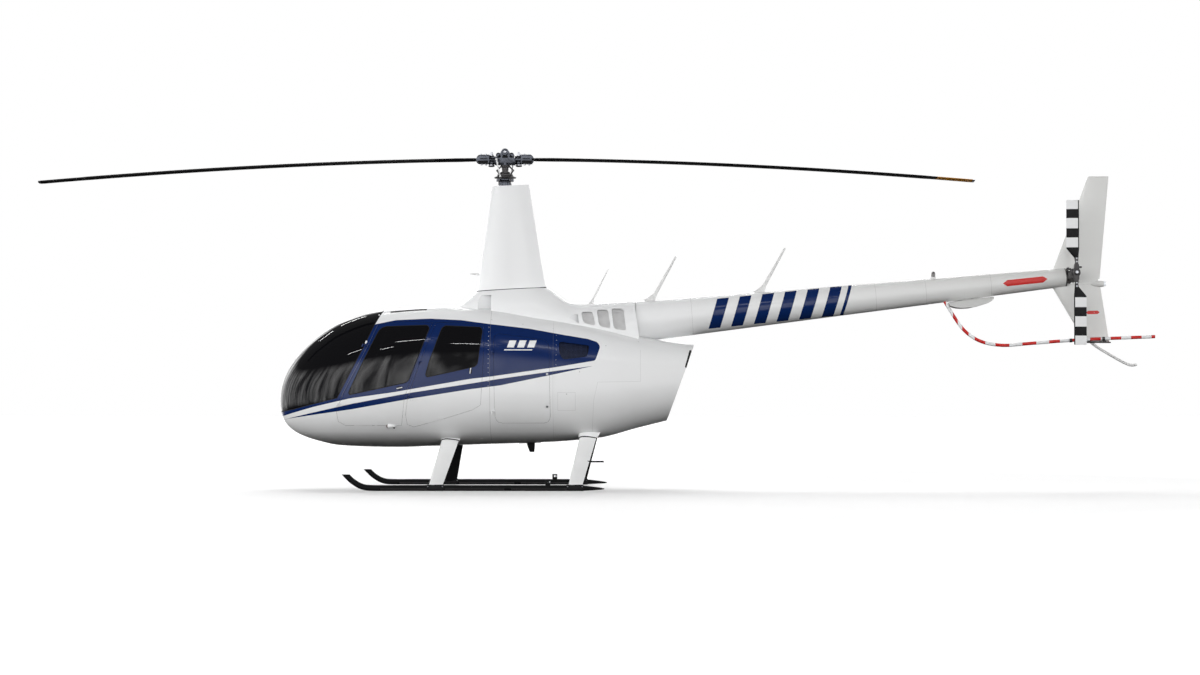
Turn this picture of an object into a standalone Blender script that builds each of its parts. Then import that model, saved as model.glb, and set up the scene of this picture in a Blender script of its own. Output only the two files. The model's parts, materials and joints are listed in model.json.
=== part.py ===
"""A light turbine helicopter on skids: a five-seat cabin pod, a tall mast fairing with a
two-blade teetering rotor, a tapered tail cone, two fins and a two-blade tail rotor.

Metres, +Z up. The nose points to -X and the port side is -Y. Every place below is given
from the rotor mast, x aft of it and z above the floor; the empty "airframe" then moves the
whole model so that the origin is on the floor at the middle of the bounding box.
"""

import math

import bmesh
import bpy
from mathutils import Matrix, Vector

# Overall sizes
ROTOR_RADIUS = 4.98
ROTOR_CHORD = 0.265
TAIL_ROTOR_RADIUS = 0.762
TREAD = 2.30
GUARD_END_X = 6.888
MAST_X = -(GUARD_END_X - ROTOR_RADIUS) / 2

# Clearances
SEAT = 0.0003
# The gap round each door, and what is added to it along the free edge, the top and the sill, so
# that the panel clears the frame as it swings out
DOOR_GAP = 0.006
FREE_EDGE_GAP = 0.006
TOP_GAP = 0.004
SILL_GAP = {"front": 0.010, "rear": 0.014, "baggage": 0.004}
PANE_GAP = 0.001

# Walls
WALL = 0.022
PANE = 0.008
CONE_WALL = 0.010

# The pod: each section is a four-quarter superellipse, and the table runs from the nose to the tail
# x, lowest z, highest z, half width, z of the widest line, power above it, power below it
NOSE_X = -2.394
POD = (
    (-2.394, 0.931, 0.931, 0.000, 0.93, 2.20, 2.20),
    (-2.330, 0.686, 1.207, 0.245, 0.93, 2.20, 2.20),
    (-2.181, 0.569, 1.431, 0.410, 0.94, 2.20, 2.20),
    (-1.968, 0.495, 1.622, 0.535, 0.96, 2.25, 2.20),
    (-1.755, 0.452, 1.750, 0.615, 0.98, 2.30, 2.20),
    (-1.436, 0.436, 1.856, 0.685, 1.00, 2.45, 2.25),
    (-1.117, 0.431, 1.904, 0.722, 1.02, 2.60, 2.30),
    (-0.691, 0.444, 1.922, 0.737, 1.04, 2.70, 2.30),
    (-0.160, 0.463, 1.905, 0.730, 1.06, 2.70, 2.30),
    (0.362, 0.480, 1.830, 0.690, 1.06, 2.60, 2.30),
    (0.989, 0.528, 1.720, 0.600, 1.08, 2.50, 2.30),
    (1.426, 0.640, 1.612, 0.520, 1.12, 2.50, 2.30),
    (1.723, 0.713, 1.555, 0.465, 1.15, 2.50, 2.30),
    (2.080, 0.795, 1.515, 0.405, 1.18, 2.50, 2.30),
)
POD_RINGS = 24
POD_POINTS = 28
BULKHEAD_X = -0.125
BAGGAGE_END_X = 0.548
BULKHEAD = 0.020
TAIL_PANEL = 0.02
# The slanted end of the pod, from its upper to its lower corner
TAIL_TOP = (2.011, 1.521)
TAIL_LOW = (1.718, 0.713)

# Outlines in side view, x then z
WINDSHIELD = (
    (-1.270, 1.990),
    (-1.283, 1.859),
    (-1.347, 1.721),
    (-1.442, 1.496),
    (-1.560, 1.266),
    (-1.723, 0.953),
    (-1.890, 0.912),
    (-2.069, 0.869),
    (-2.204, 0.835),
    (-2.460, 0.790),
    (-2.460, 1.990),
)
MULLION = 0.026
FRONT_DOOR = (
    (-1.300, 1.738),
    (-1.376, 1.542),
    (-1.505, 1.281),
    (-1.690, 0.938),
    (-1.738, 0.808),
    (-1.730, 0.700),
    (-1.650, 0.650),
    (-1.030, 0.645),
    (-1.020, 0.780),
    (-1.000, 0.930),
    (-0.925, 1.158),
    (-0.828, 1.433),
    (-0.710, 1.750),
    (-1.000, 1.764),
)
REAR_DOOR = (
    (-0.698, 1.750),
    (-0.816, 1.433),
    (-0.913, 1.158),
    (-0.988, 0.930),
    (-1.008, 0.780),
    (-1.006, 0.663),
    (-0.923, 0.630),
    (-0.613, 0.710),
    (-0.300, 0.805),
    (-0.200, 0.865),
    (-0.186, 1.234),
    (-0.180, 1.464),
    (-0.180, 1.715),
    (-0.430, 1.748),
)
BAGGAGE_DOOR = (
    (-0.094, 1.640),
    (-0.088, 1.200),
    (-0.076, 0.680),
    (0.515, 0.680),
    (0.505, 1.200),
    (0.498, 1.560),
)
BAGGAGE_CORNER = 0.08
FRONT_WINDOW = (
    (-1.211, 1.700),
    (-1.256, 1.690),
    (-1.294, 1.658),
    (-1.437, 1.357),
    (-1.558, 1.098),
    (-1.600, 1.006),
    (-1.588, 0.985),
    (-1.000, 1.110),
    (-0.968, 1.132),
    (-0.853, 1.433),
    (-0.762, 1.679),
    (-0.780, 1.712),
)
REAR_WINDOW = (
    (-0.602, 1.706),
    (-0.632, 1.679),
    (-0.760, 1.311),
    (-0.792, 1.189),
    (-0.775, 1.168),
    (-0.285, 1.276),
    (-0.254, 1.305),
    (-0.208, 1.656),
    (-0.226, 1.690),
)
SIDE_VENT = ((0.590, 1.540), (0.909, 1.500), (0.885, 1.384), (0.637, 1.350), (0.599, 1.400))

# The doors turn about axes along their front edges, just outside the port skin: a point of the
# axis, its lean aft in degrees, and for each hinge its z and where its two arms meet the skin,
# the x on the frame and the x on the door
FRONT_HINGE = ((-1.759, -0.675, 0.800), 23.7, ((0.880, -1.738, -1.675), (1.500, -1.418, -1.3735)))
REAR_HINGE = ((-1.039, -0.737, 0.800), 18.9, ((0.960, -0.9875, -0.930), (1.320, -0.8615, -0.815)))
BAGGAGE_HINGE = ((-0.104, -0.722, 0.800), 0.0, ((0.800, -0.112, -0.060), (1.420, -0.112, -0.060)))
KNUCKLE = 0.018
KNUCKLE_RADIUS = 0.007
HINGE_ARM_RADIUS = 0.0045

# The upper fairing: x, highest z, half width at its base, z of that base
FAIRING = (
    (-0.560, 1.900, 0.100, 1.800),
    (-0.500, 1.925, 0.160, 1.800),
    (-0.415, 1.985, 0.230, 1.800),
    (-0.315, 2.075, 0.280, 1.790),
    (-0.200, 2.170, 0.310, 1.780),
    (0.000, 2.210, 0.330, 1.760),
    (0.200, 2.210, 0.330, 1.740),
    (0.400, 2.145, 0.320, 1.720),
    (0.510, 2.088, 0.310, 1.710),
    (0.578, 2.037, 0.305, 1.700),
    (0.646, 1.987, 0.300, 1.700),
    (0.713, 1.960, 0.295, 1.700),
    (0.866, 1.955, 0.285, 1.700),
    (1.150, 1.966, 0.270, 1.700),
    (1.460, 1.984, 0.262, 1.700),
)
FAIRING_FLOOR = 1.30
# The mast fairing stands on the plane through these two points, fore and aft
STEP_FORE = (-0.320, 2.078)
STEP_AFT = (0.470, 2.124)
# The cowl's rounded corners round each vent, and how much shorter the vent is at its corners
VENT_CORNER = 0.02
VENT_FORE_SLANT = 0.03
VENT_AFT_SLANT = 0.02
FAIRING_END_TOP = (1.372, 1.990)
FAIRING_END_LOW = (1.426, 1.600)
# Screened vents in the fairing's sides: fore x, aft x, lowest z fore and aft, highest z
FAIRING_VENTS = (
    (0.812, 0.962, 1.768, 1.745, 1.868),
    (0.979, 1.126, 1.728, 1.716, 1.888),
    (1.136, 1.286, 1.700, 1.682, 1.900),
)
VENT_DEPTH_Y = 0.185
# Air intake recess: fore x, aft x, lowest z, highest z, and how near the middle it reaches
INLET = (-0.274, -0.134, 1.800, 2.038)
INLET_FORE_Y = 0.235
INLET_AFT_Y = 0.170

# The mast fairing: z, leading x, trailing x, half width
MAST_FAIRING = (
    (2.000, -0.320, 0.460, 0.172),
    (2.350, -0.270, 0.392, 0.155),
    (2.800, -0.205, 0.320, 0.130),
    (3.212, -0.147, 0.256, 0.108),
)
SHAFT_BORE = 0.052
SHAFT_BORE_FLOOR = 2.900

# Rotor head
HUB_Z = 3.493
SHAFT_RADIUS = 0.036
DROOP = 0.235
BLADE_ROOT = 0.285
BLADE_PITCH = math.radians(0.5)
# How much of the chord lies ahead of the blade's axis, half the section's thickness inboard and
# near the tip, and the share of the span where it thins
BLADE_AHEAD = 0.28
BLADE_HALF = 0.016
BLADE_TIP_HALF = 0.014
BLADE_THINS = 0.9
BLADE_STATIONS = (0.0, 0.04, 0.08, 0.2, 0.35, 0.5, 0.65, 0.8, 0.92, 1.0)
# How far a grip or an arm is cut clear of the blade root it holds
ROOT_GAP = 0.0010
# The head, with every height given from HUB_Z: the yoke's half length, half width, low and high
YOKE = (0.115, 0.050, -0.055, 0.045)
HEAD_CAP = ((-0.060, 0.030), (0.060, 0.030), (0.028, 0.100), (-0.028, 0.100))
HEAD_CAP_HALF = 0.046
# Bolts across the head: half length, height and radius, and the flapping bolts' distance out
TEETER_BOLT = (0.085, 0.075, 0.030)
FLAP_BOLT = (0.075, 0.052, 0.022)
FLAP_BOLT_X = 0.120
# Round parts along each blade's axis: x of both ends, height of both ends, radius
GRIP_BARRELS = ((0.100, 0.215, -0.005, -0.006, 0.052), (0.130, 0.165, -0.005, -0.006, 0.068))
# The grip's cuff: x, height, radius
GRIP_CUFF = ((0.20, -0.006, 0.055), (0.27, -0.006, 0.055), (0.31, -0.007, 0.030))
PITCH_HORN = ((0, 0, -0.050), (0.110, 0.124, -0.026))
NECK = (-0.0615, 0.052)
SHAFT_TOP = -0.062
# Swashplate: z and radius up each turned form
SLEEVE = ((3.2123, 0.070), (3.265, 0.070))
LOWER_PLATE = ((3.250, 0.094), (3.285, 0.094))
UPPER_PLATE = ((3.2925, 0.110), (3.312, 0.100), (3.330, 0.060))
UPPER_COLLAR = ((3.320, 0.055), (3.360, 0.050))
SLEEVE_GAP = 0.006
# Pitch links from the swashplate up to the horns
LINK_FOOT = (0.030, 0.098, 3.300)
LINK_HEAD = (0.095, 0.120, HUB_Z - 0.052)
LINK_RADIUS = 0.008

# Tail cone: x, centre z, radius
CONE_FORE = (1.250, 1.7445, 0.218)
CONE_AFT = (5.957, 2.233, 0.0975)
CONE_GAP = 0.008
# How thick a section's trailing edge stays, as a share of the section's thickness
BLUNT_EDGE = 0.05
# Fins: z, leading x and trailing x at both ends of each, and where each stops short of the cone
FIN_HALF = 0.026
UPPER_FIN = ((2.165, 5.767, 6.311), (3.307, 6.197, 6.415))
UPPER_FIN_FOOT = 2.215
LOWER_FIN = ((1.547, 6.157, 6.415), (2.210, 5.766, 6.311))
LOWER_FIN_HEAD = 2.135
# Stabilizer: y, leading x and trailing x at its root and at its tip
STABILIZER = ((-0.05, 5.985, 6.300), (0.74, 6.075, 6.315))
STABILIZER_Z = 2.175
STABILIZER_HALF = 0.020
# Tail light: x, z and radius from its foot to its tip
TAIL_LIGHT = ((6.3018, 2.165, 0.020), (6.320, 2.165, 0.030), (6.375, 2.163, 0.028), (6.390, 2.163, 0.018))
# The guard under the tail rotor and the skid under the lower fin, as points of their middle lines
GUARD = (
    (4.650, -0.030, 2.010),
    (4.746, -0.040, 1.848),
    (4.850, -0.050, 1.696),
    (4.954, -0.055, 1.602),
    (5.068, -0.058, 1.545),
    (5.200, -0.058, 1.517),
    (5.333, -0.058, 1.510),
    (5.523, -0.058, 1.526),
    (6.092, -0.058, 1.568),
    (GUARD_END_X, -0.058, 1.602),
)
GUARD_RADIUS = 0.0135
TAIL_SKID = (
    (6.210, 0, 1.560),
    (6.284, 0, 1.494),
    (6.379, 0, 1.436),
    (6.515, 0, 1.357),
    (6.610, 0, 1.310),
    (6.657, 0, 1.300),
    (6.709, 0, 1.307),
)
TAIL_SKID_RADIUS = 0.012

# Tail rotor: hub centre, then each blade's distance out and its edges' distances fore and aft
TAIL_ROTOR = (6.026, -0.300, 2.273)
TAIL_BLADE = (
    (0.120, 0.018, 0.018),
    (0.150, 0.020, 0.022),
    (0.250, 0.028, 0.105),
    (0.500, 0.028, 0.105),
    (TAIL_ROTOR_RADIUS, 0.028, 0.105),
)
# The hub: its shaft (end beyond the hub's middle, radius), its block's half sizes, the spindle that
# holds the blades and the bar across it (half length, radius), and the flange (y of both faces, radius)
TAIL_SHAFT = (-0.045, 0.020)
TAIL_BLOCK = (0.028, 0.020, 0.075)
TAIL_SPINDLE = (0.150, 0.016)
TAIL_CROSSBAR = (0.045, 0.014)
TAIL_FLANGE = (0.040, 0.060, 0.050)
TAIL_BLADE_HALF = 0.008
TAIL_BLADE_SLANT = 0.06
# The gearbox: the case behind the cone (length, radius), and the case across it and the shaft
# housing beyond (y of both ends, z of both ends from the rotor's axis, radius)
GEARBOX_CASE = (0.132, 0.072)
GEARBOX_SEAT = 0.0005
CROSS_CASE = (0.03, -0.115, -0.025, -0.008, 0.064)
SHAFT_HOUSING = (-0.10, -0.200, 0.0, 0.0, 0.030)

# Aerials. Whips: foot, neck and tip as x and z, and the radii that taper between them
WHIPS = (
    ("whip_fore", ((0.905, 1.930), (0.940, 2.010), (1.097, 2.321)), (0.0224, 0.0077, 0.0035)),
    ("whip_mid", ((1.530, 1.960), (1.600, 2.060), (1.819, 2.457)), (0.0352, 0.0121, 0.005)),
    ("whip_aft", ((2.700, 2.050), (2.760, 2.150), (2.979, 2.548)), (0.0352, 0.0121, 0.005)),
)
# Beacon: z and radius up its dome
BEACON_X = 4.553
BEACON = ((2.150, 0.024), (2.262, 0.024), (2.290, 0.020), (2.300, 0.008))
# Navigation aerial: a foil with pointed ends, its middle, half sizes, droop and lean, and a strut
FOIL_AT = (4.950, 2.005)
FOIL_CHORD_HALF = 0.245
FOIL_SPAN_HALF = 0.20
FOIL_HALF = 0.012
FOIL_DROOP = 0.08
FOIL_LEAN = 0.135
FOIL_STRUT = ((4.862, -0.012, 1.990), (4.930, 0.012, 2.110))
# Belly blade: leading x, trailing x, half thickness and z at its head and at its foot
BELLY_BLADE = ((0.205, 0.322, 0.010, 0.560), (0.262, 0.312, 0.006, 0.378))
# Pitot tube: both ends and the radius of its probe and of its stem
PITOT = (
    ((-0.372, 0, 2.272), (-0.300, 0, 2.272), 0.008),
    ((-0.306, 0, 2.272), (-0.200, 0, 2.262), 0.012),
)

# Landing gear
SKID_RADIUS = 0.030
SKID_Z = SKID_RADIUS
# The skid's upturned toe, from its tip to the straight tube: x and z
SKID_TOE = ((-1.560, 0.150), (-1.500, 0.095), (-1.410, 0.045), (-1.300, SKID_Z), (-1.000, SKID_Z))
SKID_END_X = 1.070
# Leg fairings: top x, y and z, then bottom x, then chord at the top and at the bottom
FRONT_LEG = (-0.536, 0.289, 0.590, -0.658, 0.188, 0.138)
REAR_LEG = (0.912, 0.231, 0.630, 0.771, 0.185, 0.141)
LEG_HALF = 0.024
# The legs lean out, so their sections are tilted: shares of the half width that go to y and to z
LEG_TILT = (0.75, 0.66)
LEG_FOOT_RISE = 0.012
# Boarding step on the rear leg: both ends and the radius of its bar and of its end cap
STEP = (
    ((0.850, -0.760, 0.292), (1.059, -0.760, 0.292), 0.0085),
    ((1.050, -0.760, 0.292), (1.059, -0.760, 0.292), 0.0110),
)
# The upright plate on each skid that takes a ground-handling wheel: fore x, aft x, top z, thickness
WHEEL_LUG = (0.468, 0.522, 0.115, 0.012)

# The engine's block, and the plates that carry it: the fore x of each, and one plate's length,
# half width, lowest and highest z, before it is cut to the cowl's inside
ENGINE = ((0.640, -0.270, 0.900), (1.420, 0.270, 1.400))
ENGINE_MOUNT_XS = (0.700, 1.300)
ENGINE_MOUNT = (0.040, 0.220, 0.400, 0.920)
# The exhaust: both ends of its axis and the radius, of the cowl's hole, of the pipe and of its bore
EXHAUST_HOLE = ((1.45, 0, 1.02), (2.10, 0, 0.86), 0.115)
EXHAUST_PIPE = ((1.4203, 0, 1.02), (2.02, 0, 0.875), 0.105)
EXHAUST_BORE = ((1.60, 0, 0.976), (2.20, 0, 0.831), 0.097)
# The screened opening in the slanted tail: y and the height from its own middle
TAIL_SCREEN = ((-0.25, -0.24), (0.25, -0.24), (0.30, 0.16), (-0.30, 0.16))
TAIL_SCREEN_Z = 1.27
TAIL_SCREEN_CORNER = 0.06

# Inside the cabin
FLOOR_Z = 0.560
FLOOR_THICKNESS = 0.02
FLOOR_FORE_X = -2.05
LINING = 0.008
CABIN_BACK = BULKHEAD_X - BULKHEAD - SEAT
# Seats: x of the place where cushion and back meet, and y of both sides
SEATS = (
    ("seat_front_left", -1.020, -0.560, -0.060),
    ("seat_front_right", -1.020, 0.060, 0.560),
    ("seat_rear", CABIN_BACK - 0.185, -0.590, 0.590),
)
# A seat's outline: x from that place, and z
SEAT_OUTLINE = (
    (-0.300, FLOOR_Z + SEAT),
    (-0.270, 0.860),
    (-0.285, 0.900),
    (0.040, 0.880),
    (0.115, 1.330),
    (0.160, 1.480),
    (0.175, 1.480),
    (0.185, 1.300),
    (0.160, FLOOR_Z + SEAT),
)
PEDESTAL = (
    (-1.900, FLOOR_Z + SEAT),
    (-1.980, 1.080),
    (-1.900, 1.130),
    (-1.750, 1.100),
    (-1.700, FLOOR_Z + SEAT),
)
PEDESTAL_HALF = 0.16
PANEL = ((-1.955, 0.960), (-1.930, 1.170), (-1.740, 1.130), (-1.780, 0.960))
PANEL_HALF = 0.30
# The cyclic stick: x, z and radius up the stick, its round foot, and the bar with a grip per pilot
STICK = ((-1.400, FLOOR_Z + 0.04, 0.016), (-1.420, 0.800, 0.016), (-1.470, 1.040, 0.014))
STICK_FOOT = (-1.400, FLOOR_Z + SEAT, FLOOR_Z + 0.06, 0.030)
STICK_BAR = ((-1.468, -0.330, 1.030), (-1.468, 0.330, 1.030), 0.012)

PAINT = {
    "white_paint": ((0.86, 0.87, 0.87, 1.0), 0.25, 0.0),
    "dark_glass": ((0.02, 0.02, 0.025, 1.0), 0.05, 0.0),
    "black_paint": ((0.02, 0.02, 0.02, 1.0), 0.45, 0.0),
    "rotor_metal": ((0.42, 0.45, 0.52, 1.0), 0.35, 0.9),
    "dark_metal": ((0.08, 0.08, 0.09, 1.0), 0.45, 0.8),
    "seat_leather": ((0.30, 0.30, 0.31, 1.0), 0.55, 0.0),
    "interior_trim": ((0.10, 0.10, 0.11, 1.0), 0.7, 0.0),
    "red_paint": ((0.75, 0.05, 0.04, 1.0), 0.35, 0.0),
    "lamp_lens": ((0.8, 0.82, 0.85, 1.0), 0.1, 0.0),
}


# Scene and material helpers
def clear_scene():
    for leftover in list(bpy.data.objects):
        bpy.data.objects.remove(leftover)


def make_paints():
    for name, (colour, roughness, metallic) in PAINT.items():
        paint = bpy.data.materials.new(name)
        paint.use_nodes = True
        shader = paint.node_tree.nodes["Principled BSDF"]
        shader.inputs["Base Color"].default_value = colour
        shader.inputs["Roughness"].default_value = roughness
        shader.inputs["Metallic"].default_value = metallic


def place(name, mesh, paint=None, origin=(0.0, 0.0, 0.0)):
    """Links a mesh made in mast coordinates as an object whose origin is at the given point."""
    origin = Vector(origin)
    mesh.transform(Matrix.Translation(-origin))
    piece = bpy.data.objects.new(name, mesh)
    bpy.context.scene.collection.objects.link(piece)
    piece.parent = bpy.data.objects["airframe"]
    piece.location = origin
    if paint:
        mesh.materials.clear()
        mesh.materials.append(bpy.data.materials[paint])
        mesh.shade_smooth()
        mesh.set_sharp_from_angle(angle=math.radians(35))
    return piece


def helper(name, mesh):
    """A cutter: it shapes other pieces and isn't one itself."""
    tool = place(name, mesh)
    tool.hide_render = True
    tool.display_type = "WIRE"
    return tool


def shape(piece, operation, *tools):
    for tool in tools:
        boolean = piece.modifiers.new(operation.lower() + "_" + tool.name, "BOOLEAN")
        boolean.operation = operation
        boolean.object = tool


# Mesh helpers
def mesh_of(bm, name="mesh"):
    bmesh.ops.recalc_face_normals(bm, faces=bm.faces)
    mesh = bpy.data.meshes.new(name)
    bm.to_mesh(mesh)
    bm.free()
    return mesh


def loft(rings):
    """A closed mesh through rings of points; a ring of one point is a pole.

    Each four-cornered patch is halved the same way on the port side and mirrored to
    starboard, so that a skin and its moved copy stay parallel.
    """
    bm = bmesh.new()
    rows = [[bm.verts.new(point) for point in ring] for ring in rings]
    for fore, aft in zip(rows, rows[1:]):
        for k in range(max(len(fore), len(aft))):
            a, b = fore[k % len(fore)], fore[(k + 1) % len(fore)]
            d, c = aft[k % len(aft)], aft[(k + 1) % len(aft)]
            port = a.co.y + b.co.y < 0
            halves = ((a, b, c), (a, c, d)) if port else ((a, b, d), (b, c, d))
            for half in halves:
                if len(set(half)) == 3:
                    bm.faces.new(half)
    for row in (rows[0], rows[-1]):
        if len(row) > 1:
            bm.faces.new(row)
    return mesh_of(bm)


def prism(outline, near, far):
    """A side-view outline (x, z) carried across from y near to y far."""
    return loft([[(x, y, z) for x, z in outline] for y in (near, far)])


def box(low, high):
    (x0, y0, z0), (x1, y1, z1) = low, high
    return prism(((x0, z0), (x1, z0), (x1, z1), (x0, z1)), y0, y1)


def tube(path, radii, points=12):
    """A round bar through a path, one radius for each point."""
    path = [Vector(p) for p in path]
    rings = []
    side = None
    for k, centre in enumerate(path):
        ahead = (path[min(k + 1, len(path) - 1)] - path[max(k - 1, 0)]).normalized()
        side = ahead.orthogonal() if side is None else side - ahead * side.dot(ahead)
        side.normalize()
        other = ahead.cross(side)
        turns = [2 * math.pi * j / points for j in range(points)]
        rings.append(
            [centre + radii[k] * (side * math.cos(a) + other * math.sin(a)) for a in turns]
        )
    return loft(rings)


def bar(start, end, radius, points=12):
    return tube([start, end], [radius, radius], points)


def joined(*meshes):
    """One mesh from several that overlap, joined by Boolean unions."""
    base = place("join_base", meshes[0])
    tools = [place(f"join_{k}", mesh) for k, mesh in enumerate(meshes[1:])]
    shape(base, "UNION", *tools)
    graph = bpy.context.evaluated_depsgraph_get()
    mesh = bpy.data.meshes.new_from_object(base.evaluated_get(graph))
    for tool in [base, *tools]:
        bpy.data.objects.remove(tool)
    return mesh


def offset(outline, distance):
    """The outline moved outwards by a distance, or inwards if that is negative.

    The distance is a number, or a function of the direction that an edge faces.
    """
    area = sum(
        x0 * z1 - x1 * z0
        for (x0, z0), (x1, z1) in zip(outline, outline[1:] + outline[:1])
    )
    turn = 1 if area > 0 else -1
    moved = []
    for k, (x, z) in enumerate(outline):
        before = Vector((x, z)) - Vector(outline[k - 1])
        after = Vector(outline[(k + 1) % len(outline)]) - Vector((x, z))
        normals = [Vector((d.y, -d.x)).normalized() * turn for d in (before, after)]
        middle = (normals[0] + normals[1]).normalized()
        reach = distance(middle) if callable(distance) else distance
        reach /= max(0.4, middle.dot(normals[0]))
        moved.append((x + middle.x * reach, z + middle.y * reach))
    return tuple(moved)


def rounded(outline, radius, steps=3):
    """The outline with each corner turned through a short arc-like curve."""
    points = []
    for k, corner in enumerate(outline):
        corner = Vector(corner)
        before = Vector(outline[k - 1])
        after = Vector(outline[(k + 1) % len(outline)])
        cut = min(radius, (before - corner).length / 2.2, (after - corner).length / 2.2)
        start = corner + (before - corner).normalized() * cut
        end = corner + (after - corner).normalized() * cut
        for j in range(steps + 1):
            t = j / steps
            point = start * (1 - t) ** 2 + corner * 2 * t * (1 - t) + end * t * t
            points.append((point.x, point.y))
    return tuple(points)


def panel_outline(opening, sill_gap):
    """The outline of the door that fills an opening and swings about its front edge."""

    def gap(facing):
        aft = min(max(1.5 * facing.x, 0.0), 1.0)
        up = min(max(1.5 * facing.y, 0.0), 1.0)
        down = min(max(-1.5 * facing.y, 0.0), 1.0)
        return -(DOOR_GAP + FREE_EDGE_GAP * aft + TOP_GAP * up + sill_gap * down)

    return offset(opening, gap)


# The pod's surface
def steady_slopes(xs, ys):
    """Slopes of a smooth curve through the points that makes no new bumps."""
    steps = [b - a for a, b in zip(xs, xs[1:])]
    rates = [(b - a) / h for a, b, h in zip(ys, ys[1:], steps)]
    slopes = [rates[0]]
    for (h0, h1), (r0, r1) in zip(zip(steps, steps[1:]), zip(rates, rates[1:])):
        w0, w1 = 2 * h1 + h0, h1 + 2 * h0
        slopes.append((w0 + w1) / (w0 / r0 + w1 / r1) if r0 * r1 > 0 else 0.0)
    return slopes + [rates[-1]]


def smooth_table(table, spread=lambda x: x):
    """A function from x to the table's other columns, smooth in spread(x)."""
    xs = [spread(row[0]) for row in table]
    columns = list(zip(*table))[1:]
    slopes = [steady_slopes(xs, column) for column in columns]

    def values(x):
        u = min(max(spread(x), xs[0]), xs[-1])
        k = max(i for i in range(len(xs) - 1) if xs[i] <= u)
        h = xs[k + 1] - xs[k]
        t = (u - xs[k]) / h
        found = []
        for column, slope in zip(columns, slopes):
            found.append(
                (2 * t**3 - 3 * t**2 + 1) * column[k]
                + (t**3 - 2 * t**2 + t) * h * slope[k]
                + (3 * t**2 - 2 * t**3) * column[k + 1]
                + (t**3 - t**2) * h * slope[k + 1]
            )
        return found

    return values


def from_nose(x):
    return math.sqrt(max(x - NOSE_X, 0.0))


pod_section = smooth_table(POD, from_nose)


def pod_ring(x, points):
    low, high, half, wide, above, below = pod_section(x)
    ring = []
    for k in range(points):
        a = 2 * math.pi * k / points
        c, s = math.cos(a), math.sin(a)
        power = 2 / (above if s >= 0 else below)
        reach = (high - wide) if s >= 0 else (wide - low)
        y = half * math.copysign(abs(c) ** power, c)
        z = wide + reach * math.copysign(abs(s) ** power, s)
        ring.append((x, y, z))
    return ring


def pod_mesh(inset=0.0):
    """The whole pod as a closed solid, its skin moved inwards by the inset."""
    last = from_nose(POD[-1][0])
    stations = [NOSE_X + (last * k / POD_RINGS) ** 2 for k in range(1, POD_RINGS + 1)]
    tip = (NOSE_X, 0.0, POD[0][1])
    mesh = loft([[tip]] + [pod_ring(x, POD_POINTS) for x in stations])
    if inset:
        end = len(mesh.vertices) - POD_POINTS
        moved = [v.co - v.normal * inset for v in mesh.vertices]
        for v, point in zip(mesh.vertices, moved):
            if v.index >= end:
                point.x = v.co.x + (0.05 if inset > 0 else 0.0)
            v.co = point
    return mesh


def pod_half_width(x, z):
    low, high, half, wide, above, below = pod_section(x)
    share = (z - wide) / (high - wide) if z >= wide else (wide - z) / (wide - low)
    power = above if z >= wide else below
    return half * (1 - min(share, 1.0) ** power) ** (1 / power)


def make_pod_tools():
    helper("pod_seat", pod_mesh(-SEAT))
    helper("pod_inside", pod_mesh(WALL))
    helper("pane_inside", pod_mesh(PANE))
    (x1, z1), (x0, z0) = TAIL_TOP, TAIL_LOW
    rise = (x1 - x0) / (z1 - z0)
    above, below = 2.2, 0.3
    x_above, x_below = x1 + rise * (above - z1), x0 + rise * (below - z0)
    behind = ((x_below, below), (x_above, above), (3.0, above), (3.0, below))
    helper("behind_tail", prism(behind, -1, 1))
    before = (
        (0.0, below), (0.0, above), (x_above - TAIL_PANEL, above), (x_below - TAIL_PANEL, below),
    )
    helper("before_tail_panel", prism(before, -1, 1))
    for side, near, far in (("left", -1.0, -MULLION / 2), ("right", MULLION / 2, 1.0)):
        helper(f"windshield_cut_{side}", prism(WINDSHIELD, near, far))
        helper(f"windshield_fill_{side}", prism(
            offset(WINDSHIELD, -PANE_GAP),
            near + (PANE_GAP if near > 0 else 0),
            far - (PANE_GAP if far < 0 else 0),
        ))
    opening = rounded(BAGGAGE_DOOR, BAGGAGE_CORNER)
    panel = panel_outline(opening, SILL_GAP["baggage"])
    helper("baggage_door_cut", prism(opening, -1.0, -0.3))
    helper("baggage_door_fill", prism(panel, -1.0, -0.3))
    for name, opening, window in (
        ("front", FRONT_DOOR, FRONT_WINDOW),
        ("rear", REAR_DOOR, REAR_WINDOW),
    ):
        panel = panel_outline(opening, SILL_GAP[name])
        for side, near, far in (("left", -1.0, -0.2), ("right", 0.2, 1.0)):
            end = f"{name}_{side}"
            helper(f"door_cut_{end}", prism(opening, near, far))
            helper(f"door_fill_{end}", prism(panel, near, far))
            helper(f"window_cut_{end}", prism(window, near, far))
            helper(f"window_fill_{end}", prism(offset(window, -PANE_GAP), near, far))
    for side, near, far in (("left", -1.0, -0.40), ("right", 0.40, 1.0)):
        helper(f"side_vent_{side}", prism(SIDE_VENT, near, far))


def hinge_parts(hinge, sign=1):
    """The arms and knuckles of a door's hinges: one mesh for the frame and one for the door."""
    (x0, y0, z0), lean, hinges = hinge
    lean = math.radians(lean)
    along = Vector((math.sin(lean), 0, math.cos(lean)))
    fixed, moving = [], []
    for z, frame_x, door_x in hinges:
        centre = Vector((x0 + (z - z0) * math.tan(lean), y0 * sign, z))
        for parts, way, foot_x in ((fixed, -1, frame_x), (moving, 1, door_x)):
            near = centre + along * way * SEAT / 2
            far = centre + along * way * KNUCKLE
            middle = (near + far) / 2
            skin = pod_half_width(foot_x, middle.z) - WALL / 2
            foot = Vector((foot_x, -skin * sign, middle.z))
            parts.append((bar(near, far, KNUCKLE_RADIUS, 10), bar(middle, foot, HINGE_ARM_RADIUS, 8)))
    return fixed, moving


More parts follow.
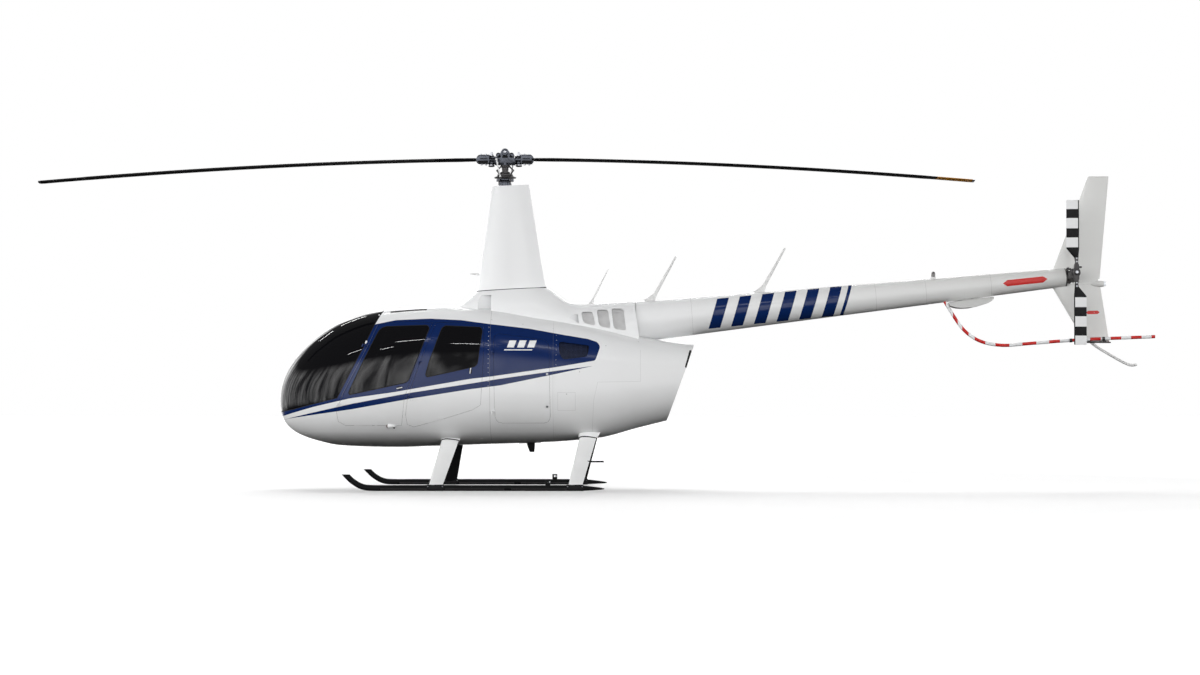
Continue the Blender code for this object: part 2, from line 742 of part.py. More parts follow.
def add_hinges(frame, door, name, hinge, sign=1):
    fixed, moving = hinge_parts(hinge, sign)
    for piece, label, parts in ((frame, "frame", fixed), (door, "door", moving)):
        for k, meshes in enumerate(parts):
            shape(piece, "UNION", helper(f"hinge_{name}_{label}_{k}", joined(*meshes)))


def make_cabin():
    cabin = place("cabin_shell", pod_mesh(), "white_paint")
    tools = bpy.data.objects
    helper("behind_cabin", box((BULKHEAD_X, -1, 0.2), (2.6, 1, 2.2)))
    room = helper("cabin_room", pod_mesh(WALL))
    helper("behind_room", box((BULKHEAD_X - BULKHEAD, -1, 0.2), (2.6, 1, 2.2)))
    shape(room, "DIFFERENCE", tools["behind_room"])
    shape(cabin, "DIFFERENCE", tools["behind_cabin"], room)
    for side in ("left", "right"):
        shape(cabin, "DIFFERENCE", tools[f"windshield_cut_{side}"])
        for name in ("front", "rear"):
            shape(cabin, "DIFFERENCE", tools[f"door_cut_{name}_{side}"])
        pane = place(f"windshield_{side}", pod_mesh(), "dark_glass")
        shape(pane, "DIFFERENCE", tools["pane_inside"])
        shape(pane, "INTERSECT", tools[f"windshield_fill_{side}"])


def make_doors():
    tools = bpy.data.objects
    for name, hinge in (("front", FRONT_HINGE), ("rear", REAR_HINGE)):
        for side, sign in (("left", 1), ("right", -1)):
            end = f"{name}_{side}"
            origin = (hinge[0][0], hinge[0][1] * sign, hinge[0][2])
            door = place(f"door_{end}", pod_mesh(), "white_paint", origin)
            shape(door, "DIFFERENCE", tools["pod_inside"])
            shape(door, "INTERSECT", tools[f"door_fill_{end}"])
            shape(door, "DIFFERENCE", tools[f"window_cut_{end}"])
            add_hinges(tools["cabin_shell"], door, end, hinge, sign)
            pane = place(f"window_{end}", pod_mesh(), "dark_glass", origin)
            shape(pane, "DIFFERENCE", tools["pane_inside"])
            shape(pane, "INTERSECT", tools[f"window_fill_{end}"])


def make_aft_pod():
    tools = bpy.data.objects
    start, end = BULKHEAD_X + SEAT, BAGGAGE_END_X
    helper("baggage_span", box((start, -1, 0.2), (end, 1, 2.2)))
    helper("baggage_room_span", box((start - 1, -1, 0.2), (end - BULKHEAD, 1, 2.2)))
    room = helper("baggage_room", pod_mesh(WALL))
    shape(room, "INTERSECT", tools["baggage_room_span"])
    bay = place("baggage_bay", pod_mesh(), "white_paint")
    shape(bay, "INTERSECT", tools["baggage_span"])
    shape(bay, "DIFFERENCE", room, tools["baggage_door_cut"])
    door = place("baggage_door", pod_mesh(), "white_paint", BAGGAGE_HINGE[0])
    shape(door, "DIFFERENCE", tools["pod_inside"])
    shape(door, "INTERSECT", tools["baggage_door_fill"])
    add_hinges(bay, door, "baggage", BAGGAGE_HINGE)

    helper("before_cowl", box((-3, -1, 0.2), (BAGGAGE_END_X + SEAT, 1, 2.2)))
    cowl_room = helper("cowl_room", pod_mesh(WALL))
    shape(cowl_room, "INTERSECT", tools["before_tail_panel"])
    cowl = place("engine_cowl", pod_mesh(), "white_paint")
    shape(cowl, "DIFFERENCE", tools["before_cowl"], tools["behind_tail"], cowl_room)
    shape(cowl, "DIFFERENCE", tools["cone_clearance"], tools["exhaust_hole"])
    shape(cowl, "DIFFERENCE", tools["side_vent_left"], tools["side_vent_right"])
    shape(cowl, "DIFFERENCE", tools["tail_screen_hole"])


# The upper fairing and the mast fairing
fairing_section = smooth_table(FAIRING)


def fairing_ring(x, points, grow=0.0):
    top, half, base = fairing_section(x)
    ring = []
    for k in range(points + 1):
        a = math.pi * k / points
        y = (half + grow) * math.cos(a)
        ring.append((x, y, base + (top + grow - base) * math.sin(a)))
    ring.append((x, -half - grow, FAIRING_FLOOR))
    ring.append((x, half + grow, FAIRING_FLOOR))
    return ring


def fairing_mesh():
    stations = [row[0] for row in FAIRING]
    return loft([fairing_ring(x, 14) for x in stations])


def airfoil(lead, trail, half, points=7):
    """Half the outline of a strut-like section: x and y from the leading to the trailing edge."""
    chord = trail - lead
    side = []
    for k in range(points + 1):
        t = (k / points) ** 2
        bow = 1.48 * math.sqrt(t) - 0.63 * t - 1.758 * t**2 + 1.4215 * t**3 - 0.5075 * t**4
        side.append((lead + chord * t, 2 * half * (bow + BLUNT_EDGE * t)))
    return side


def airfoil_ring(lead, trail, half, z, points=7):
    return [(x, y, z) for x, y in closed(airfoil(lead, trail, half, points))]


def closed(side):
    """A whole section from the half that airfoil gives, round to its leading edge."""
    return side + [(along, -out) for along, out in side[1:]][::-1]


def make_fairings():
    tools = bpy.data.objects
    (x0, z0), (x1, z1) = STEP_FORE, STEP_AFT
    tilt = (z1 - z0) / (x1 - x0)
    step = [(x, z0 + tilt * (x - x0)) for x in (x0 - 0.3, x1)]
    helper("above_step", prism(step + [(x1, 3.0), (x0 - 0.3, 3.0)], -1, 1))
    under = [(x, z0 + tilt * (x - x0) + SEAT) for x in (x1 + 0.2, x0 - 0.2)]
    helper("below_mast", prism([(x0 - 0.2, 1.0), (x1 + 0.2, 1.0)] + under, -1, 1))
    (x0, z0), (x1, z1) = FAIRING_END_TOP, FAIRING_END_LOW
    slope = (x1 - x0) / (z1 - z0)
    ends = [(x0 + slope * (z - z0), z) for z in (2.3, 1.2)]
    helper("behind_fairing", prism((ends[0], ends[1], (1.9, 1.2), (1.9, 2.3)), -1, 1))
    fairing = place("roof_cowl", fairing_mesh(), "white_paint")
    shape(fairing, "DIFFERENCE", tools["pod_seat"], tools["above_step"])
    shape(fairing, "DIFFERENCE", tools["behind_fairing"], tools["cone_clearance"])
    for k, (fore, aft, low_fore, low_aft, high) in enumerate(FAIRING_VENTS):
        corners = (
            (fore, high), (aft - VENT_AFT_SLANT, high), (aft, low_aft), (fore + VENT_FORE_SLANT, low_fore),
        )
        outline = rounded(corners, VENT_CORNER)
        for side, near, far in (("left", -0.5, -VENT_DEPTH_Y), ("right", VENT_DEPTH_Y, 0.5)):
            helper(f"vent_{k}_{side}", prism(outline, near, far))
            shape(fairing, "DIFFERENCE", tools[f"vent_{k}_{side}"])
    fore, aft, low, high = INLET
    for side, sign in (("left", -1), ("right", 1)):
        plan = ((fore, INLET_FORE_Y), (aft, INLET_AFT_Y), (aft, 0.5), (fore, 0.5))
        helper(f"inlet_{side}", loft([[(x, y * sign, z) for x, y in plan] for z in (low, high)]))
        shape(fairing, "DIFFERENCE", tools[f"inlet_{side}"])

    mast = place("mast_fairing", mast_fairing_mesh(), "white_paint")
    shape(mast, "DIFFERENCE", tools["below_mast"])
    helper("shaft_bore", bar((0, 0, SHAFT_BORE_FLOOR), (0, 0, 3.6), SHAFT_BORE, 20))
    shape(mast, "DIFFERENCE", tools["shaft_bore"])


def mast_fairing_mesh(grow=0.0):
    return loft([
        airfoil_ring(lead - grow, trail + grow, half + grow, z, 9)
        for z, lead, trail, half in MAST_FAIRING
    ])


# The tail
def cone_point(x):
    (x0, z0, r0), (x1, z1, r1) = CONE_FORE, CONE_AFT
    t = (x - x0) / (x1 - x0)
    return (x, 0.0, z0 + t * (z1 - z0)), r0 + t * (r1 - r0)


def cone_mesh(grow=0.0, start=CONE_FORE[0], end=CONE_AFT[0], points=28):
    a, ra = cone_point(start)
    b, rb = cone_point(end)
    return tube([a, b], [ra + grow, rb + grow], points)


def make_tail_tools():
    helper("cone_clearance", cone_mesh(CONE_GAP, CONE_FORE[0] - SEAT))
    helper("cone_seat", cone_mesh(SEAT, CONE_FORE[0] - SEAT, CONE_AFT[0] + SEAT))
    helper("cone_inside", cone_mesh(-CONE_WALL, CONE_FORE[0] - 0.1, CONE_AFT[0] - 0.02))
    helper("exhaust_hole", bar(*EXHAUST_HOLE, 20))
    (x1, z1), (x0, z0) = TAIL_TOP, TAIL_LOW
    rings = []
    for x_shift in (-0.10, 0.10):
        ring = []
        for y, up in rounded(TAIL_SCREEN, TAIL_SCREEN_CORNER):
            z = TAIL_SCREEN_Z + up
            ring.append((x0 + (z - z0) * (x1 - x0) / (z1 - z0) + x_shift, y, z))
        rings.append(ring)
    helper("tail_screen_hole", loft(rings))


def gearbox_mesh(grow=0.0):
    """The case at the cone's end and the one across it that carries the tail rotor's shaft."""
    length, radius = GEARBOX_CASE
    fore, _ = cone_point(CONE_AFT[0] + SEAT - grow)
    aft, _ = cone_point(CONE_AFT[0] + length + grow)
    x, _, z = TAIL_ROTOR
    y0, y1, z0, z1, across = CROSS_CASE
    meshes = [
        bar(fore, aft, radius + grow, 16),
        bar((x, y0 + grow, z + z0), (x, y1 - grow, z + z1), across + grow, 16),
    ]
    y0, y1, z0, z1, across = SHAFT_HOUSING
    meshes.append(bar((x, y0, z + z0), (x, y1 - grow, z + z1), across + grow, 14))
    return joined(*meshes)


def fin_mesh(ends):
    return loft([airfoil_ring(lead, trail, FIN_HALF, z, 6) for z, lead, trail in ends])


def make_tail():
    tools = bpy.data.objects
    cone = place("tail_cone", cone_mesh(), "white_paint")
    shape(cone, "DIFFERENCE", tools["cone_inside"])

    place("tail_gearbox", gearbox_mesh(), "dark_metal")
    helper("gearbox_seat", gearbox_mesh(GEARBOX_SEAT))
    helper("below_upper_fin", box((5.5, -0.3, 1.9), (6.6, 0.3, UPPER_FIN_FOOT)))
    helper("above_lower_fin", box((5.5, -0.3, LOWER_FIN_HEAD), (6.6, 0.3, 2.5)))
    for name, ends, cut in (
        ("upper_fin", UPPER_FIN, "below_upper_fin"),
        ("lower_fin", LOWER_FIN, "above_lower_fin"),
    ):
        fin = place(name, fin_mesh(ends), "white_paint")
        shape(fin, "DIFFERENCE", tools[cut], tools["cone_seat"], tools["gearbox_seat"])

    rings = []
    for y, lead, trail in STABILIZER:
        side = airfoil(lead, trail, STABILIZER_HALF, 6)
        rings.append([(x, y, STABILIZER_Z + t) for x, t in closed(side)])
    stabilizer = place("stabilizer", loft(rings), "white_paint")
    shape(stabilizer, "DIFFERENCE", tools["gearbox_seat"])
    light = tube([(x, 0, z) for x, z, _ in TAIL_LIGHT], [radius for _, _, radius in TAIL_LIGHT], 12)
    place("tail_light", light, "lamp_lens")

    guard = smooth_path(GUARD, 3)
    tube_piece = place("guard_tube", tube(guard, [GUARD_RADIUS] * len(guard), 8), "red_paint")
    shape(tube_piece, "DIFFERENCE", tools["cone_seat"])
    skid = smooth_path(TAIL_SKID, 2)
    piece = place("tail_skid", tube(skid, [TAIL_SKID_RADIUS] * len(skid), 8), "white_paint")
    helper("fin_bottom", box((6.0, -0.1, LOWER_FIN[0][0] - SEAT), (6.6, 0.1, 1.9)))
    shape(piece, "DIFFERENCE", tools["fin_bottom"])


def smooth_path(points, steps):
    """A curve through the points, each span cut into steps."""
    points = [Vector(p) for p in points]
    padded = [2 * points[0] - points[1]] + points + [2 * points[-1] - points[-2]]
    path = []
    for a, b, c, d in zip(padded, padded[1:], padded[2:], padded[3:]):
        for k in range(steps):
            t = k / steps
            path.append(0.5 * (
                2 * b + (c - a) * t + (2 * a - 5 * b + 4 * c - d) * t**2
                + (3 * b - a - 3 * c + d) * t**3
            ))
    return path + [points[-1]]


def foil_mesh():
    """The navigation aerial: its chord and thickness shrink to rounded points at both ends."""
    x, z = FOIL_AT
    rows = []
    for k in range(9):
        t = -1 + k / 4
        chord_half = FOIL_CHORD_HALF * math.sqrt(max(1 - t * t, 0.02))
        thick = FOIL_HALF * math.sqrt(max(1 - t * t, 0.05))
        middle = z - FOIL_DROOP * abs(t)
        section = closed(airfoil(x - chord_half, x + chord_half, thick, 5))
        rows.append(
            [(px, FOIL_SPAN_HALF * t, middle + FOIL_LEAN * (px - x) + up) for px, up in section]
        )
    return loft(rows)


def make_antennas():
    tools = bpy.data.objects
    for name, points, radii in WHIPS:
        whip = place(name, tube([(x, 0, z) for x, z in points], list(radii), 8), "white_paint")
        shape(whip, "DIFFERENCE", tools["cone_seat" if name != "whip_fore" else "fairing_seat"])
    dome = tube([(BEACON_X, 0, z) for z, _ in BEACON], [radius for _, radius in BEACON], 12)
    beacon = place("beacon", dome, "lamp_lens")
    shape(beacon, "DIFFERENCE", tools["cone_seat"])
    nav = place("nav_antenna", joined(foil_mesh(), box(*FOIL_STRUT)), "white_paint")
    shape(nav, "DIFFERENCE", tools["cone_seat"])
    blade = loft([airfoil_ring(*section, 4) for section in BELLY_BLADE])
    belly = place("belly_antenna", blade, "black_paint")
    shape(belly, "DIFFERENCE", tools["pod_seat"])
    probe = place("pitot_tube", joined(*(bar(*part, 8) for part in PITOT)), "rotor_metal")
    shape(probe, "DIFFERENCE", tools["mast_fairing_seat"])


# Landing gear
def leg_mesh(leg, sign, chord_grow=0.0, grow=0.0):
    """One leg fairing, from inside the pod down to the skid it stands on."""
    top_x, top_y, top_z, low_x, top_chord, low_chord = leg
    out, rise = LEG_TILT
    rings = []
    for share, x, chord in ((0.0, top_x, top_chord), (1.0, low_x, low_chord)):
        y = sign * (top_y + share * (TREAD / 2 - top_y))
        z = top_z + share * (SKID_Z + LEG_FOOT_RISE - top_z)
        reach = (chord + chord_grow) / 2
        ring = airfoil_ring(x - reach, x + reach, LEG_HALF + grow, 0.0, 5)
        rings.append([(px, y + sign * out * half, z + rise * half) for px, half, _ in ring])
    return loft(rings)


def make_landing_gear():
    tools = bpy.data.objects
    for side, sign in (("left", -1), ("right", 1)):
        y = sign * TREAD / 2
        path = smooth_path([(x, y, z) for x, z in SKID_TOE], 2) + [Vector((SKID_END_X, y, SKID_Z))]
        fore, aft, top, thick = WHEEL_LUG
        skid = joined(
            tube(path, [SKID_RADIUS] * len(path), 14),
            box((fore, y - thick / 2, SKID_Z), (aft, y + thick / 2, top)),
        )
        place(f"skid_{side}", skid, "black_paint")
        helper(f"skid_seat_{side}", tube(path, [SKID_RADIUS + SEAT] * len(path), 14))
        for name, leg in (("front", FRONT_LEG), ("rear", REAR_LEG)):
            piece = place(f"leg_{name}_{side}", leg_mesh(leg, sign), "white_paint")
            shape(piece, "DIFFERENCE", tools["pod_seat"], tools[f"skid_seat_{side}"])
    step = place("boarding_step", joined(*(bar(*part, 8) for part in STEP)), "black_paint")
    shape(step, "DIFFERENCE", tools["rear_leg_seat"])


def make_seat_tools():
    """Copies of carrying pieces, a little larger, that the pieces on them are cut back to."""
    helper("fairing_seat", loft([fairing_ring(row[0], 14, SEAT) for row in FAIRING]))
    helper("mast_fairing_seat", mast_fairing_mesh(SEAT))
    helper("rear_leg_seat", leg_mesh(REAR_LEG, -1, 0.001, SEAT))


# Inside
def make_inside():
    tools = bpy.data.objects
    thick, half, low, high = ENGINE_MOUNT
    mounts = [box((x, -half, low), (x + thick, half, high)) for x in ENGINE_MOUNT_XS]
    engine = place("engine_block", joined(box(*ENGINE), *mounts), "dark_metal")
    helper("engine_room", pod_mesh(WALL + SEAT))
    shape(engine, "INTERSECT", tools["engine_room"])
    exhaust = place("exhaust_pipe", bar(*EXHAUST_PIPE, 20), "dark_metal")
    helper("exhaust_bore", bar(*EXHAUST_BORE, 20))
    helper("engine_seat", box((0.6, -0.3, 0.8), (ENGINE[1][0] + SEAT, 0.3, 1.5)))
    shape(exhaust, "DIFFERENCE", tools["exhaust_bore"], tools["engine_seat"], tools["behind_tail"])

    helper("inside_walls", pod_mesh(WALL + LINING))
    low, high = (FLOOR_FORE_X, -0.9, FLOOR_Z - FLOOR_THICKNESS), (CABIN_BACK, 0.9, FLOOR_Z)
    helper("floor_span", box(low, high))
    deck = place("cabin_floor", pod_mesh(WALL + SEAT), "interior_trim")
    shape(deck, "INTERSECT", tools["floor_span"])
    for name, seat_x, near, far in SEATS:
        outline = [(seat_x + x, z) for x, z in SEAT_OUTLINE]
        seat = place(name, prism(outline, near, far), "seat_leather")
        shape(seat, "INTERSECT", tools["inside_walls"])
    console = joined(
        prism(PEDESTAL, -PEDESTAL_HALF, PEDESTAL_HALF),
        prism(PANEL, -PANEL_HALF, PANEL_HALF),
    )
    place("instrument_console", console, "interior_trim")
    x, low, high, radius = STICK_FOOT
    cyclic = joined(
        tube([(stick_x, 0, z) for stick_x, z, _ in STICK], [thick for _, _, thick in STICK], 8),
        bar((x, 0, low), (x, 0, high), radius, 10),
        bar(*STICK_BAR, 8),
    )
    place("cyclic_stick", cyclic, "black_paint")


# Main rotor
def blade_mesh(sign):
    """One main blade: sign -1 points forward. Its leading edge faces the way it turns."""
    rings = []
    for share in BLADE_STATIONS:
        r = BLADE_ROOT + share * (ROTOR_RADIUS - BLADE_ROOT)
        z = HUB_Z - DROOP * (r / ROTOR_RADIUS) ** 1.8
        chord = ROTOR_CHORD * min(1.0, 0.50 + 12 * share)
        thick = BLADE_HALF if share < BLADE_THINS else BLADE_TIP_HALF
        ring = []
        for c, t in closed(airfoil(-BLADE_AHEAD * chord, (1 - BLADE_AHEAD) * chord, thick, 5)):
            across = c * math.cos(BLADE_PITCH) + t * math.sin(BLADE_PITCH)
            up = -c * math.sin(BLADE_PITCH) + t * math.cos(BLADE_PITCH)
            ring.append((sign * r, -sign * across, z + up))
        rings.append(ring)
    return loft(rings)


def turned(stations, sides):
    """A round form about the rotor's axis, through pairs of z and radius."""
    return tube([(0, 0, z) for z, _ in stations], [radius for _, radius in stations], sides)


def head_parts():
    """The yoke, its bolts, and the two grips, which overlap and are joined."""
    length, half, low, high = YOKE
    bolt_half, bolt_z, bolt_radius = TEETER_BOLT
    neck_z, neck_radius = NECK
    parts = [
        box((-length, -half, HUB_Z + low), (length, half, HUB_Z + high)),
        bar((0, -bolt_half, HUB_Z + bolt_z), (0, bolt_half, HUB_Z + bolt_z), bolt_radius, 12),
        prism([(x, HUB_Z + z) for x, z in HEAD_CAP], -HEAD_CAP_HALF, HEAD_CAP_HALF),
        bar((0, 0, HUB_Z + neck_z), (0, 0, HUB_Z), neck_radius, 16),
    ]
    bolt_half, bolt_z, bolt_radius = FLAP_BOLT
    for sign in (-1, 1):
        x = sign * FLAP_BOLT_X
        parts.append(
            bar((x, -bolt_half, HUB_Z + bolt_z), (x, bolt_half, HUB_Z + bolt_z), bolt_radius, 10)
        )
        for x0, x1, z0, z1, radius in GRIP_BARRELS:
            parts.append(bar((sign * x0, 0, HUB_Z + z0), (sign * x1, 0, HUB_Z + z1), radius, 14))
        cuff = [(sign * x, 0, HUB_Z + z) for x, z, _ in GRIP_CUFF]
        parts.append(tube(cuff, [radius for _, _, radius in GRIP_CUFF], 12))
        parts.append(box(*[(sign * x, sign * y, HUB_Z + z) for x, y, z in PITCH_HORN]))
    return parts


def link_ends(sign):
    return [Vector((sign * x, sign * y, z)) for x, y, z in (LINK_FOOT, LINK_HEAD)]


def make_main_rotor():
    tools = bpy.data.objects
    centre = (0, 0, HUB_Z)
    shaft = turned(((SHAFT_BORE_FLOOR + SEAT, SHAFT_RADIUS), (HUB_Z + SHAFT_TOP, SHAFT_RADIUS)), 16)
    place("rotor_shaft", shaft, "rotor_metal", centre)
    sleeve = place(
        "swashplate_lower", joined(turned(SLEEVE, 20), turned(LOWER_PLATE, 20)), "dark_metal"
    )
    helper("sleeve_bore", bar((0, 0, 3.0), (0, 0, 3.5), SHAFT_RADIUS + SLEEVE_GAP, 16))
    shape(sleeve, "DIFFERENCE", tools["sleeve_bore"])

    links = [bar(*link_ends(sign), LINK_RADIUS, 8) for sign in (-1, 1)]
    upper = joined(turned(UPPER_PLATE, 20), turned(UPPER_COLLAR, 16), *links)
    plate = place("swashplate_upper", upper, "dark_metal", centre)
    helper("shaft_seat", bar((0, 0, 3.2), (0, 0, HUB_Z), SHAFT_RADIUS + SEAT, 16))
    shape(plate, "DIFFERENCE", tools["shaft_seat"])

    head = place("rotor_hub", joined(*head_parts()), "rotor_metal", centre)
    for name, sign in (("blade_forward", -1), ("blade_aft", 1)):
        place(name, blade_mesh(sign), "black_paint", centre)
        helper(f"{name}_socket", swollen(blade_mesh(sign), ROOT_GAP))
        shape(head, "DIFFERENCE", tools[f"{name}_socket"])
    shape(head, "DIFFERENCE", tools["link_seat"])


def swollen(mesh, by):
    """A blade grown a little along its normals, which the piece that holds its root is cut to."""
    for vertex in mesh.vertices:
        vertex.co = vertex.co + vertex.normal * by
    return mesh


def make_link_seat():
    meshes = []
    for sign in (-1, 1):
        foot, head = link_ends(sign)
        meshes.append(bar(foot, head + Vector((0, 0, SEAT * 2)), LINK_RADIUS + SEAT * 2, 8))
    neck_z, _ = NECK
    below_neck = bar((0, 0, LINK_FOOT[2]), (0, 0, HUB_Z + neck_z - 0.0002), 0.10, 12)
    helper("link_seat", joined(*meshes, below_neck))


# Tail rotor
def tail_blade_mesh(sign):
    x, y, z = TAIL_ROTOR
    rings = []
    for r, lead, trail in TAIL_BLADE:
        section = closed(airfoil(-lead, trail, TAIL_BLADE_HALF, 5))
        rings.append(
            [(x - sign * c, y + t + TAIL_BLADE_SLANT * c, z + sign * r) for c, t in section]
        )
    return loft(rings)


def make_tail_rotor():
    x, y, z = TAIL_ROTOR
    tools = bpy.data.objects
    beyond, shaft_radius = TAIL_SHAFT
    half_x, half_y, half_z = TAIL_BLOCK
    spindle, spindle_radius = TAIL_SPINDLE
    reach, bar_radius = TAIL_CROSSBAR
    near, far, flange_radius = TAIL_FLANGE
    hub = joined(
        bar((x, SHAFT_HOUSING[1] - SEAT, z), (x, y + beyond, z), shaft_radius, 12),
        box((x - half_x, y - half_y, z - half_z), (x + half_x, y + half_y, z + half_z)),
        bar((x, y, z - spindle), (x, y, z + spindle), spindle_radius, 10),
        bar((x - reach, y, z), (x + reach, y, z), bar_radius, 10),
        bar((x, y + near, z), (x, y + far, z), flange_radius, 14),
    )
    piece = place("tail_rotor_hub", hub, "dark_metal", TAIL_ROTOR)
    for name, sign in (("tail_blade_upper", 1), ("tail_blade_lower", -1)):
        place(name, tail_blade_mesh(sign), "white_paint", TAIL_ROTOR)
        helper(f"{name}_seat", swollen(tail_blade_mesh(sign), ROOT_GAP))
        shape(piece, "DIFFERENCE", tools[f"{name}_seat"])


def main():
    clear_scene()
    make_paints()
    airframe = bpy.data.objects.new("airframe", None)
    bpy.context.scene.collection.objects.link(airframe)
    airframe.location.x = MAST_X
    make_pod_tools()
    make_tail_tools()
    make_seat_tools()
    make_link_seat()
    make_cabin()
    make_doors()
    make_aft_pod()
    make_fairings()
    make_tail()
    make_antennas()
    make_landing_gear()
    make_inside()
    make_main_rotor()
    make_tail_rotor()


main()
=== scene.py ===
# %% [markdown]
# A light two-blade helicopter on skids, white with a navy side stripe.
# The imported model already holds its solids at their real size, with the doors and rotors on
# their joints. This lesson dresses that frame: smooth skins, glass, paint, the rotor head's
# hardware, seats and lights. Lengths are metres and +Z is up. The nose points to -X, and the
# port side, which the camera sees, is -Y.

# %% Load the frame
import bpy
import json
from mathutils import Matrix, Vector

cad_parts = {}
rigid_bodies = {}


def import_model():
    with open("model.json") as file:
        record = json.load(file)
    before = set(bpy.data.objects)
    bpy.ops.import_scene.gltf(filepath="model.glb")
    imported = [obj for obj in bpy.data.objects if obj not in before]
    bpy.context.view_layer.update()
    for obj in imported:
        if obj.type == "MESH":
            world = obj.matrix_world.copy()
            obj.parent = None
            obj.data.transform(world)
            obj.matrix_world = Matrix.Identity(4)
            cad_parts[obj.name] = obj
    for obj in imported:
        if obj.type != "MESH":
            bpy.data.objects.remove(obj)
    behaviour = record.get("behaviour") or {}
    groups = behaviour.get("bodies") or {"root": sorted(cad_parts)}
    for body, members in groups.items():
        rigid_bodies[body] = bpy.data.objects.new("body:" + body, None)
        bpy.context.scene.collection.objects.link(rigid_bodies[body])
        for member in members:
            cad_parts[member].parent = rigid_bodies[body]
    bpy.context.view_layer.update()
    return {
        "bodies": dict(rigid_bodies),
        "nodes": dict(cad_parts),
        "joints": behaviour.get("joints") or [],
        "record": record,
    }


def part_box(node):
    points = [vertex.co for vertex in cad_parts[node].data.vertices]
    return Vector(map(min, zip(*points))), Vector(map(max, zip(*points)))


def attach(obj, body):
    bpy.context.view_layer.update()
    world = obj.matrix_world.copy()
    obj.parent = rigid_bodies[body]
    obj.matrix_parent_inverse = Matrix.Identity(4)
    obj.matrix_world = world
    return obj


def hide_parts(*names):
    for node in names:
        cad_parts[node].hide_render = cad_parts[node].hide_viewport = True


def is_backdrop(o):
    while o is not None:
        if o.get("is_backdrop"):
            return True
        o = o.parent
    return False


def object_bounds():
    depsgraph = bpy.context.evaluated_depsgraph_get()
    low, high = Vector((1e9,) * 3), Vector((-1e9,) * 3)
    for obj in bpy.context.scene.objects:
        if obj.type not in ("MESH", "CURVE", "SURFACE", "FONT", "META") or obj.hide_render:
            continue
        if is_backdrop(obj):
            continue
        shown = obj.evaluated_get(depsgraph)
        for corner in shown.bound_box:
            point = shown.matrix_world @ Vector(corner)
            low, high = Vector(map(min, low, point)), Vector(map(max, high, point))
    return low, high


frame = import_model()

# %% Other imports
import json
import math

import bmesh
import bpy
from mathutils import Matrix, Vector

for leftover in [bpy.data.objects.get(name) for name in ("Cube", "Light", "Camera")]:
    if leftover:
        bpy.data.objects.remove(leftover)

# %% [markdown]
# A helicopter is drawn from its rotor mast: stations along the body are counted from it. So
# every place below is x aft of the mast axis, y to starboard and z above the floor, and one
# shift takes a finished mesh to the frame's own origin. The shaft's box says where the mast is.

# %% The mast, and the sizes read from the frame
def middle(node):
    low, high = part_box(node)
    return (low + high) / 2


MAST_X = middle("rotor_shaft").x
SHAFT_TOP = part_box("rotor_shaft")[1].z
HUB_Z = 3.493
print("mast at x", round(MAST_X, 3), "shaft top", round(SHAFT_TOP, 3))

# %% [markdown]
# The camera stands 30 m off the port side, a little aft of the mast and about waist high,
# with a long lens, so the helicopter shows almost in true side view. It is turned a degree
# towards the nose and upwards to frame the whole rotor, with no lens shift.

# %% The camera
def link(name, data):
    made = bpy.data.objects.new(name, data)
    bpy.context.scene.collection.objects.link(made)
    return made


CAMERA_PLACE = Vector((MAST_X + 1.436, -29.9, 0.9))
CAMERA_AIM = Vector((-0.01423, 1.0, 0.02327))
LENS = 84.33
view = bpy.data.cameras.new("side_camera")
view.lens = LENS
view.sensor_width = 36
view.clip_end = 400
camera = link("side_camera", view)
camera.location = CAMERA_PLACE
camera.rotation_euler = CAMERA_AIM.to_track_quat("-Z", "Y").to_euler()
bpy.context.scene.camera = camera
print("camera", round(CAMERA_PLACE.y, 1), "m off the side, lens", LENS, "mm")

# %% [markdown]
# Shader graphs read best as sums. This class wraps one output socket, and arithmetic on it
# adds Math nodes, so that a mask can be written as (z - low) / edge. Any other node comes
# from one method, which is told its type, its settings and what its inputs take.

# %% A socket that does arithmetic
def colour(red, green, blue):
    return (red, green, blue, 1.0)


class Wire:
    """An output of a node in a material, or of an expression of such outputs."""

    def __init__(self, tree, socket=None):
        self.tree = tree
        self.socket = socket

    def node(self, kind, settings=None, inputs=None, output=0):
        made = self.tree.nodes.new(kind)
        for name, value in (settings or {}).items():
            if name == "stops":
                stops = made.color_ramp.elements
                for place, grey in value[1:-1]:
                    stops.new(place).color = colour(grey, grey, grey)
                for end in (0, -1):
                    stops[end].position = value[end][0]
                    stops[end].color = colour(*[value[end][1]] * 3)
            else:
                setattr(made, name, value)
        for name, value in (inputs or {}).items():
            if isinstance(value, Wire):
                self.tree.links.new(value.socket, made.inputs[name])
            else:
                made.inputs[name].default_value = value
        return Wire(self.tree, made.outputs[output])

    def math(self, operation, *values, clamp=False):
        settings = {"operation": operation, "use_clamp": clamp}
        return self.node("ShaderNodeMath", settings, dict(enumerate(values)))

    def __add__(self, other):
        return self.math("ADD", self, other)

    def __sub__(self, other):
        return self.math("SUBTRACT", self, other)

    def __rsub__(self, other):
        return self.math("SUBTRACT", other, self)

    def __mul__(self, other):
        return self.math("MULTIPLY", self, other)

    def __truediv__(self, other):
        return self.math("DIVIDE", self, other)

    def __abs__(self):
        return self.math("ABSOLUTE", self)

    __radd__ = __add__
    __rmul__ = __mul__

    def over(self, limit, edge=0.0012):
        """A mask: 1 where this is above the limit, 0 below, with a soft edge that wide."""
        return self.math("ADD", (self - limit) / edge, 0.5, clamp=True)

    def under(self, limit, edge=0.0012):
        return 1 - self.over(limit, edge)

    def mixed(self, first, second):
        """Two colours mixed by this mask."""
        inputs = {0: self, 6: first, 7: second}
        return self.node("ShaderNodeMix", {"data_type": "RGBA"}, inputs, 2)


def summed(masks):
    total, *others = masks
    for mask in others:
        total = total + mask
    return total


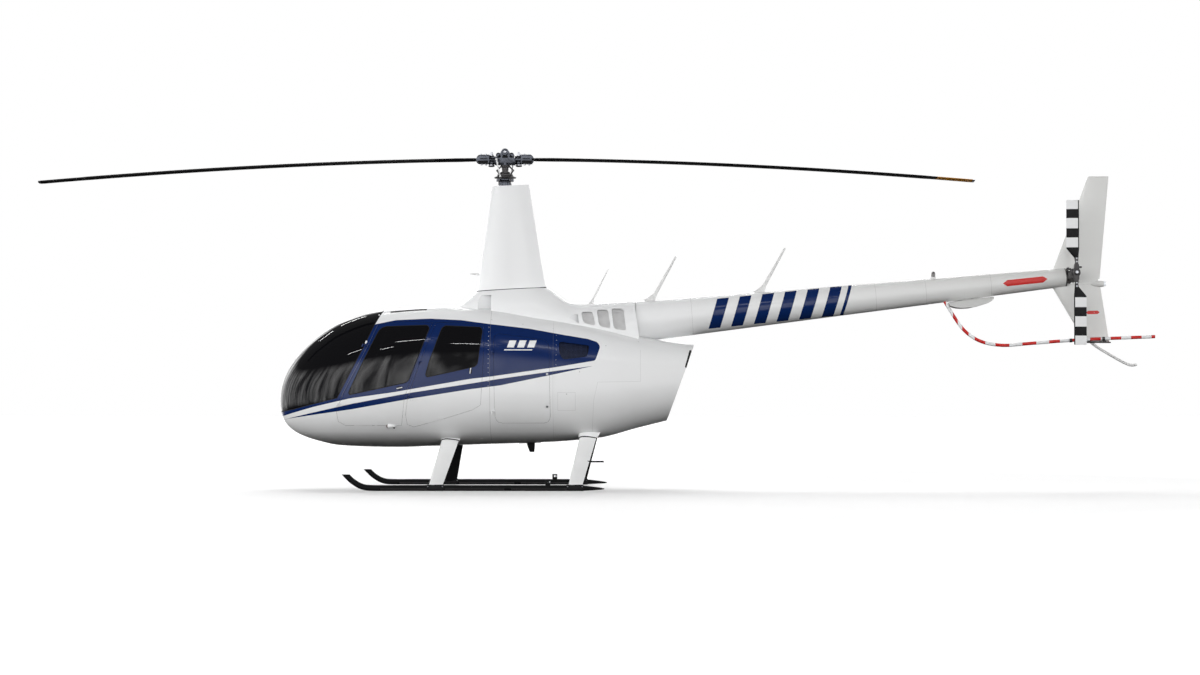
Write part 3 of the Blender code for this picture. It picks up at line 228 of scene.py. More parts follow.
# %% [markdown]
# The studio stands for a hangar: pale walls all round and a dim ceiling. The walls are
# streaked from top to bottom, as curtains are, which shows in dark glass. All of this is the
# world's own light. The belly should look out on a dim floor, so the sky's lower half is dark,
# and the white floor that is added at the end shows to the camera alone.

# %% The walls, ceiling and ground as light
WALLS = 2.02
WALL_TOP = 0.40
WALL_FADE = 0.10
CEILING = 0.10
GROUND = 0.02
HORIZON = 0.14
FOLDS_ROUND = 16
FOLDS_UP = 1.5
FOLD_CONTRAST = 8
world = bpy.context.scene.world or bpy.data.worlds.new("sky")
bpy.context.scene.world = world
world.use_nodes = True
ray = Wire(world.node_tree).node("ShaderNodeTexCoord", output="Generated")
ahead, across, height = (ray.node("ShaderNodeSeparateXYZ", None, {0: ray}, k) for k in range(3))
around = ray.math("ARCTAN2", across, ahead)
folds = ray.node("ShaderNodeCombineXYZ", None, {0: around * FOLDS_ROUND, 1: height * FOLDS_UP})
folds = folds.node("ShaderNodeTexNoise", None, {"Vector": folds, "Scale": 1.0, "Detail": 3.0})
wall = folds.math("MAXIMUM", (folds - 0.5) * FOLD_CONTRAST + 1, 0.1) * (WALLS - CEILING)
above = wall * height.under(WALL_TOP, WALL_FADE) + CEILING
room = above * height.over(-HORIZON, HORIZON) + GROUND
seen = ray.node("ShaderNodeLightPath")
strength = room * (1 - seen) + seen
background = world.node_tree.nodes["Background"]
background.inputs["Color"].default_value = colour(1, 1, 1)
world.node_tree.links.new(strength.socket, background.inputs["Strength"])
bpy.context.scene.view_settings.view_transform = "Standard"
print("walls", WALLS, "ceiling", CEILING, "ground", GROUND)

# %% [markdown]
# One wide soft sun high on the far side throws the shadow towards the camera, a tall lamp
# ahead of the nose stands for the open doorway, and short strip lamps hang in two rows on
# each side. Only the strips show in the gloss, as small bright bars.

# %% Lamps
def lamp(name, kind, energy, place, aim=(0, 0, 1), in_gloss=True, **settings):
    data = bpy.data.lights.new(name, kind)
    data.energy = energy
    for setting, value in settings.items():
        setattr(data, setting, value)
    made = link(name, data)
    made.visible_camera = False
    made.visible_glossy = in_gloss
    made.location = place
    made.rotation_euler = (Vector(place) - Vector(aim)).to_track_quat("Z", "Y").to_euler()


STRIP_ROWS = ((7.5, 8.7), (10.0, 8.9))
STRIP_PITCH = 2.6
lamp("soft_sun", "SUN", 2.6, (-1, 16, 13), (0, 0, 0), in_gloss=False, angle=0.6)
lamp("doorway", "AREA", 420, (-14, -5.5, 3.2), (-0.5, 0, 2.2), in_gloss=False,
     shape="RECTANGLE", size=0.7, size_y=5.0)
for side in (-1, 1):
    for k in range(7):
        x = STRIP_PITCH * k - 9.0
        y, z = STRIP_ROWS[k % 2]
        lamp(f"strip_{k}_{side}", "AREA", 27, (x, side * y, z), (x, 0, 1.2),
             shape="RECTANGLE", size=1.9, size_y=0.16)
print("lamps:", len(bpy.data.lights))

# %% [markdown]
# A finish is one Principled material with the record's slot that it stands for. Its texture
# follows the object's own metres, so grain keeps its real scale and moves with a door.

# %% Starting a finish
FINISHES = {}


class Finish:
    """A material in the making, with its surface coordinates as wires."""

    def __init__(self, name, slot, base, roughness=0.4, metallic=0.0, **sockets):
        self.material = bpy.data.materials.new(name)
        self.material.use_nodes = True
        self.slot = slot
        self.shader = self.material.node_tree.nodes["Principled BSDF"]
        sockets.update({"Base Color": base, "Roughness": roughness, "Metallic": metallic})
        for socket, value in sockets.items():
            self.shader.inputs[socket].default_value = value
        start = Wire(self.material.node_tree)
        self.place = start.node("ShaderNodeTexCoord", output="Object")
        self.x = self.along(0) - MAST_X
        self.y = self.along(1)
        self.z = self.along(2)
        FINISHES[name] = self

    def along(self, axis):
        return self.place.node("ShaderNodeSeparateXYZ", None, {0: self.place}, axis)

    def noise(self, per_metre, detail=2.0, stretch=(1, 1, 1)):
        where = self.place
        if stretch != (1, 1, 1):
            settings = {"operation": "MULTIPLY"}
            where = where.node("ShaderNodeVectorMath", settings, {0: where, 1: stretch})
        inputs = {"Vector": where, "Scale": per_metre, "Detail": detail}
        return where.node("ShaderNodeTexNoise", None, inputs)

    def feed(self, socket, wire):
        wire.tree.links.new(wire.socket, self.shader.inputs[socket])

    def bump(self, height, millimetres):
        inputs = {"Height": height, "Distance": millimetres / 1000}
        self.feed("Normal", height.node("ShaderNodeBump", None, inputs))


# %% [markdown]
# The pod's stripes are painted lines on a curved body. Each edge is a curve of height against
# station, held in a Color Ramp whose grey is the height. Comparing the surface's height with
# that curve gives a hard-edged mask on every panel alike, so a stripe runs on over the gaps.

# %% The stripes' edges
SPAN = (-2.42, 1.08)
RISE = (0.50, 1.90)
BLUE_TOP = ((-2.42, 1.722), (-1.347, 1.722), (-1.118, 1.768), (-0.760, 1.782), (-0.438, 1.766),
            (-0.130, 1.724), (0.275, 1.677), (0.641, 1.611), (0.891, 1.570), (0.985, 1.538),
            (1.010, 1.510), (1.018, 1.480), (1.08, 1.20))
BLUE_LOW = ((-2.42, 0.745), (-2.316, 0.768), (-1.971, 0.861), (-1.590, 0.946), (-1.110, 1.013),
            (-0.805, 1.067), (-0.328, 1.149), (-0.113, 1.174), (0.580, 1.275), (0.967, 1.342),
            (0.985, 1.385), (1.018, 1.480), (1.08, 1.80))
LINE_TOP = ((-2.42, 0.700), (-2.282, 0.735), (-1.559, 0.892), (-0.943, 1.006), (-0.328, 1.100),
            (-0.017, 1.151), (0.580, 1.236), (0.936, 1.284), (1.08, 1.290))
LINE_LOW = ((-2.42, 0.700), (-2.282, 0.733), (-1.561, 0.835), (-0.943, 0.945), (-0.328, 1.042),
            (-0.017, 1.082), (0.580, 1.205), (0.936, 1.283), (1.08, 1.320))


def height_at(x, edge, span=SPAN, rise=RISE):
    """The stripe edge's height at each station, or any other table over x."""
    stops = [((px - span[0]) / (span[1] - span[0]), (pz - rise[0]) / (rise[1] - rise[0]))
             for px, pz in edge]
    share = (x - span[0]) / (span[1] - span[0])
    grey = x.node("ShaderNodeValToRGB", {"stops": stops}, {0: share})
    return grey * (rise[1] - rise[0]) + rise[0]


# %% [markdown]
# Gloss aircraft paint is a pigment coat under a clear one. Up close it has a faint orange
# peel, the pigment clouds a little, and a working machine gathers dust low on its flanks.
# The pod's paint also turns darker towards the bottom of its belly, in mottled patches,
# which is painted shade.
# The clear coat's gloss is the shader's specular, and the rest is soft noise.

# %% White and navy paint
WHITE = colour(0.800, 0.806, 0.812)
SOILED = colour(0.62, 0.62, 0.60)
# The dark that the pod's paint turns to low on the belly: painted shade.
BELLY_SHADE = colour(0.17, 0.165, 0.16)
NAVY = colour(0.003, 0.017, 0.092)


def gloss(name, base=WHITE, belly_shade_strength=0.0):
    paint = Finish(name, "white_paint", base, 0.30, **{"Specular IOR Level": 0.32})
    dust = paint.noise(2.3, 4.0) * paint.z.under(0.95, 0.9)
    paint.feed("Roughness", paint.noise(9.0, 3.0) * 0.10 + dust * 0.15 + 0.12)
    paint.bump(paint.noise(260.0, 1.0), 0.05)
    film = paint.x.over(3.6, 5.0) * 0.75
    shade = (dust * 0.55 + film).mixed(base, SOILED)
    # Painted shade: the paint turns darker, in mottled patches, towards the bottom of the belly.
    if belly_shade_strength:
        belly_shading = paint.z.under(0.54, 0.12) * (paint.noise(3.1, 4.0) * 0.5 + 0.6)
        shade = (belly_shading * belly_shade_strength).mixed(shade, BELLY_SHADE)
    return paint, shade


def stroke(paint, start, end, half):
    """A thin painted line between two points in side view."""
    way = Vector(end) - Vector(start)
    length = way.length
    way.normalize()
    x, z = paint.x - start[0], paint.z - start[1]
    along = x * way.x + z * way.y
    return abs(x * way.y - z * way.x).under(half) * along.over(0) * along.under(length)


# %% [markdown]
# The pod's livery is a broad navy stripe with a thin line under it, left open along the
# middle of the nose. Three slanted white bars stand over a thin line on the flank. Panel
# joints that are filled and painted over show as fine grey strokes.

# %% The pod's livery
# The white bars and their line: x, half width, z and height of each
MARK_Z = 1.514
MARK_LEAN = 0.35
MARK = ((0.100, 0.036, MARK_Z, 0.074), (0.205, 0.036, MARK_Z, 0.074), (0.310, 0.036, MARK_Z, 0.074),
        (0.190, 0.145, 1.452, 0.011))
# Filler lines over the panels' joints: half width, then the line's points
SEAM = colour(0.20, 0.20, 0.20)
SEAMS = ((0.0016, (-0.125, 0.40), (-0.125, 1.92)), (0.0009, (0.530, 0.40), (0.530, 1.80)),
         (0.0009, (1.442, 1.453), (1.442, 1.125), (0.994, 1.117), (0.952, 0.918), (0.936, 0.600)),
         (0.0009, (0.580, 0.822), (0.762, 0.822), (0.762, 1.009), (0.580, 1.009), (0.580, 0.822)),
         (0.0009, (-1.680, 0.962), (-1.522, 1.266), (-1.404, 1.496), (-1.309, 1.721)))
pod_paint, clean = gloss("pod_paint", belly_shade_strength=0.85)
edges = [height_at(pod_paint.x, edge) for edge in (BLUE_TOP, BLUE_LOW, LINE_TOP, LINE_LOW)]
field = pod_paint.z.under(edges[0]) * pod_paint.z.over(edges[1])
field = field * (1 - abs(pod_paint.y).under(0.030) * pod_paint.x.under(-1.25))
line = pod_paint.z.under(edges[2]) * pod_paint.z.over(edges[3])
tilted = pod_paint.x - (pod_paint.z - MARK_Z) * MARK_LEAN
marks = summed(abs(tilted - x).under(half) * abs(pod_paint.z - z).under(tall / 2)
               for x, half, z, tall in MARK)
blue = pod_paint.place.math("ADD", field * (1 - marks), line, clamp=True)
seams = summed(stroke(pod_paint, start, end, half) for half, *points in SEAMS
               for start, end in zip(points, points[1:]))
seams = seams.math("MULTIPLY", seams, 0.55, clamp=True)
pod_paint.feed("Base Color", seams.mixed(blue.mixed(clean, NAVY), SEAM))
# The legs' paint is a lighter copy of the white paint, which paints extra light on the legs.
for name, base in (("white_paint", WHITE), ("leg_paint", colour(0.93, 0.935, 0.94))):
    paint, clean = gloss(name, base)
    paint.feed("Base Color", clean)
print("finishes:", ", ".join(FINISHES))

# %% [markdown]
# Nearly every piece is a loft: rings of points joined by a skin, which can bend, taper and
# close to a point. Tubes, bars and prisms are lofts with simple rings, and round hardware is
# a profile turned about an axis. Real openings are cut with Booleans, because a cut edge
# shows the wall's thickness.

# %% Lofts, tubes and prisms
UP, DOWN = (0, 0, 1), (0, 0, -1)
AFT = (1, 0, 0)
PORT, STARBOARD = (0, -1, 0), (0, 1, 0)


def mesh_of(bm):
    bmesh.ops.recalc_face_normals(bm, faces=bm.faces)
    mesh = bpy.data.meshes.new("mesh")
    bm.to_mesh(mesh)
    bm.free()
    return mesh


def loft(rings, caps=True):
    """A skin through rings of points; a ring of one point is a tip."""
    bm = bmesh.new()
    rows = [[bm.verts.new(point) for point in ring] for ring in rings]
    for fore, aft in zip(rows, rows[1:]):
        for k in range(max(len(fore), len(aft))):
            patch = [fore[k % len(fore)], fore[(k + 1) % len(fore)],
                     aft[(k + 1) % len(aft)], aft[k % len(aft)]]
            bm.faces.new(dict.fromkeys(patch))
    for row in (rows[0], rows[-1]):
        if caps and len(row) > 2:
            bm.faces.new(row)
    return mesh_of(bm)


def prism(outline, near, far):
    """A side-view outline (x, z) carried across from y near to y far."""
    return loft([[(x, y, z) for x, z in outline] for y in (near, far)])


def ring_about(centre, direction, radius, sides, side=None):
    """Points of a circle square to a direction, and the direction its first point lies in."""
    side = direction.orthogonal() if side is None else side - direction * side.dot(direction)
    side.normalize()
    other = direction.cross(side)
    turns = [2 * math.pi * k / sides for k in range(sides)]
    return [centre + radius * (side * math.cos(a) + other * math.sin(a)) for a in turns], side


def tube(path, radii, sides=16):
    """A round bar along a path; radii is one number, or one for each point."""
    path = [Vector(point) for point in path]
    radii = [radii] * len(path) if isinstance(radii, float) else radii
    rings = []
    side = None
    for k, centre in enumerate(path):
        ahead = (path[min(k + 1, len(path) - 1)] - path[max(k - 1, 0)]).normalized()
        ring, side = ring_about(centre, ahead, radii[k], sides, side)
        rings.append(ring)
    return loft(rings)


def turned(foot, direction, profile, sides=24):
    """A lathe shape: profile pairs are the distance along a direction and the radius there."""
    direction = Vector(direction).normalized()
    foot = Vector(foot)
    rings = [ring_about(foot + direction * h, direction, max(r, 0.0001), sides)[0]
             for h, r in profile]
    return loft(rings)


def drum(foot, direction, length, radius, sides=24):
    return turned(foot, direction, ((0, radius), (length, radius)), sides)


def hexagon(foot, direction, height, radius):
    """A bolt's head or a nut."""
    return turned(foot, direction, ((0, radius), (height * 0.85, radius), (height, radius * 0.86)), 6)


def smooth_path(points, steps):
    """A curve through the points, each span cut into steps."""
    points = [Vector(point) for point in points]
    padded = [2 * points[0] - points[1]] + points + [2 * points[-1] - points[-2]]
    path = []
    for a, b, c, d in zip(padded, padded[1:], padded[2:], padded[3:]):
        for k in range(steps):
            t = k / steps
            path.append(0.5 * (2 * b + (c - a) * t + (2 * a - 5 * b + 4 * c - d) * t**2
                               + (3 * b - a - 3 * c + d) * t**3))
    return path + [points[-1]]


# %% [markdown]
# Hard-edged blocks look unreal, because a real edge is always broken a little and catches
# light there. So boxes get a bevel on every edge. Small parts of one finish that ride
# together are kept as one mesh.

# %% Blocks, joined meshes and cuts
def softened(mesh, width, segments=2):
    bm = bmesh.new()
    bm.from_mesh(mesh)
    sharp = [edge for edge in bm.edges if edge.calc_face_angle(0) > 0.5]
    bmesh.ops.bevel(bm, geom=sharp, offset=width, segments=segments, profile=0.5,
                    affect="EDGES", clamp_overlap=True)
    return mesh_of(bm)


def block(corner, opposite, bevel=0.002):
    """A box between two opposite corners, given in any order."""
    (x0, x1), (y0, y1), (z0, z1) = (sorted(pair) for pair in zip(corner, opposite))
    plan = ((x0, z0), (x1, z0), (x1, z1), (x0, z1))
    return softened(prism(plan, y0, y1), bevel)


def joined(*meshes):
    bm = bmesh.new()
    for mesh in meshes:
        bm.from_mesh(mesh)
    made = bpy.data.meshes.new("mesh")
    bm.to_mesh(made)
    bm.free()
    return made


def flipped(mesh):
    """The mesh's mirror image on the other side of the mid-plane."""
    other = mesh.copy()
    other.transform(Matrix.Diagonal((1, -1, 1, 1)))
    other.flip_normals()
    return other


def mirrored(mesh):
    """The mesh with its mirror image."""
    return joined(mesh, flipped(mesh))


def marked(mesh, finish):
    """The mesh with all its faces marked as outer skin (0) or lining (1)."""
    mesh.materials.clear()
    for used in range(2):
        mesh.materials.append(None)
    for face in mesh.polygons:
        face.material_index = finish
    return mesh


CUT = "DIFFERENCE"
KEEP = "INTERSECT"
ADD = "UNION"


def carve(mesh, *steps):
    """The mesh after Boolean steps, each an operation and the mesh that it is done with."""
    base = link("carving", mesh)
    tools = []
    for operation, tool in steps:
        tools.append(link("tool", tool))
        cut = base.modifiers.new("cut", "BOOLEAN")
        cut.operation = operation
        cut.object = tools[-1]
        cut.solver = "MANIFOLD"
    graph = bpy.context.evaluated_depsgraph_get()
    made = bpy.data.meshes.new_from_object(base.evaluated_get(graph))
    for used in (base, *tools):
        bpy.data.objects.remove(used)
    return made


# %% [markdown]
# A finished mesh becomes a piece here: it is shifted from the mast to the frame, smoothed up
# to its real edges, given its finish, and set to ride on the body that carries it. Where it
# stands for solids of the frame, those are hidden.

# %% Setting a piece in the frame
SHARP_EDGE = math.radians(32)


def settle(name, mesh, finish, body="root", replaces=(), lining=None, skin=False):
    marks = [face.material_index if lining else 0 for face in mesh.polygons]
    mesh.materials.clear()
    for used in (finish, lining) if lining else (finish,):
        mesh.materials.append(FINISHES[used].material)
    mesh.polygons.foreach_set("material_index", marks)
    mesh.shade_smooth()
    mesh.set_sharp_from_angle(angle=SHARP_EDGE)
    if skin:
        follow_skin(mesh)
    mesh.transform(Matrix.Translation((MAST_X, 0, 0)))
    piece = link(name, mesh)
    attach(piece, body)
    if replaces:
        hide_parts(*replaces)
    return piece


# %% [markdown]
# The pod is drawn as its builder would loft it: a short table of sections, and smooth curves
# through them that add no bumps of their own. The nose is round, so the curves run over the
# square root of the distance from it. Each section is a superellipse, fuller than an ellipse.

# %% The pod's sections
NOSE_X = -2.394
# x, lowest z, highest z, half width, z of the widest line, power above it, power below it
POD = (
    (-2.394, 0.931, 0.931, 0.000, 0.93, 2.20, 2.20),
    (-2.330, 0.686, 1.207, 0.245, 0.93, 2.20, 2.20),
    (-2.181, 0.569, 1.431, 0.410, 0.94, 2.20, 2.20),
    (-1.968, 0.495, 1.622, 0.535, 0.96, 2.25, 2.20),
    (-1.755, 0.452, 1.750, 0.615, 0.98, 2.30, 2.20),
    (-1.436, 0.436, 1.856, 0.685, 1.00, 2.45, 2.25),
    (-1.117, 0.431, 1.904, 0.722, 1.02, 2.60, 2.30),
    (-0.691, 0.444, 1.922, 0.737, 1.04, 2.70, 2.30),
    (-0.160, 0.463, 1.905, 0.730, 1.06, 2.70, 2.30),
    (0.362, 0.480, 1.830, 0.690, 1.06, 2.60, 2.30),
    (0.989, 0.528, 1.720, 0.600, 1.08, 2.50, 2.30),
    (1.426, 0.640, 1.612, 0.520, 1.12, 2.50, 2.30),
    (1.723, 0.713, 1.555, 0.465, 1.15, 2.50, 2.30),
    (2.080, 0.795, 1.515, 0.405, 1.18, 2.50, 2.30),
)
POD_RINGS = 104
POD_POINTS = 112
WALL = 0.022
PANE = 0.008


def steady_slopes(xs, ys):
    """A curve's slope at each point: level at a peak, so that it never overshoots."""
    steps = [b - a for a, b in zip(xs, xs[1:])]
    rates = [(b - a) / h for a, b, h in zip(ys, ys[1:], steps)]
    slopes = [rates[0]]
    for (h0, h1), (r0, r1) in zip(zip(steps, steps[1:]), zip(rates, rates[1:])):
        w0, w1 = 2 * h1 + h0, h1 + 2 * h0
        slopes.append((w0 + w1) / (w0 / r0 + w1 / r1) if r0 * r1 > 0 else 0.0)
    return slopes + [rates[-1]]


def smooth_table(table, spread=lambda x: x):
    """A function from x to the table's other columns, smooth in spread(x)."""
    xs = [spread(row[0]) for row in table]
    columns = list(zip(*table))[1:]
    slopes = [steady_slopes(xs, column) for column in columns]

    def values(x):
        u = min(max(spread(x), xs[0]), xs[-1])
        k = max(i for i in range(len(xs) - 1) if xs[i] <= u)
        h = xs[k + 1] - xs[k]
        t = (u - xs[k]) / h
        return [(2 * t**3 - 3 * t**2 + 1) * column[k] + (t**3 - 2 * t**2 + t) * h * slope[k]
                + (3 * t**2 - 2 * t**3) * column[k + 1] + (t**3 - t**2) * h * slope[k + 1]
                for column, slope in zip(columns, slopes)]

    return values


def from_nose(x):
    return math.sqrt(max(x - NOSE_X, 0.0))


pod_section = smooth_table(POD, from_nose)


def pod_ring(x):
    low, high, half, wide, above, below = pod_section(x)
    ring = []
    for k in range(POD_POINTS):
        a = 2 * math.pi * k / POD_POINTS
        c, s = math.cos(a), math.sin(a)
        power = 2 / (above if s >= 0 else below)
        reach = high - wide if s >= 0 else wide - low
        y = half * math.copysign(abs(c) ** power, c)
        ring.append((x, y, wide + reach * math.copysign(abs(s) ** power, s)))
    return ring


def pod_solid(inset=0.0, finish=0):
    """The whole pod, closed, with its skin moved in by the inset and marked with a finish."""
    last = from_nose(POD[-1][0])
    stations = [NOSE_X + (last * k / POD_RINGS) ** 2 for k in range(1, POD_RINGS + 1)]
    mesh = loft([[(NOSE_X, 0.0, POD[0][1])]] + [pod_ring(x) for x in stations])
    end = len(mesh.vertices) - POD_POINTS
    moved = [v.co - v.normal * inset for v in mesh.vertices]
    for v, point in zip(mesh.vertices, moved):
        if inset and v.index >= end:
            point.x = v.co.x + math.copysign(0.05, inset)
        v.co = point
    return marked(mesh, finish)


def pod_point(x, z, side=-1, lift=0.0):
    """The point of the pod's side at a station and height, and the skin's outward normal."""
    def half_width(x, z):
        low, high, half, wide, above, below = pod_section(x)
        share = (z - wide) / (high - wide) if z >= wide else (wide - z) / (wide - low)
        return half * max(1 - min(share, 1.0) ** (above if z >= wide else below), 0.0) ** (
            1 / (above if z >= wide else below))

    y, step = half_width(x, z), 0.004
    slope_x = (half_width(x + step, z) - half_width(x - step, z)) / (2 * step)
    slope_z = (half_width(x, z + step) - half_width(x, z - step)) / (2 * step)
    normal = Vector((-slope_x, side, -slope_z)).normalized()
    return Vector((x, side * y, z)) + normal * lift, normal


print("pod skin:", POD_RINGS * POD_POINTS, "patches")

# %% [markdown]
# A gloss panel shows every fault of its mesh as a ripple in its reflections, and cuts leave
# long thin triangles whose averaged normals wobble. The pod is a formula, so each corner
# that lies on its outer skin is given the formula's own normal. Others keep their mesh's.

# %% Normals from the formula
ON_SKIN = 0.0006
SAME_WAY = 0.8


def skin_fit(x, y, z):
    """How far out a point is (1 on the skin), and how that grows along y and z."""
    low, high, half, wide, above, below = pod_section(x)
    power = above if z >= wide else below
    reach = high - wide if z >= wide else low - wide
    across, up = abs(y) / half, (z - wide) / reach
    slopes = (power * across ** (power - 1) / half, power * up ** (power - 1) / reach)
    return across**power + up**power, math.copysign(slopes[0], y), slopes[1]


def skin_normal(point):
    """The outward normal of the pod where the point lies on its skin, or None."""
    x, y, z = point
    if not NOSE_X + 0.004 < x < POD[-1][0] - 0.004:
        return None
    fit, slope_y, slope_z = skin_fit(x, y, z)
    step = 0.002
    slope_x = (skin_fit(x + step, y, z)[0] - skin_fit(x - step, y, z)[0]) / (2 * step)
    normal = Vector((slope_x, slope_y, slope_z))
    return normal.normalized() if abs(fit - 1) < ON_SKIN * normal.length else None


def follow_skin(mesh):
    true = [skin_normal(v.co) for v in mesh.vertices]
    corners = [corner.vector.copy() for corner in mesh.corner_normals]
    for face in mesh.polygons:
        for k in face.loop_indices:
            normal = true[mesh.loops[k].vertex_index]
            if normal and normal.dot(face.normal) > SAME_WAY:
                corners[k] = normal
    mesh.normals_split_custom_set(corners)


# %% [markdown]
# Doors and windows are outlines in side view, pushed through the skin. Corners are rounded
# as on the real panels. A door is smaller than its opening, and more so along the edges
# that swing past the frame.

# %% Outlines
def offset(outline, distance):
    """The outline moved outwards by a number, or by a function of the way an edge faces."""
    pairs = zip(outline, outline[1:] + outline[:1])
    turn = 1 if sum(x0 * z1 - x1 * z0 for (x0, z0), (x1, z1) in pairs) > 0 else -1
    moved = []
    for k, (x, z) in enumerate(outline):
        before = Vector((x, z)) - Vector(outline[k - 1])
        after = Vector(outline[(k + 1) % len(outline)]) - Vector((x, z))
        normals = [Vector((d.y, -d.x)).normalized() * turn for d in (before, after)]
        facing = (normals[0] + normals[1]).normalized()
        reach = distance(facing) if callable(distance) else distance
        reach /= max(0.4, facing.dot(normals[0]))
        moved.append((x + facing.x * reach, z + facing.y * reach))
    return tuple(moved)


def rounded(outline, radius, steps=5):
    points = []
    for k, corner in enumerate(outline):
        corner = Vector(corner)
        before = Vector(outline[k - 1])
        after = Vector(outline[(k + 1) % len(outline)])
        cut = min(radius, (before - corner).length / 2.2, (after - corner).length / 2.2)
        start = corner + (before - corner).normalized() * cut
        end = corner + (after - corner).normalized() * cut
        for j in range(steps + 1):
            t = j / steps
            point = start * (1 - t) ** 2 + corner * 2 * t * (1 - t) + end * t * t
            points.append((point.x, point.y))
    return tuple(points)


DOOR_GAP = 0.006
FREE_EDGE_GAP = 0.006
TOP_GAP = 0.004
SILL_GAP = {"front": 0.010, "rear": 0.014, "baggage": 0.004}


def panel_outline(opening, sill_gap):
    """The outline of the door that fills an opening and swings about its front edge."""
    def gap(facing):
        aft = min(max(1.5 * facing.x, 0.0), 1.0)
        up = min(max(1.5 * facing.y, 0.0), 1.0)
        down = min(max(-1.5 * facing.y, 0.0), 1.0)
        return -(DOOR_GAP + FREE_EDGE_GAP * aft + TOP_GAP * up + sill_gap * down)

    return offset(opening, gap)


WINDSHIELD = ((-1.270, 1.990), (-1.283, 1.859), (-1.347, 1.721), (-1.442, 1.496), (-1.560, 1.266),
              (-1.723, 0.953), (-1.890, 0.912), (-2.069, 0.869), (-2.204, 0.835), (-2.460, 0.790),
              (-2.460, 1.990))
MULLION = 0.026
OPENINGS = {
    "front": ((-1.300, 1.738), (-1.376, 1.542), (-1.505, 1.281), (-1.690, 0.938), (-1.738, 0.808),
              (-1.730, 0.700), (-1.650, 0.650), (-1.030, 0.645), (-1.020, 0.780), (-1.000, 0.930),
              (-0.925, 1.158), (-0.828, 1.433), (-0.710, 1.750), (-1.000, 1.764)),
    "rear": ((-0.698, 1.750), (-0.816, 1.433), (-0.913, 1.158), (-0.988, 0.930), (-1.008, 0.780),
             (-1.006, 0.663), (-0.923, 0.630), (-0.613, 0.710), (-0.300, 0.805), (-0.200, 0.865),
             (-0.186, 1.234), (-0.180, 1.464), (-0.180, 1.715), (-0.430, 1.748)),
    "baggage": rounded(((-0.094, 1.640), (-0.088, 1.200), (-0.076, 0.680), (0.515, 0.680),
                        (0.505, 1.200), (0.498, 1.560)), 0.08, 3),
}
WINDOWS = {
    "front": ((-1.211, 1.700), (-1.256, 1.690), (-1.294, 1.658), (-1.437, 1.357), (-1.558, 1.098),
              (-1.600, 1.006), (-1.588, 0.985), (-1.000, 1.110), (-0.968, 1.132), (-0.853, 1.433),
              (-0.762, 1.679), (-0.780, 1.712)),
    "rear": ((-0.602, 1.706), (-0.632, 1.679), (-0.760, 1.311), (-0.792, 1.189), (-0.775, 1.168),
             (-0.285, 1.276), (-0.254, 1.305), (-0.208, 1.656), (-0.226, 1.690)),
}
SIDE_VENT = ((0.590, 1.540), (0.909, 1.500), (0.885, 1.384), (0.637, 1.350), (0.599, 1.400))
PANELS = {name: panel_outline(outline, SILL_GAP[name]) for name, outline in OPENINGS.items()}


def through(outline, inner=0.2, bare=False):
    """The outline pushed through both sides of the pod, or through the port side alone."""
    port = prism(outline, -1.0, -inner)
    return port if bare else joined(port, prism(outline, inner, 1.0))


# %% [markdown]
# Most small finishes differ only in a few numbers: two shades that cloud into each other, how
# rough and how metallic the surface is, and the scale and depth of its grain. So they come
# from one table. The grain is a noise bump, because its relief is far too fine to model.

# %% Plain finishes
# name, record's slot, shade, second shade, metallic, roughness from and to, grain per metre, depth in mm
GRAINS = (
    ("liner", "interior_trim", (0.055, 0.055, 0.060), (0.085, 0.084, 0.085), 0.0, 0.75, 0.95, 900, 0.25),
    ("carpet", "interior_trim", (0.030, 0.030, 0.034), (0.070, 0.070, 0.074), 0.0, 0.9, 1.0, 700, 1.20),
    ("moulding", "interior_trim", (0.020, 0.020, 0.022), (0.034, 0.034, 0.036), 0.0, 0.45, 0.62, 1400, 0.12),
    ("leather", "seat_leather", (0.240, 0.235, 0.230), (0.330, 0.325, 0.318), 0.0, 0.42, 0.58, 420, 0.35),
    ("webbing", "black_paint", (0.018, 0.018, 0.020), (0.045, 0.045, 0.048), 0.0, 0.75, 0.9, 1500, 0.40),
    ("rubber", "black_paint", (0.012, 0.012, 0.013), (0.022, 0.022, 0.023), 0.0, 0.55, 0.75, 300, 0.10),
    ("skid_black", "black_paint", (0.006, 0.006, 0.007), (0.013, 0.013, 0.013), 0.0, 0.40, 0.60, 90, 0.06),
    ("steel", "rotor_metal", (0.52, 0.53, 0.56), (0.40, 0.41, 0.44), 1.0, 0.22, 0.42, 160, 0.03),
    ("hub_grey", "rotor_metal", (0.110, 0.117, 0.137), (0.020, 0.022, 0.027), 0.95, 0.12, 0.34, 130, 0.05),
    ("screen_grey", "rotor_metal", (0.700, 0.700, 0.700), (0.560, 0.560, 0.560), 0.0, 0.60, 0.80, 400, 0.20),
    ("navy_mesh", "dark_metal", (0.004, 0.012, 0.050), (0.010, 0.022, 0.080), 0.0, 0.40, 0.60, 400, 0.10),
    ("dark_steel", "dark_metal", (0.050, 0.050, 0.055), (0.095, 0.090, 0.088), 0.85, 0.38, 0.60, 120, 0.08),
    ("engine_grey", "dark_metal", (0.105, 0.105, 0.110), (0.170, 0.160, 0.150), 0.7, 0.45, 0.70, 70, 0.20),
    ("blade_edge", "dark_metal", (0.016, 0.016, 0.018), (0.030, 0.029, 0.029), 0.5, 0.42, 0.60, 90, 0.05),
    # A darker copy of the white paint, as painted shade, for the whips, tail skid and pitot probe.
    ("aerial_paint", "white_paint", (0.72, 0.72, 0.71), (0.64, 0.64, 0.64), 0.0, 0.40, 0.55, 200, 0.05),
    ("black", "black_paint", (0.006, 0.006, 0.007), (0.012, 0.012, 0.013), 0.0, 0.55, 0.75, 200, 0.05),
)
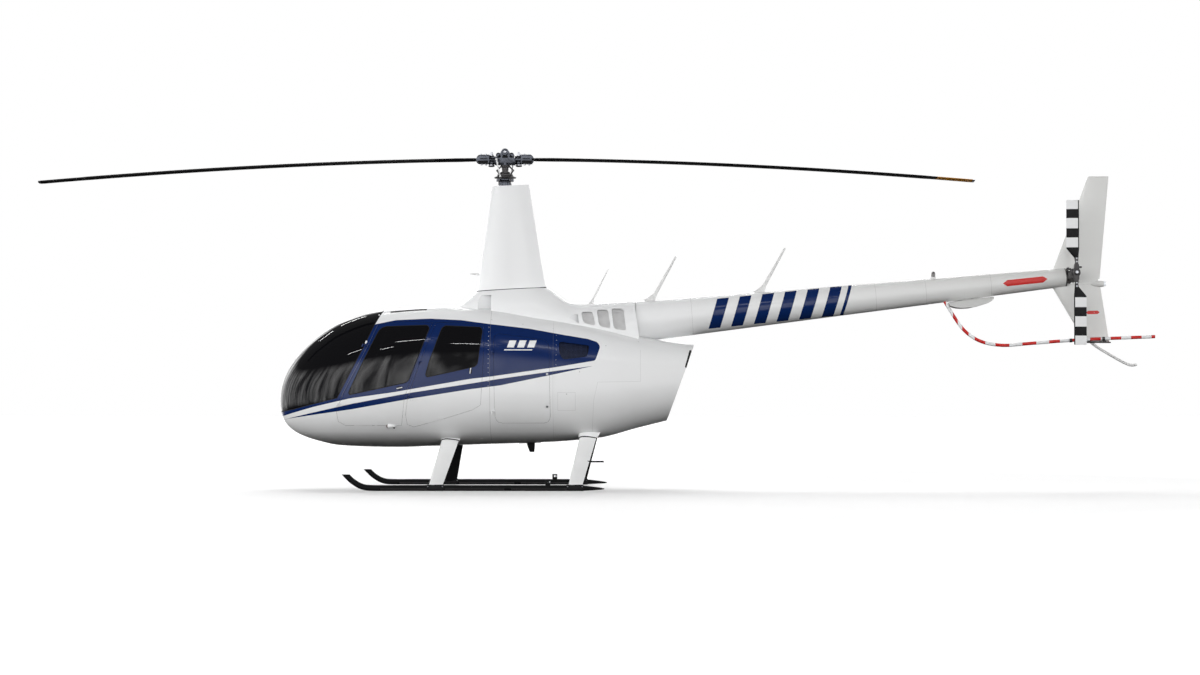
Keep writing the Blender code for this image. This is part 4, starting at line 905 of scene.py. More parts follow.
for name, slot, shade, second, metallic, smooth, rough, grain, depth in GRAINS:
    shine = 0.05 if slot == "black_paint" else 0.5
    made = Finish(name, slot, colour(*shade), smooth, metallic, **{"Specular IOR Level": shine})
    cloud = made.noise(grain / 25, 3.0)
    made.feed("Base Color", cloud.mixed(colour(*shade), colour(*second)))
    made.feed("Roughness", made.noise(grain / 12, 2.0) * (rough - smooth) + smooth)
    made.bump(made.noise(grain, 2.0), depth)

# %% [markdown]
# Acrylic glazing on a light helicopter is tinted, and against a bright sky it reads almost
# black with sharp reflections. A little of the cabin still shows through, so the pane is a
# dark, very smooth surface with a part-clear alpha and not an opaque one.

# %% Tinted glass, lamp glass
glass = Finish("glass", "dark_glass", colour(0.004, 0.004, 0.005), 0.02, **{"Specular IOR Level": 0.28})
glass.feed("Roughness", glass.noise(6.0, 3.0) * 0.03 + 0.012)
glass.feed("Alpha", glass.noise(1.5, 1.0) * 0.04 + 0.90)
LENSES = (("clear_lens", (0.80, 0.83, 0.86), 0.3), ("port_lens", (0.075, 0.012, 0.011), 0.0),
          ("green_lens", (0.010, 0.300, 0.060), 0.1), ("smoked_lens", (0.05, 0.045, 0.045), 0.0))
for name, tint, glow in LENSES:
    lens = Finish(name, "lamp_lens", colour(*tint), 0.08,
                  **{"Coat Weight": 1.0, "Emission Color": colour(*tint), "Emission Strength": glow})
    lens.feed("Roughness", lens.noise(60.0) * 0.08 + 0.05)
    lens.bump(lens.noise(150.0, 0.0, (1, 0.1, 1)), 0.4)

# %% [markdown]
# The floor is a matt white sheet that glows a little, so that it meets the pale background
# without a line. The glow grows with the distance from the helicopter.

# %% The floor's finish
NEAR_GLOW = colour(0.20, 0.20, 0.20)
FAR_GLOW = colour(0.48, 0.48, 0.48)
GLOW_FROM = 10.5
GLOW_FADE = 4.0
ground = Finish("floor_white", "white_paint", colour(0.74, 0.74, 0.74), 0.9,
                **{"Emission Color": NEAR_GLOW, "Emission Strength": 1.0})
spread = ground.place.math("SQRT", ground.x * ground.x + ground.y * ground.y)
ground.feed("Emission Color", spread.over(GLOW_FROM, GLOW_FADE).mixed(NEAR_GLOW, FAR_GLOW))
clouds = ground.noise(0.8, 3.0)
ground.feed("Base Color", clouds.mixed(colour(0.705, 0.705, 0.705), colour(0.735, 0.735, 0.735)))
print("finishes:", len(FINISHES))

# %% [markdown]
# The pod is three shells butted end to end: the cabin, the baggage bay and the engine cowl.
# Each is the same loft with a smaller one taken out, so the walls meet. A thin outer lip is
# left round every door opening, which closes the gap to a fine line as on the real aircraft,
# while the wall behind stays cut back for the door's swing.

# %% The skin's cutters
LIP = 0.004
LIP_GAP = 0.0022
REBATE = 0.016
BULKHEAD_X = -0.125
BULKHEAD = 0.020
BAGGAGE_END_X = 0.548
JOINT = 0.0003
WIDE = 1.2
DEEP, HIGH = 0.2, 2.4


def span(fore, aft, finish=0):
    """Everything between two stations."""
    plan = ((fore, DEEP), (aft, DEEP), (aft, HIGH), (fore, HIGH))
    return marked(prism(plan, -WIDE, WIDE), finish)


def rebated(outlines, inner=0.2, bare=False):
    """Cutters for openings: the clear one, and the wider one that stays under the lip."""
    clear = joined(*(through(offset(PANELS[name], LIP_GAP), inner, bare) for name in outlines))
    wider = joined(*(through(OPENINGS[name], inner, bare) for name in outlines))
    return (CUT, clear), (CUT, carve(wider, (KEEP, pod_solid(LIP))))


windshield_holes = joined(prism(WINDSHIELD, -WIDE, -MULLION / 2), prism(WINDSHIELD, MULLION / 2, WIDE))

# %% The cabin and the baggage bay
room = carve(pod_solid(WALL, 1), (CUT, span(BULKHEAD_X - BULKHEAD, 3, 1)))
cabin = carve(marked(pod_solid(), 0), (CUT, span(BULKHEAD_X, 3)), (CUT, room),
              (CUT, windshield_holes), *rebated(("front", "rear")))
settle("cabin_skin", cabin, "pod_paint", replaces=["cabin_shell"], lining="liner", skin=True)

room = carve(pod_solid(WALL, 1), (CUT, span(-3, BULKHEAD_X + JOINT, 1)),
             (CUT, span(BAGGAGE_END_X - BULKHEAD, 3, 1)))
bay = carve(pod_solid(), (KEEP, span(BULKHEAD_X + JOINT, BAGGAGE_END_X)), (CUT, room),
            *rebated(("baggage",), 0.3, True))
settle("baggage_skin", bay, "pod_paint", replaces=["baggage_bay"], lining="liner", skin=True)
print("cabin", len(cabin.polygons), "faces, baggage bay", len(bay.polygons))

# %% [markdown]
# The cowl ends in a slanted flat panel. The tail cone leaves above it through a clearance
# ring, the exhaust through a round hole, and cooling air through a screened opening.

# %% The engine cowl
TAIL_TOP = (2.011, 1.521)
TAIL_LOW = (1.718, 0.713)
CONE_FORE = (1.250, 1.7445, 0.218)
CONE_AFT = (5.957, 2.233, 0.0975)
CONE_GAP = 0.008
EXHAUST = ((1.4203, 0, 1.020), (2.020, 0, 0.875))
EXHAUST_HOLE = 0.115
TAIL_SCREEN_Z = 1.27
TAIL_SCREEN = rounded(((-0.25, -0.24), (0.25, -0.24), (0.30, 0.16), (-0.30, 0.16)), 0.06)


def tail_x(z):
    (x1, z1), (x0, z0) = TAIL_TOP, TAIL_LOW
    return x0 + (z - z0) * (x1 - x0) / (z1 - z0)


def behind_tail(ahead=0.0, finish=0):
    low, top = (tail_x(0.3) - ahead, 0.3), (tail_x(2.2) - ahead, 2.2)
    return marked(prism((low, top, (3.0, 2.2), (3.0, 0.3)), -WIDE, WIDE), finish)


def cone_point(x):
    (x0, z0, r0), (x1, z1, r1) = CONE_FORE, CONE_AFT
    t = (x - x0) / (x1 - x0)
    return Vector((x, 0, z0 + t * (z1 - z0))), r0 + t * (r1 - r0)


def cone_tube(start, end, grow=0.0, sides=72):
    (a, ra), (b, rb) = cone_point(start), cone_point(end)
    return tube([a, b], [ra + grow, rb + grow], sides)


def tail_outline(outline, shift):
    """An outline in the slanted end's plane, moved aft by the shift."""
    places = [(y, TAIL_SCREEN_Z + up) for y, up in outline]
    return [(tail_x(z) + shift, y, z) for y, z in places]


room = carve(pod_solid(WALL, 1), (CUT, behind_tail(0.02, 1)))
screen_hole = loft([tail_outline(TAIL_SCREEN, shift) for shift in (-0.1, 0.1)])
cowl = carve(pod_solid(), (CUT, span(-3, BAGGAGE_END_X + JOINT)), (CUT, behind_tail()), (CUT, room),
             (CUT, cone_tube(1.2, 5.0, CONE_GAP)), (CUT, screen_hole),
             (CUT, through(rounded(SIDE_VENT, 0.03), 0.4)),
             (CUT, tube(EXHAUST, EXHAUST_HOLE, 40)))
settle("engine_skin", cowl, "pod_paint", replaces=["engine_cowl"], lining="black", skin=True)
print("engine cowl", len(cowl.polygons), "faces")

# %% [markdown]
# A door is the same skin kept inside its outline. Its inner half is cut back all round, as a
# real door steps inwards over its seal. The window is cut clean through, and the pane fills
# the outer part of that hole.

# %% Doors and panes
PANE_GAP = 0.0012
skin = carve(pod_solid(), (CUT, pod_solid(WALL, 1)))
pane_skin = carve(pod_solid(), (CUT, pod_solid(PANE)))
below_edge = pod_solid(LIP + 0.003)


def step_cutter(name, near, far):
    """The inner half of a door's edge, which the rebate takes away."""
    panel = PANELS[name]
    rim = carve(prism(offset(panel, 0.05), near, far), (CUT, prism(offset(panel, -REBATE), near, far)))
    return carve(rim, (KEEP, below_edge))


for side, near, far in (("left", -1.0, -0.2), ("right", 0.2, 1.0)):
    for name in ("front", "rear"):
        hole = rounded(WINDOWS[name], 0.02, 3)
        door = carve(skin.copy(), (KEEP, prism(PANELS[name], near, far)),
                     (CUT, step_cutter(name, near, far)), (CUT, prism(hole, near, far)))
        settle(f"{name}_door_skin_{side}", door, "pod_paint", f"{name}_door_{side}",
               [f"door_{name}_{side}"], "liner", skin=True)
        pane = carve(pane_skin.copy(), (KEEP, prism(offset(hole, -PANE_GAP), near, far)))
        settle(f"{name}_pane_{side}", pane, "glass", f"{name}_door_{side}", [f"window_{name}_{side}"],
               skin=True)
door = carve(skin.copy(), (KEEP, prism(PANELS["baggage"], -1, -0.3)), (CUT, step_cutter("baggage", -1, -0.3)))
settle("baggage_door_skin", door, "pod_paint", "baggage_door", ["baggage_door"], "liner", skin=True)
half = MULLION / 2 + PANE_GAP
for side, near, far in (("left", -WIDE, -half), ("right", half, WIDE)):
    pane = carve(pane_skin.copy(), (KEEP, prism(offset(WINDSHIELD, -PANE_GAP), near, far)))
    settle(f"windshield_pane_{side}", pane, "glass", replaces=[f"windshield_{side}"], skin=True)
print("doors are cut from a skin of", len(skin.polygons), "faces")

# %% [markdown]
# Above the cabin sits a smooth cowl that takes in air at its shoulders and fairs the gearbox
# into the tail cone. In section it is an arch on straight sides, so it is lofted from a table
# of arches. The pod's own skin is cut out of it, which leaves the crease where they meet.

# %% The roof cowl
# x, highest z, half width at its base, z of that base
ARCHES = ((-0.560, 1.900, 0.100, 1.800), (-0.500, 1.925, 0.160, 1.800), (-0.415, 1.985, 0.230, 1.800),
          (-0.315, 2.075, 0.280, 1.790), (-0.200, 2.170, 0.310, 1.780), (0.000, 2.210, 0.330, 1.760),
          (0.200, 2.210, 0.330, 1.740), (0.400, 2.145, 0.320, 1.720), (0.510, 2.088, 0.310, 1.710),
          (0.578, 2.037, 0.305, 1.700), (0.646, 1.987, 0.300, 1.700), (0.713, 1.960, 0.295, 1.700),
          (0.866, 1.955, 0.285, 1.700), (1.150, 1.966, 0.270, 1.700), (1.460, 1.984, 0.262, 1.700))
ARCH_POINTS = 44
ARCH_STEPS = 90
STEP_FORE = (-0.320, 2.078)
STEP_AFT = (0.470, 2.124)
COWL_END = ((1.372, 1.990), (1.426, 1.600))
STRAIGHT_TO = 1.3
arch_section = smooth_table(ARCHES)


def arch(x, grow=0.0):
    """One section of the cowl, moved outwards by grow."""
    top, half, base = arch_section(x)
    ring = []
    for k in range(ARCH_POINTS + 1):
        a = math.pi * k / ARCH_POINTS
        ring.append((x, (half + grow) * math.cos(a), base + (top + grow - base) * math.sin(a)))
    return ring + [(x, -half - grow, STRAIGHT_TO), (x, half + grow, STRAIGHT_TO)]


def arched(grow=0.0):
    first, last = ARCHES[0][0], ARCHES[-1][0]
    return loft([arch(first + (last - first) * k / ARCH_STEPS, grow) for k in range(ARCH_STEPS + 1)])


def step_z(x):
    """The height of the step that the mast fairing stands on."""
    (x0, z0), (x1, z1) = STEP_FORE, STEP_AFT
    return z0 + (x - x0) * (z1 - z0) / (x1 - x0)


def slanted(ends, far_x):
    """Everything behind a slanted cut through the two points."""
    (x0, z0), (x1, z1) = ends
    line = [(x0 + (z - z0) * (x1 - x0) / (z1 - z0), z) for z in (HIGH, 1.2)]
    return prism((line[0], line[1], (far_x, 1.2), (far_x, HIGH)), -WIDE, WIDE)


# %% [markdown]
# Air enters the cowl by a wedge under each shoulder and by a small three-cornered scoop in
# each side, whose floor slopes inwards as it goes aft. Behind the scoop come three screened
# windows. All are cut as deep as they look, so their edges have thickness.

# %% Openings of the roof cowl
# Screened windows in the sides: fore x, aft x, lowest z fore and aft, highest z
SIDE_WINDOWS = ((0.8135, 0.9655, 1.742, 1.715, 1.862), (0.979, 1.127, 1.708, 1.685, 1.884),
                (1.133, 1.291, 1.679, 1.662, 1.897))
WINDOW_SLANT = 0.03
WINDOW_FLOOR_Y = 0.120
SHOULDER_PLAN = ((-0.274, 0.235), (-0.134, 0.170), (-0.134, 0.5), (-0.274, 0.5))
RAM_INLET = rounded(((0.649, 1.814), (0.782, 1.837), (0.793, 1.738)), 0.012)
RAMP_PLAN = ((0.640, -0.310), (0.800, -0.200), (0.800, -0.6), (0.640, -0.6))


def upright(plan, low, high):
    """A plan (x, y) carried up from one height to another."""
    return loft([[(x, y, z) for x, y in plan] for z in (low, high)])


def window_outline(fore, aft, low_fore, low_aft, high):
    corners = ((fore, high), (aft - WINDOW_SLANT, high), (aft, low_aft), (fore + WINDOW_SLANT, low_fore))
    return rounded(corners, 0.03)


above_step = prism(((-0.62, step_z(-0.62)), (0.470, step_z(0.470)), (0.470, 3), (-0.62, 3)), -1, 1)
intake = upright(SHOULDER_PLAN, 1.800, 2.038)
scoop = carve(prism(RAM_INLET, -0.6, -0.1), (KEEP, upright(RAMP_PLAN, 1.700, 1.900)))
roof = carve(arched(), (CUT, pod_solid(-JOINT)), (CUT, above_step), (CUT, slanted(COWL_END, 1.9)),
             (CUT, cone_tube(1.2, 5.0, CONE_GAP)), (CUT, mirrored(intake)), (CUT, mirrored(scoop)),
             *((CUT, through(window_outline(*row), WINDOW_FLOOR_Y)) for row in SIDE_WINDOWS))
settle("roof_cowl_skin", roof, "white_paint", replaces=["roof_cowl"])
print("roof cowl", len(roof.polygons), "faces")

# %% [markdown]
# The screened windows are wire cloth stretched over a shallow recess. Each screen here is a
# real grid of crossing wires, cut to the window, with a plate behind it: grey behind the
# cowl's windows, and black behind the side vent, as painted shade in the bay beyond.

# %% Screens
def grid(low, high, pitch, wire):
    """Two crossing layers of plates that fill a rectangle in side view, across the port side."""
    layers = []
    for axis in (0, 1):
        strips = []
        count = int((high[axis] - low[axis]) / pitch)
        for k in range(1, count):
            at = low[axis] + k * pitch
            start, end = low[1 - axis], high[1 - axis]
            corners = [(at - wire, start), (at + wire, start), (at + wire, end), (at - wire, end)]
            if axis:
                corners = [(b, a) for a, b in corners]
            strips.append(prism(corners, -1, -0.1))
        layers.append(joined(*strips))
    return layers


def screened(name, outline, solid, depth, pitch, wire, finish, back_finish):
    """A wire screen that follows the skin at a depth, on both sides, and what lies behind it."""
    xs, zs = [p[0] for p in outline], [p[1] for p in outline]
    hole = prism(offset(outline, -0.0008), -1, -0.1)
    layers = grid((min(xs), min(zs)), (max(xs), max(zs)), pitch, wire)
    wires = [carve(layer, (KEEP, hole.copy()), (KEEP, solid(-depth)), (CUT, solid(-depth - 0.0016)))
             for layer in layers]
    settle(name, mirrored(joined(*wires)), finish)
    back = carve(hole, (KEEP, solid(-depth - 0.005)), (CUT, solid(-depth - 0.007)))
    settle(f"{name}_back", mirrored(back), back_finish)


for k, row in enumerate(SIDE_WINDOWS):
    screened(f"cooling_screen_{k}", window_outline(*row), arched, 0.016, 0.012, 0.0012,
             "screen_grey", "screen_grey")
# The side vent's back plate is black: painted shade in the engine bay behind it.
screened("side_vent_screen", rounded(SIDE_VENT, 0.03), lambda grow: pod_solid(-grow), 0.020, 0.013, 0.0016,
         "navy_mesh", "black")

# %% [markdown]
# The mast fairing is a tall hollow fin over the shaft, a streamlined section all the way up.
# It stands on a step in the roof cowl with a dark gap between, so it is cut along that step.

# %% The mast fairing
BLUNT_EDGE = 0.05


def bow(t):
    """The half thickness of the section at a share of its chord, its trailing edge kept blunt."""
    return 1.48 * math.sqrt(t) - 0.63 * t - 1.758 * t**2 + 1.4215 * t**3 - 0.5075 * t**4 + BLUNT_EDGE * t


def airfoil(lead, trail, half, points=24):
    """Half a strut section: x and y from its leading to its trailing edge."""
    side = []
    for k in range(points + 1):
        t = (k / points) ** 2
        side.append((lead + (trail - lead) * t, 2 * half * bow(t)))
    return side


def airfoil_ring(lead, trail, half, z, points=24):
    side = airfoil(lead, trail, half, points)
    return [(x, y, z) for x, y in side] + [(x, -y, z) for x, y in side[:0:-1]]


# z, leading x, trailing x, half width
MAST = ((2.000, -0.320, 0.460, 0.172), (2.350, -0.270, 0.392, 0.155), (2.800, -0.205, 0.320, 0.130),
        (3.200, -0.149, 0.258, 0.109), (3.240, -0.144, 0.253, 0.106))
MAST_GAP = 0.010
SEAL_GAP = 0.012
mast_section = smooth_table(MAST)
heights = [2.0 + 1.2 * k / 40 for k in range(41)] + [3.220, 3.240]


def step_cut(gap, far_z):
    """What lies below or above the step's line, moved up by a gap."""
    ends = [(x, step_z(x) + gap) for x in (-0.6, 0.7)]
    return prism((*ends, (0.7, far_z), (-0.6, far_z)), -1, 1)


over = prism(((-0.4, 3.184), (0.4, 3.232), (0.4, 3.6), (-0.4, 3.6)), -1, 1)
mast = carve(loft([airfoil_ring(*mast_section(z), z) for z in heights]),
             (CUT, step_cut(MAST_GAP, 1.0)), (CUT, over),
             (CUT, tube([(0, 0, 2.90), (0, 0, 3.6)], 0.052, 48)))
settle("mast_skin", mast, "white_paint", replaces=["mast_fairing"])
foot = loft([airfoil_ring(-0.300, 0.440, 0.158, z) for z in (2.02, 2.16)])
neck = carve(foot, (CUT, step_cut(SEAL_GAP, 3)), (CUT, tube([(0, 0, 1.5), (0, 0, 3.0)], 0.05, 24)))
settle("mast_seal", neck, "rubber")

# %% [markdown]
# The tail cone is sheet metal rolled into tapered drums and riveted end to end. So it is one
# smooth cone with a raised band at each joint and a row of rivets on both sides of it. A
# rivet head is a low dome, the same mesh copied to every place along the ring.

# %% Rivets and screws
HEAD_SINK = 0.0005


def studs(places, radius, height, sides=8):
    """Low domes at places along their normals, in one mesh."""
    heads = []
    for place, normal in places:
        profile = ((-HEAD_SINK, radius), (height * 0.5, radius * 0.85), (height, radius * 0.35))
        heads.append(turned(place, normal, profile, sides))
    return joined(*heads)


def around_cone(x, count, lift):
    """Places evenly round the cone at a station, with their outward normals."""
    centre, radius = cone_point(x)
    places = []
    for k in range(count):
        a = 2 * math.pi * k / count
        normal = Vector((0, math.cos(a), math.sin(a)))
        places.append((centre + normal * (radius + lift), normal))
    return places


# %% The tail cone
CONE_JOINTS = (1.98, 4.46, 5.15)
BAND_LIFT = 0.0012
CONE_WALL = 0.010
CONE_END_X = 5.950
stations = [(CONE_FORE[0] + (CONE_AFT[0] - CONE_FORE[0]) * k / 60, 0.0) for k in range(61)]
for joint in CONE_JOINTS:
    stations += [(joint - 0.022, 0.0), (joint - 0.0218, BAND_LIFT),
                 (joint + 0.0218, BAND_LIFT), (joint + 0.022, 0.0)]
stations.sort()
path, radii = zip(*((cone_point(x)[0], cone_point(x)[1] + lift) for x, lift in stations))
cone = tube(path, list(radii), 96)
cone = carve(cone, (CUT, cone_tube(1.0, CONE_AFT[0] - 0.05, -CONE_WALL, 64)),
             (CUT, block((CONE_END_X, -0.3, 2.0), (6.1, 0.3, 2.5), 0.001)))
print("tail cone", len(cone.polygons), "faces")

# %% The cone's paint and rivets
# Slanted navy bars: x of the middle, half width
BARS = ((2.27, 0.062), (2.51, 0.062), (2.75, 0.062), (2.99, 0.062), (3.23, 0.062), (3.47, 0.062),
        (3.62, 0.018))
BAR_LEAN = 0.30
BAR_HALF = 0.155
SEAM_LINES = (1.973, 3.935, 4.470, 5.165)
SEAM_LEAN = 0.045
tail_paint, clean = gloss("tail_paint")
rise = (CONE_AFT[1] - CONE_FORE[1]) / (CONE_AFT[0] - CONE_FORE[0])
above_axis = tail_paint.z - ((tail_paint.x - CONE_FORE[0]) * rise + CONE_FORE[1])
leaning = tail_paint.x - above_axis * BAR_LEAN
bars = summed(abs(leaning - x).under(half) for x, half in BARS) * abs(above_axis).under(BAR_HALF)
lines = summed(stroke(tail_paint, (x + SEAM_LEAN, 1.4), (x - SEAM_LEAN, 2.6), 0.0013)
               for x in SEAM_LINES)
# A wider dark stroke where the cone enters the cowl is a painted shadow of that gap.
lines = lines + stroke(tail_paint, (1.383, 1.66), (1.391, 2.02), 0.006)
tail_paint.feed("Base Color", (lines * 0.5).mixed(bars.mixed(clean, NAVY), SEAM))
settle("tail_cone_skin", cone, "tail_paint", replaces=["tail_cone"])
heads = [place for joint in CONE_JOINTS for shift in (-0.012, 0.012)
         for place in around_cone(joint + shift, 60, 0.0008)]
for k in range(88):
    centre, radius = cone_point(1.5 + 0.05 * k)
    heads.append((centre + Vector((0, 0, -radius)), Vector(DOWN)))
settle("cone_rivets", studs(heads, 0.0032, 0.0011), "white_paint")
print("bars:", len(BARS), "rivets:", len(heads))

# %% [markdown]
# A plain red lozenge with a white edge marks the cone near the tail rotor. It is a decal, a
# thin skin that follows the cone, cut from a tube a fraction of a millimetre larger.

# %% A blank red lozenge
def decal(name, outline, shell, finish):
    """The port side of a thin shell, kept inside an outline."""
    settle(name, carve(shell, (KEEP, prism(outline, -1.0, 0.0))), finish)


LOZENGE = ((5.262, 0.0), (5.322, 0.041), (5.705, 0.041), (5.765, 0.0), (5.705, -0.041), (5.322, -0.041))
red = Finish("red_paint", "red_paint", colour(0.55, 0.015, 0.012), 0.3, **{"Specular IOR Level": 0.4})
red.feed("Base Color", red.noise(30.0).mixed(colour(0.50, 0.014, 0.012), colour(0.60, 0.022, 0.016)))
red.bump(red.noise(260.0, 1.0), 0.04)
for k, (shrink, lift, finish) in enumerate(((0.0, 0.0006, "white_paint"), (-0.008, 0.0012, "red_paint"))):
    plan = [(x, cone_point(x)[0].z + up) for x, up in offset(LOZENGE, shrink)]
    shell = carve(cone_tube(5.2, 5.9, lift, 96), (CUT, cone_tube(5.1, 5.95, lift - 0.0005, 96)))
    decal(f"lozenge_{k}", plan, shell, finish)

# %% [markdown]
# Fins and stabiliser are flat tapered aerofoils with a folded trailing edge. Their closed
# ends are rounded over the last few millimetres, where a plain loft would show a cut face.

# %% Fins
# Two rows each: z, leading x, trailing x
UPPER_FIN = ((2.165, 5.767, 6.311), (3.307, 6.197, 6.415))
LOWER_FIN = ((1.547, 6.157, 6.415), (2.210, 5.766, 6.311))
FIN_HALF = 0.026
FIN_JOINT = 0.0004
GEARBOX_AT = Vector((6.026, 0, 2.273))
CONE_REACH = 5.9573


def between(ends, t):
    """A row of numbers at a share of the way between two rows."""
    return [start + t * (end - start) for start, end in zip(*ends)]


def tip_shrink(share):
    """How much thinner a foil is near its tip, which this rounds."""
    return math.sqrt(max(1 - max(0, (share - 0.985) / 0.015) ** 2, 0.02))


def fin(ends, half, rows=14):
    """A tapered fin between two rows, rounded at its second one."""
    rings = []
    for share in [k / rows for k in range(rows)] + [1 - 0.010, 1 - 0.004, 1 - 0.001, 1.0]:
        z, lead, trail = between(ends, share)
        shrink = tip_shrink(share)
        rings.append(airfoil_ring(lead + 0.01 * (1 - shrink), trail, half * shrink, z, 20))
    return loft(rings)


gearbox_room = joined(tube([cone_point(5.9572)[0], cone_point(6.0905)[0]], 0.073, 24))
cross_room = tube([(6.026, 0.032, 2.247), (6.026, -0.117, 2.266)], 0.0655, 24)
rooms = ((CUT, cone_tube(5.0, CONE_REACH, FIN_JOINT)), (CUT, gearbox_room), (CUT, cross_room))
for name, ends, low, high in (("upper", UPPER_FIN, 1.9, 2.215), ("lower", LOWER_FIN[::-1], 2.135, 2.5)):
    inner_end = prism(((5.5, low), (6.6, low), (6.6, high), (5.5, high)), -1, 1)
    foil = carve(fin(ends, FIN_HALF), (CUT, inner_end), *rooms)
    settle(f"{name}_fin_skin", foil, "white_paint", replaces=[f"{name}_fin"])

# %% The stabiliser
# Two rows: y, leading x, trailing x
STABILIZER = ((-0.022, 5.988, 6.300), (0.740, 6.075, 6.315))
STABILIZER_HALF = 0.020
STABILIZER_Z = 2.175


def flat_ring(lead, trail, half, y, points=24):
    """A foil's section that lies flat, at a distance y along the stabiliser."""
    side = airfoil(lead, trail, half, points)
    return ([(x, y, STABILIZER_Z + t) for x, t in side]
            + [(x, y, STABILIZER_Z - t) for x, t in side[:0:-1]])


rings = []
for share in [k / 10 for k in range(10)] + [0.99, 0.996, 1.0]:
    y, lead, trail = between(STABILIZER, share)
    shrink = tip_shrink(share)
    rings.append(flat_ring(lead + 0.01 * (1 - shrink), trail, STABILIZER_HALF * shrink, y, 20))
plane = carve(loft(rings), (CUT, gearbox_room), (CUT, cross_room))
settle("stabilizer_skin", plane, "white_paint", replaces=["stabilizer"])

# %% Rivets and a lozenge on the fins
def fin_line(ends, share, count, margin):
    """Rivets up a fin's port and starboard faces at a share of its chord."""
    places = []
    for k in range(count):
        z, lead, trail = between(ends, margin + (1 - 2 * margin) * k / (count - 1))
        x, y = lead + share * (trail - lead), 2 * FIN_HALF * bow(share)
        places += [(Vector((x, s * y, z)), Vector((0, s, 0))) for s in (-1, 1)]
    return places


rivets = fin_line(UPPER_FIN, 0.30, 34, 0.07) + fin_line(UPPER_FIN, 0.72, 34, 0.07)
rivets += fin_line(LOWER_FIN, 0.30, 16, 0.12) + fin_line(LOWER_FIN, 0.72, 16, 0.12)
settle("fin_rivets", studs(rivets, 0.0030, 0.0010), "white_paint")
FIN_LOZENGE = ((6.168, 1.858), (6.188, 1.877), (6.292, 1.880), (6.314, 1.861), (6.292, 1.843),
               (6.188, 1.840))
shell = carve(fin(LOWER_FIN[::-1], FIN_HALF + 0.0004), (CUT, fin(LOWER_FIN[::-1], FIN_HALF + 0.0001)))
decal("fin_lozenge", FIN_LOZENGE, shell, "red_paint")
print("fins and stabiliser:", len(rivets), "rivets")

# %% [markdown]
# The tail gearbox is a cast case bolted to the cone's end flange, with a cross case that
# carries the tail rotor's shaft. Castings show flanges, bolts, ribs and a filler plug, and a
# bent lever beside it works the blades' pitch.

# %% The gearbox's castings
CONE_LINE = Vector((1, 0, 0.1038)).normalized()
END_RADIUS = cone_point(CONE_END_X)[1] + 0.0005
# Profiles: distance along the axis, radius
MAIN_CASE = ((0, 0.0715), (0.008, 0.0715), (0.010, 0.064), (0.034, 0.052), (0.060, 0.056),
             (0.118, 0.056), (0.128, 0.046), (0.132, 0.030))
CROSS_CASE = ((0, 0.040), (0.006, 0.058), (0.012, 0.063), (0.022, 0.063), (0.024, 0.054),
              (0.110, 0.050), (0.112, 0.060), (0.124, 0.060), (0.130, 0.050), (0.144, 0.034))
SHAFT_CASE = ((0, 0.034), (0.060, 0.029), (0.062, 0.024), (0.092, 0.024))


def circled(a, radius):
    """The way across the cone's line at an angle."""
    return Vector((0, radius * math.cos(a), radius * math.sin(a)))


flange = cone_point(CONE_REACH)[0]
case = [drum(cone_point(CONE_END_X - 0.001)[0], CONE_LINE, 0.0075, END_RADIUS, 40),
        turned(flange, CONE_LINE, MAIN_CASE, 40)]
for k in range(8):
    spot = flange + circled(2 * math.pi * k / 8 + 0.2, 0.062)
    case.append(block(spot + Vector((0.010, -0.003, -0.008)), spot + Vector((0.052, 0.003, 0.008)), 0.001))
x, _, z = GEARBOX_AT
case += [turned((x, 0.030, z - 0.026), PORT, CROSS_CASE, 40),
         turned((x, -0.108, z - 0.002), PORT, SHAFT_CASE, 32)]
case += [drum((x, -0.020 - 0.012 * k, z - 0.020), PORT, 0.004, 0.058, 40) for k in range(6)]
settle("gearbox_castings", joined(*case), "engine_grey", replaces=["tail_gearbox"])
print("gearbox:", len(case), "castings and ribs")

# %% Its bolts, plugs and pitch crank
fittings = []
for k in range(8):
    a = 2 * math.pi * k / 8
    fittings.append(hexagon(flange + CONE_LINE * 0.008 + circled(a, 0.066), CONE_LINE, 0.006, 0.0065))
    spot = (x + 0.055 * math.cos(a + 0.3), -0.094, z - 0.010 + 0.055 * math.sin(a + 0.3))
    fittings.append(hexagon(spot, PORT, 0.006, 0.006))
filler = ((0, 0.012), (0.012, 0.012), (0.014, 0.009))
sight_glass = ((-0.01, 0.014), (0.006, 0.014), (0.007, 0.011))
fittings += [turned((x - 0.030, -0.050, z + 0.040), (-0.2, 0, 1), filler, 16),
             drum((x + 0.020, -0.060, z - 0.075), (0.2, -0.4, -1), 0.010, 0.008, 6),
             turned((x - 0.052, -0.060, z - 0.014), (-1, -0.3, 0), sight_glass, 20)]
settle("gearbox_fittings", joined(*fittings), "dark_steel")
pivot, tail = (x - 0.060, -0.100, z + 0.050), (x - 0.066, -0.060, z - 0.040)
crank = [tube([pivot, (x - 0.042, -0.150, z + 0.030), (x - 0.020, -0.196, z + 0.036)], 0.006, 12),
         tube([pivot, (x - 0.065, -0.070, z - 0.010), tail], 0.006, 12),
         drum((x - 0.060, -0.112, z + 0.050), STARBOARD, 0.050, 0.012, 16),
         tube([tail, (x - 0.075, -0.075, z + 0.010), (x - 0.072, -0.080, z + 0.048)], 0.0035, 10)]
settle("pitch_crank", joined(*crank), "dark_steel")
root = loft([airfoil_ring(5.800, 6.300, 0.0225, height) for height in (2.130, 2.150, 2.200, 2.222)])
stabilizer_room = carve(loft([flat_ring(5.975, 6.32, 0.0205, side) for side in (-0.1, 0.1)]))
root = carve(root, (CUT, cone_tube(5.0, CONE_REACH, 0.001)), (CUT, gearbox_room), (CUT, cross_room),
             (CUT, stabilizer_room))
settle("fin_root_closure", root, "white_paint")
print("gearbox fittings:", len(fittings))

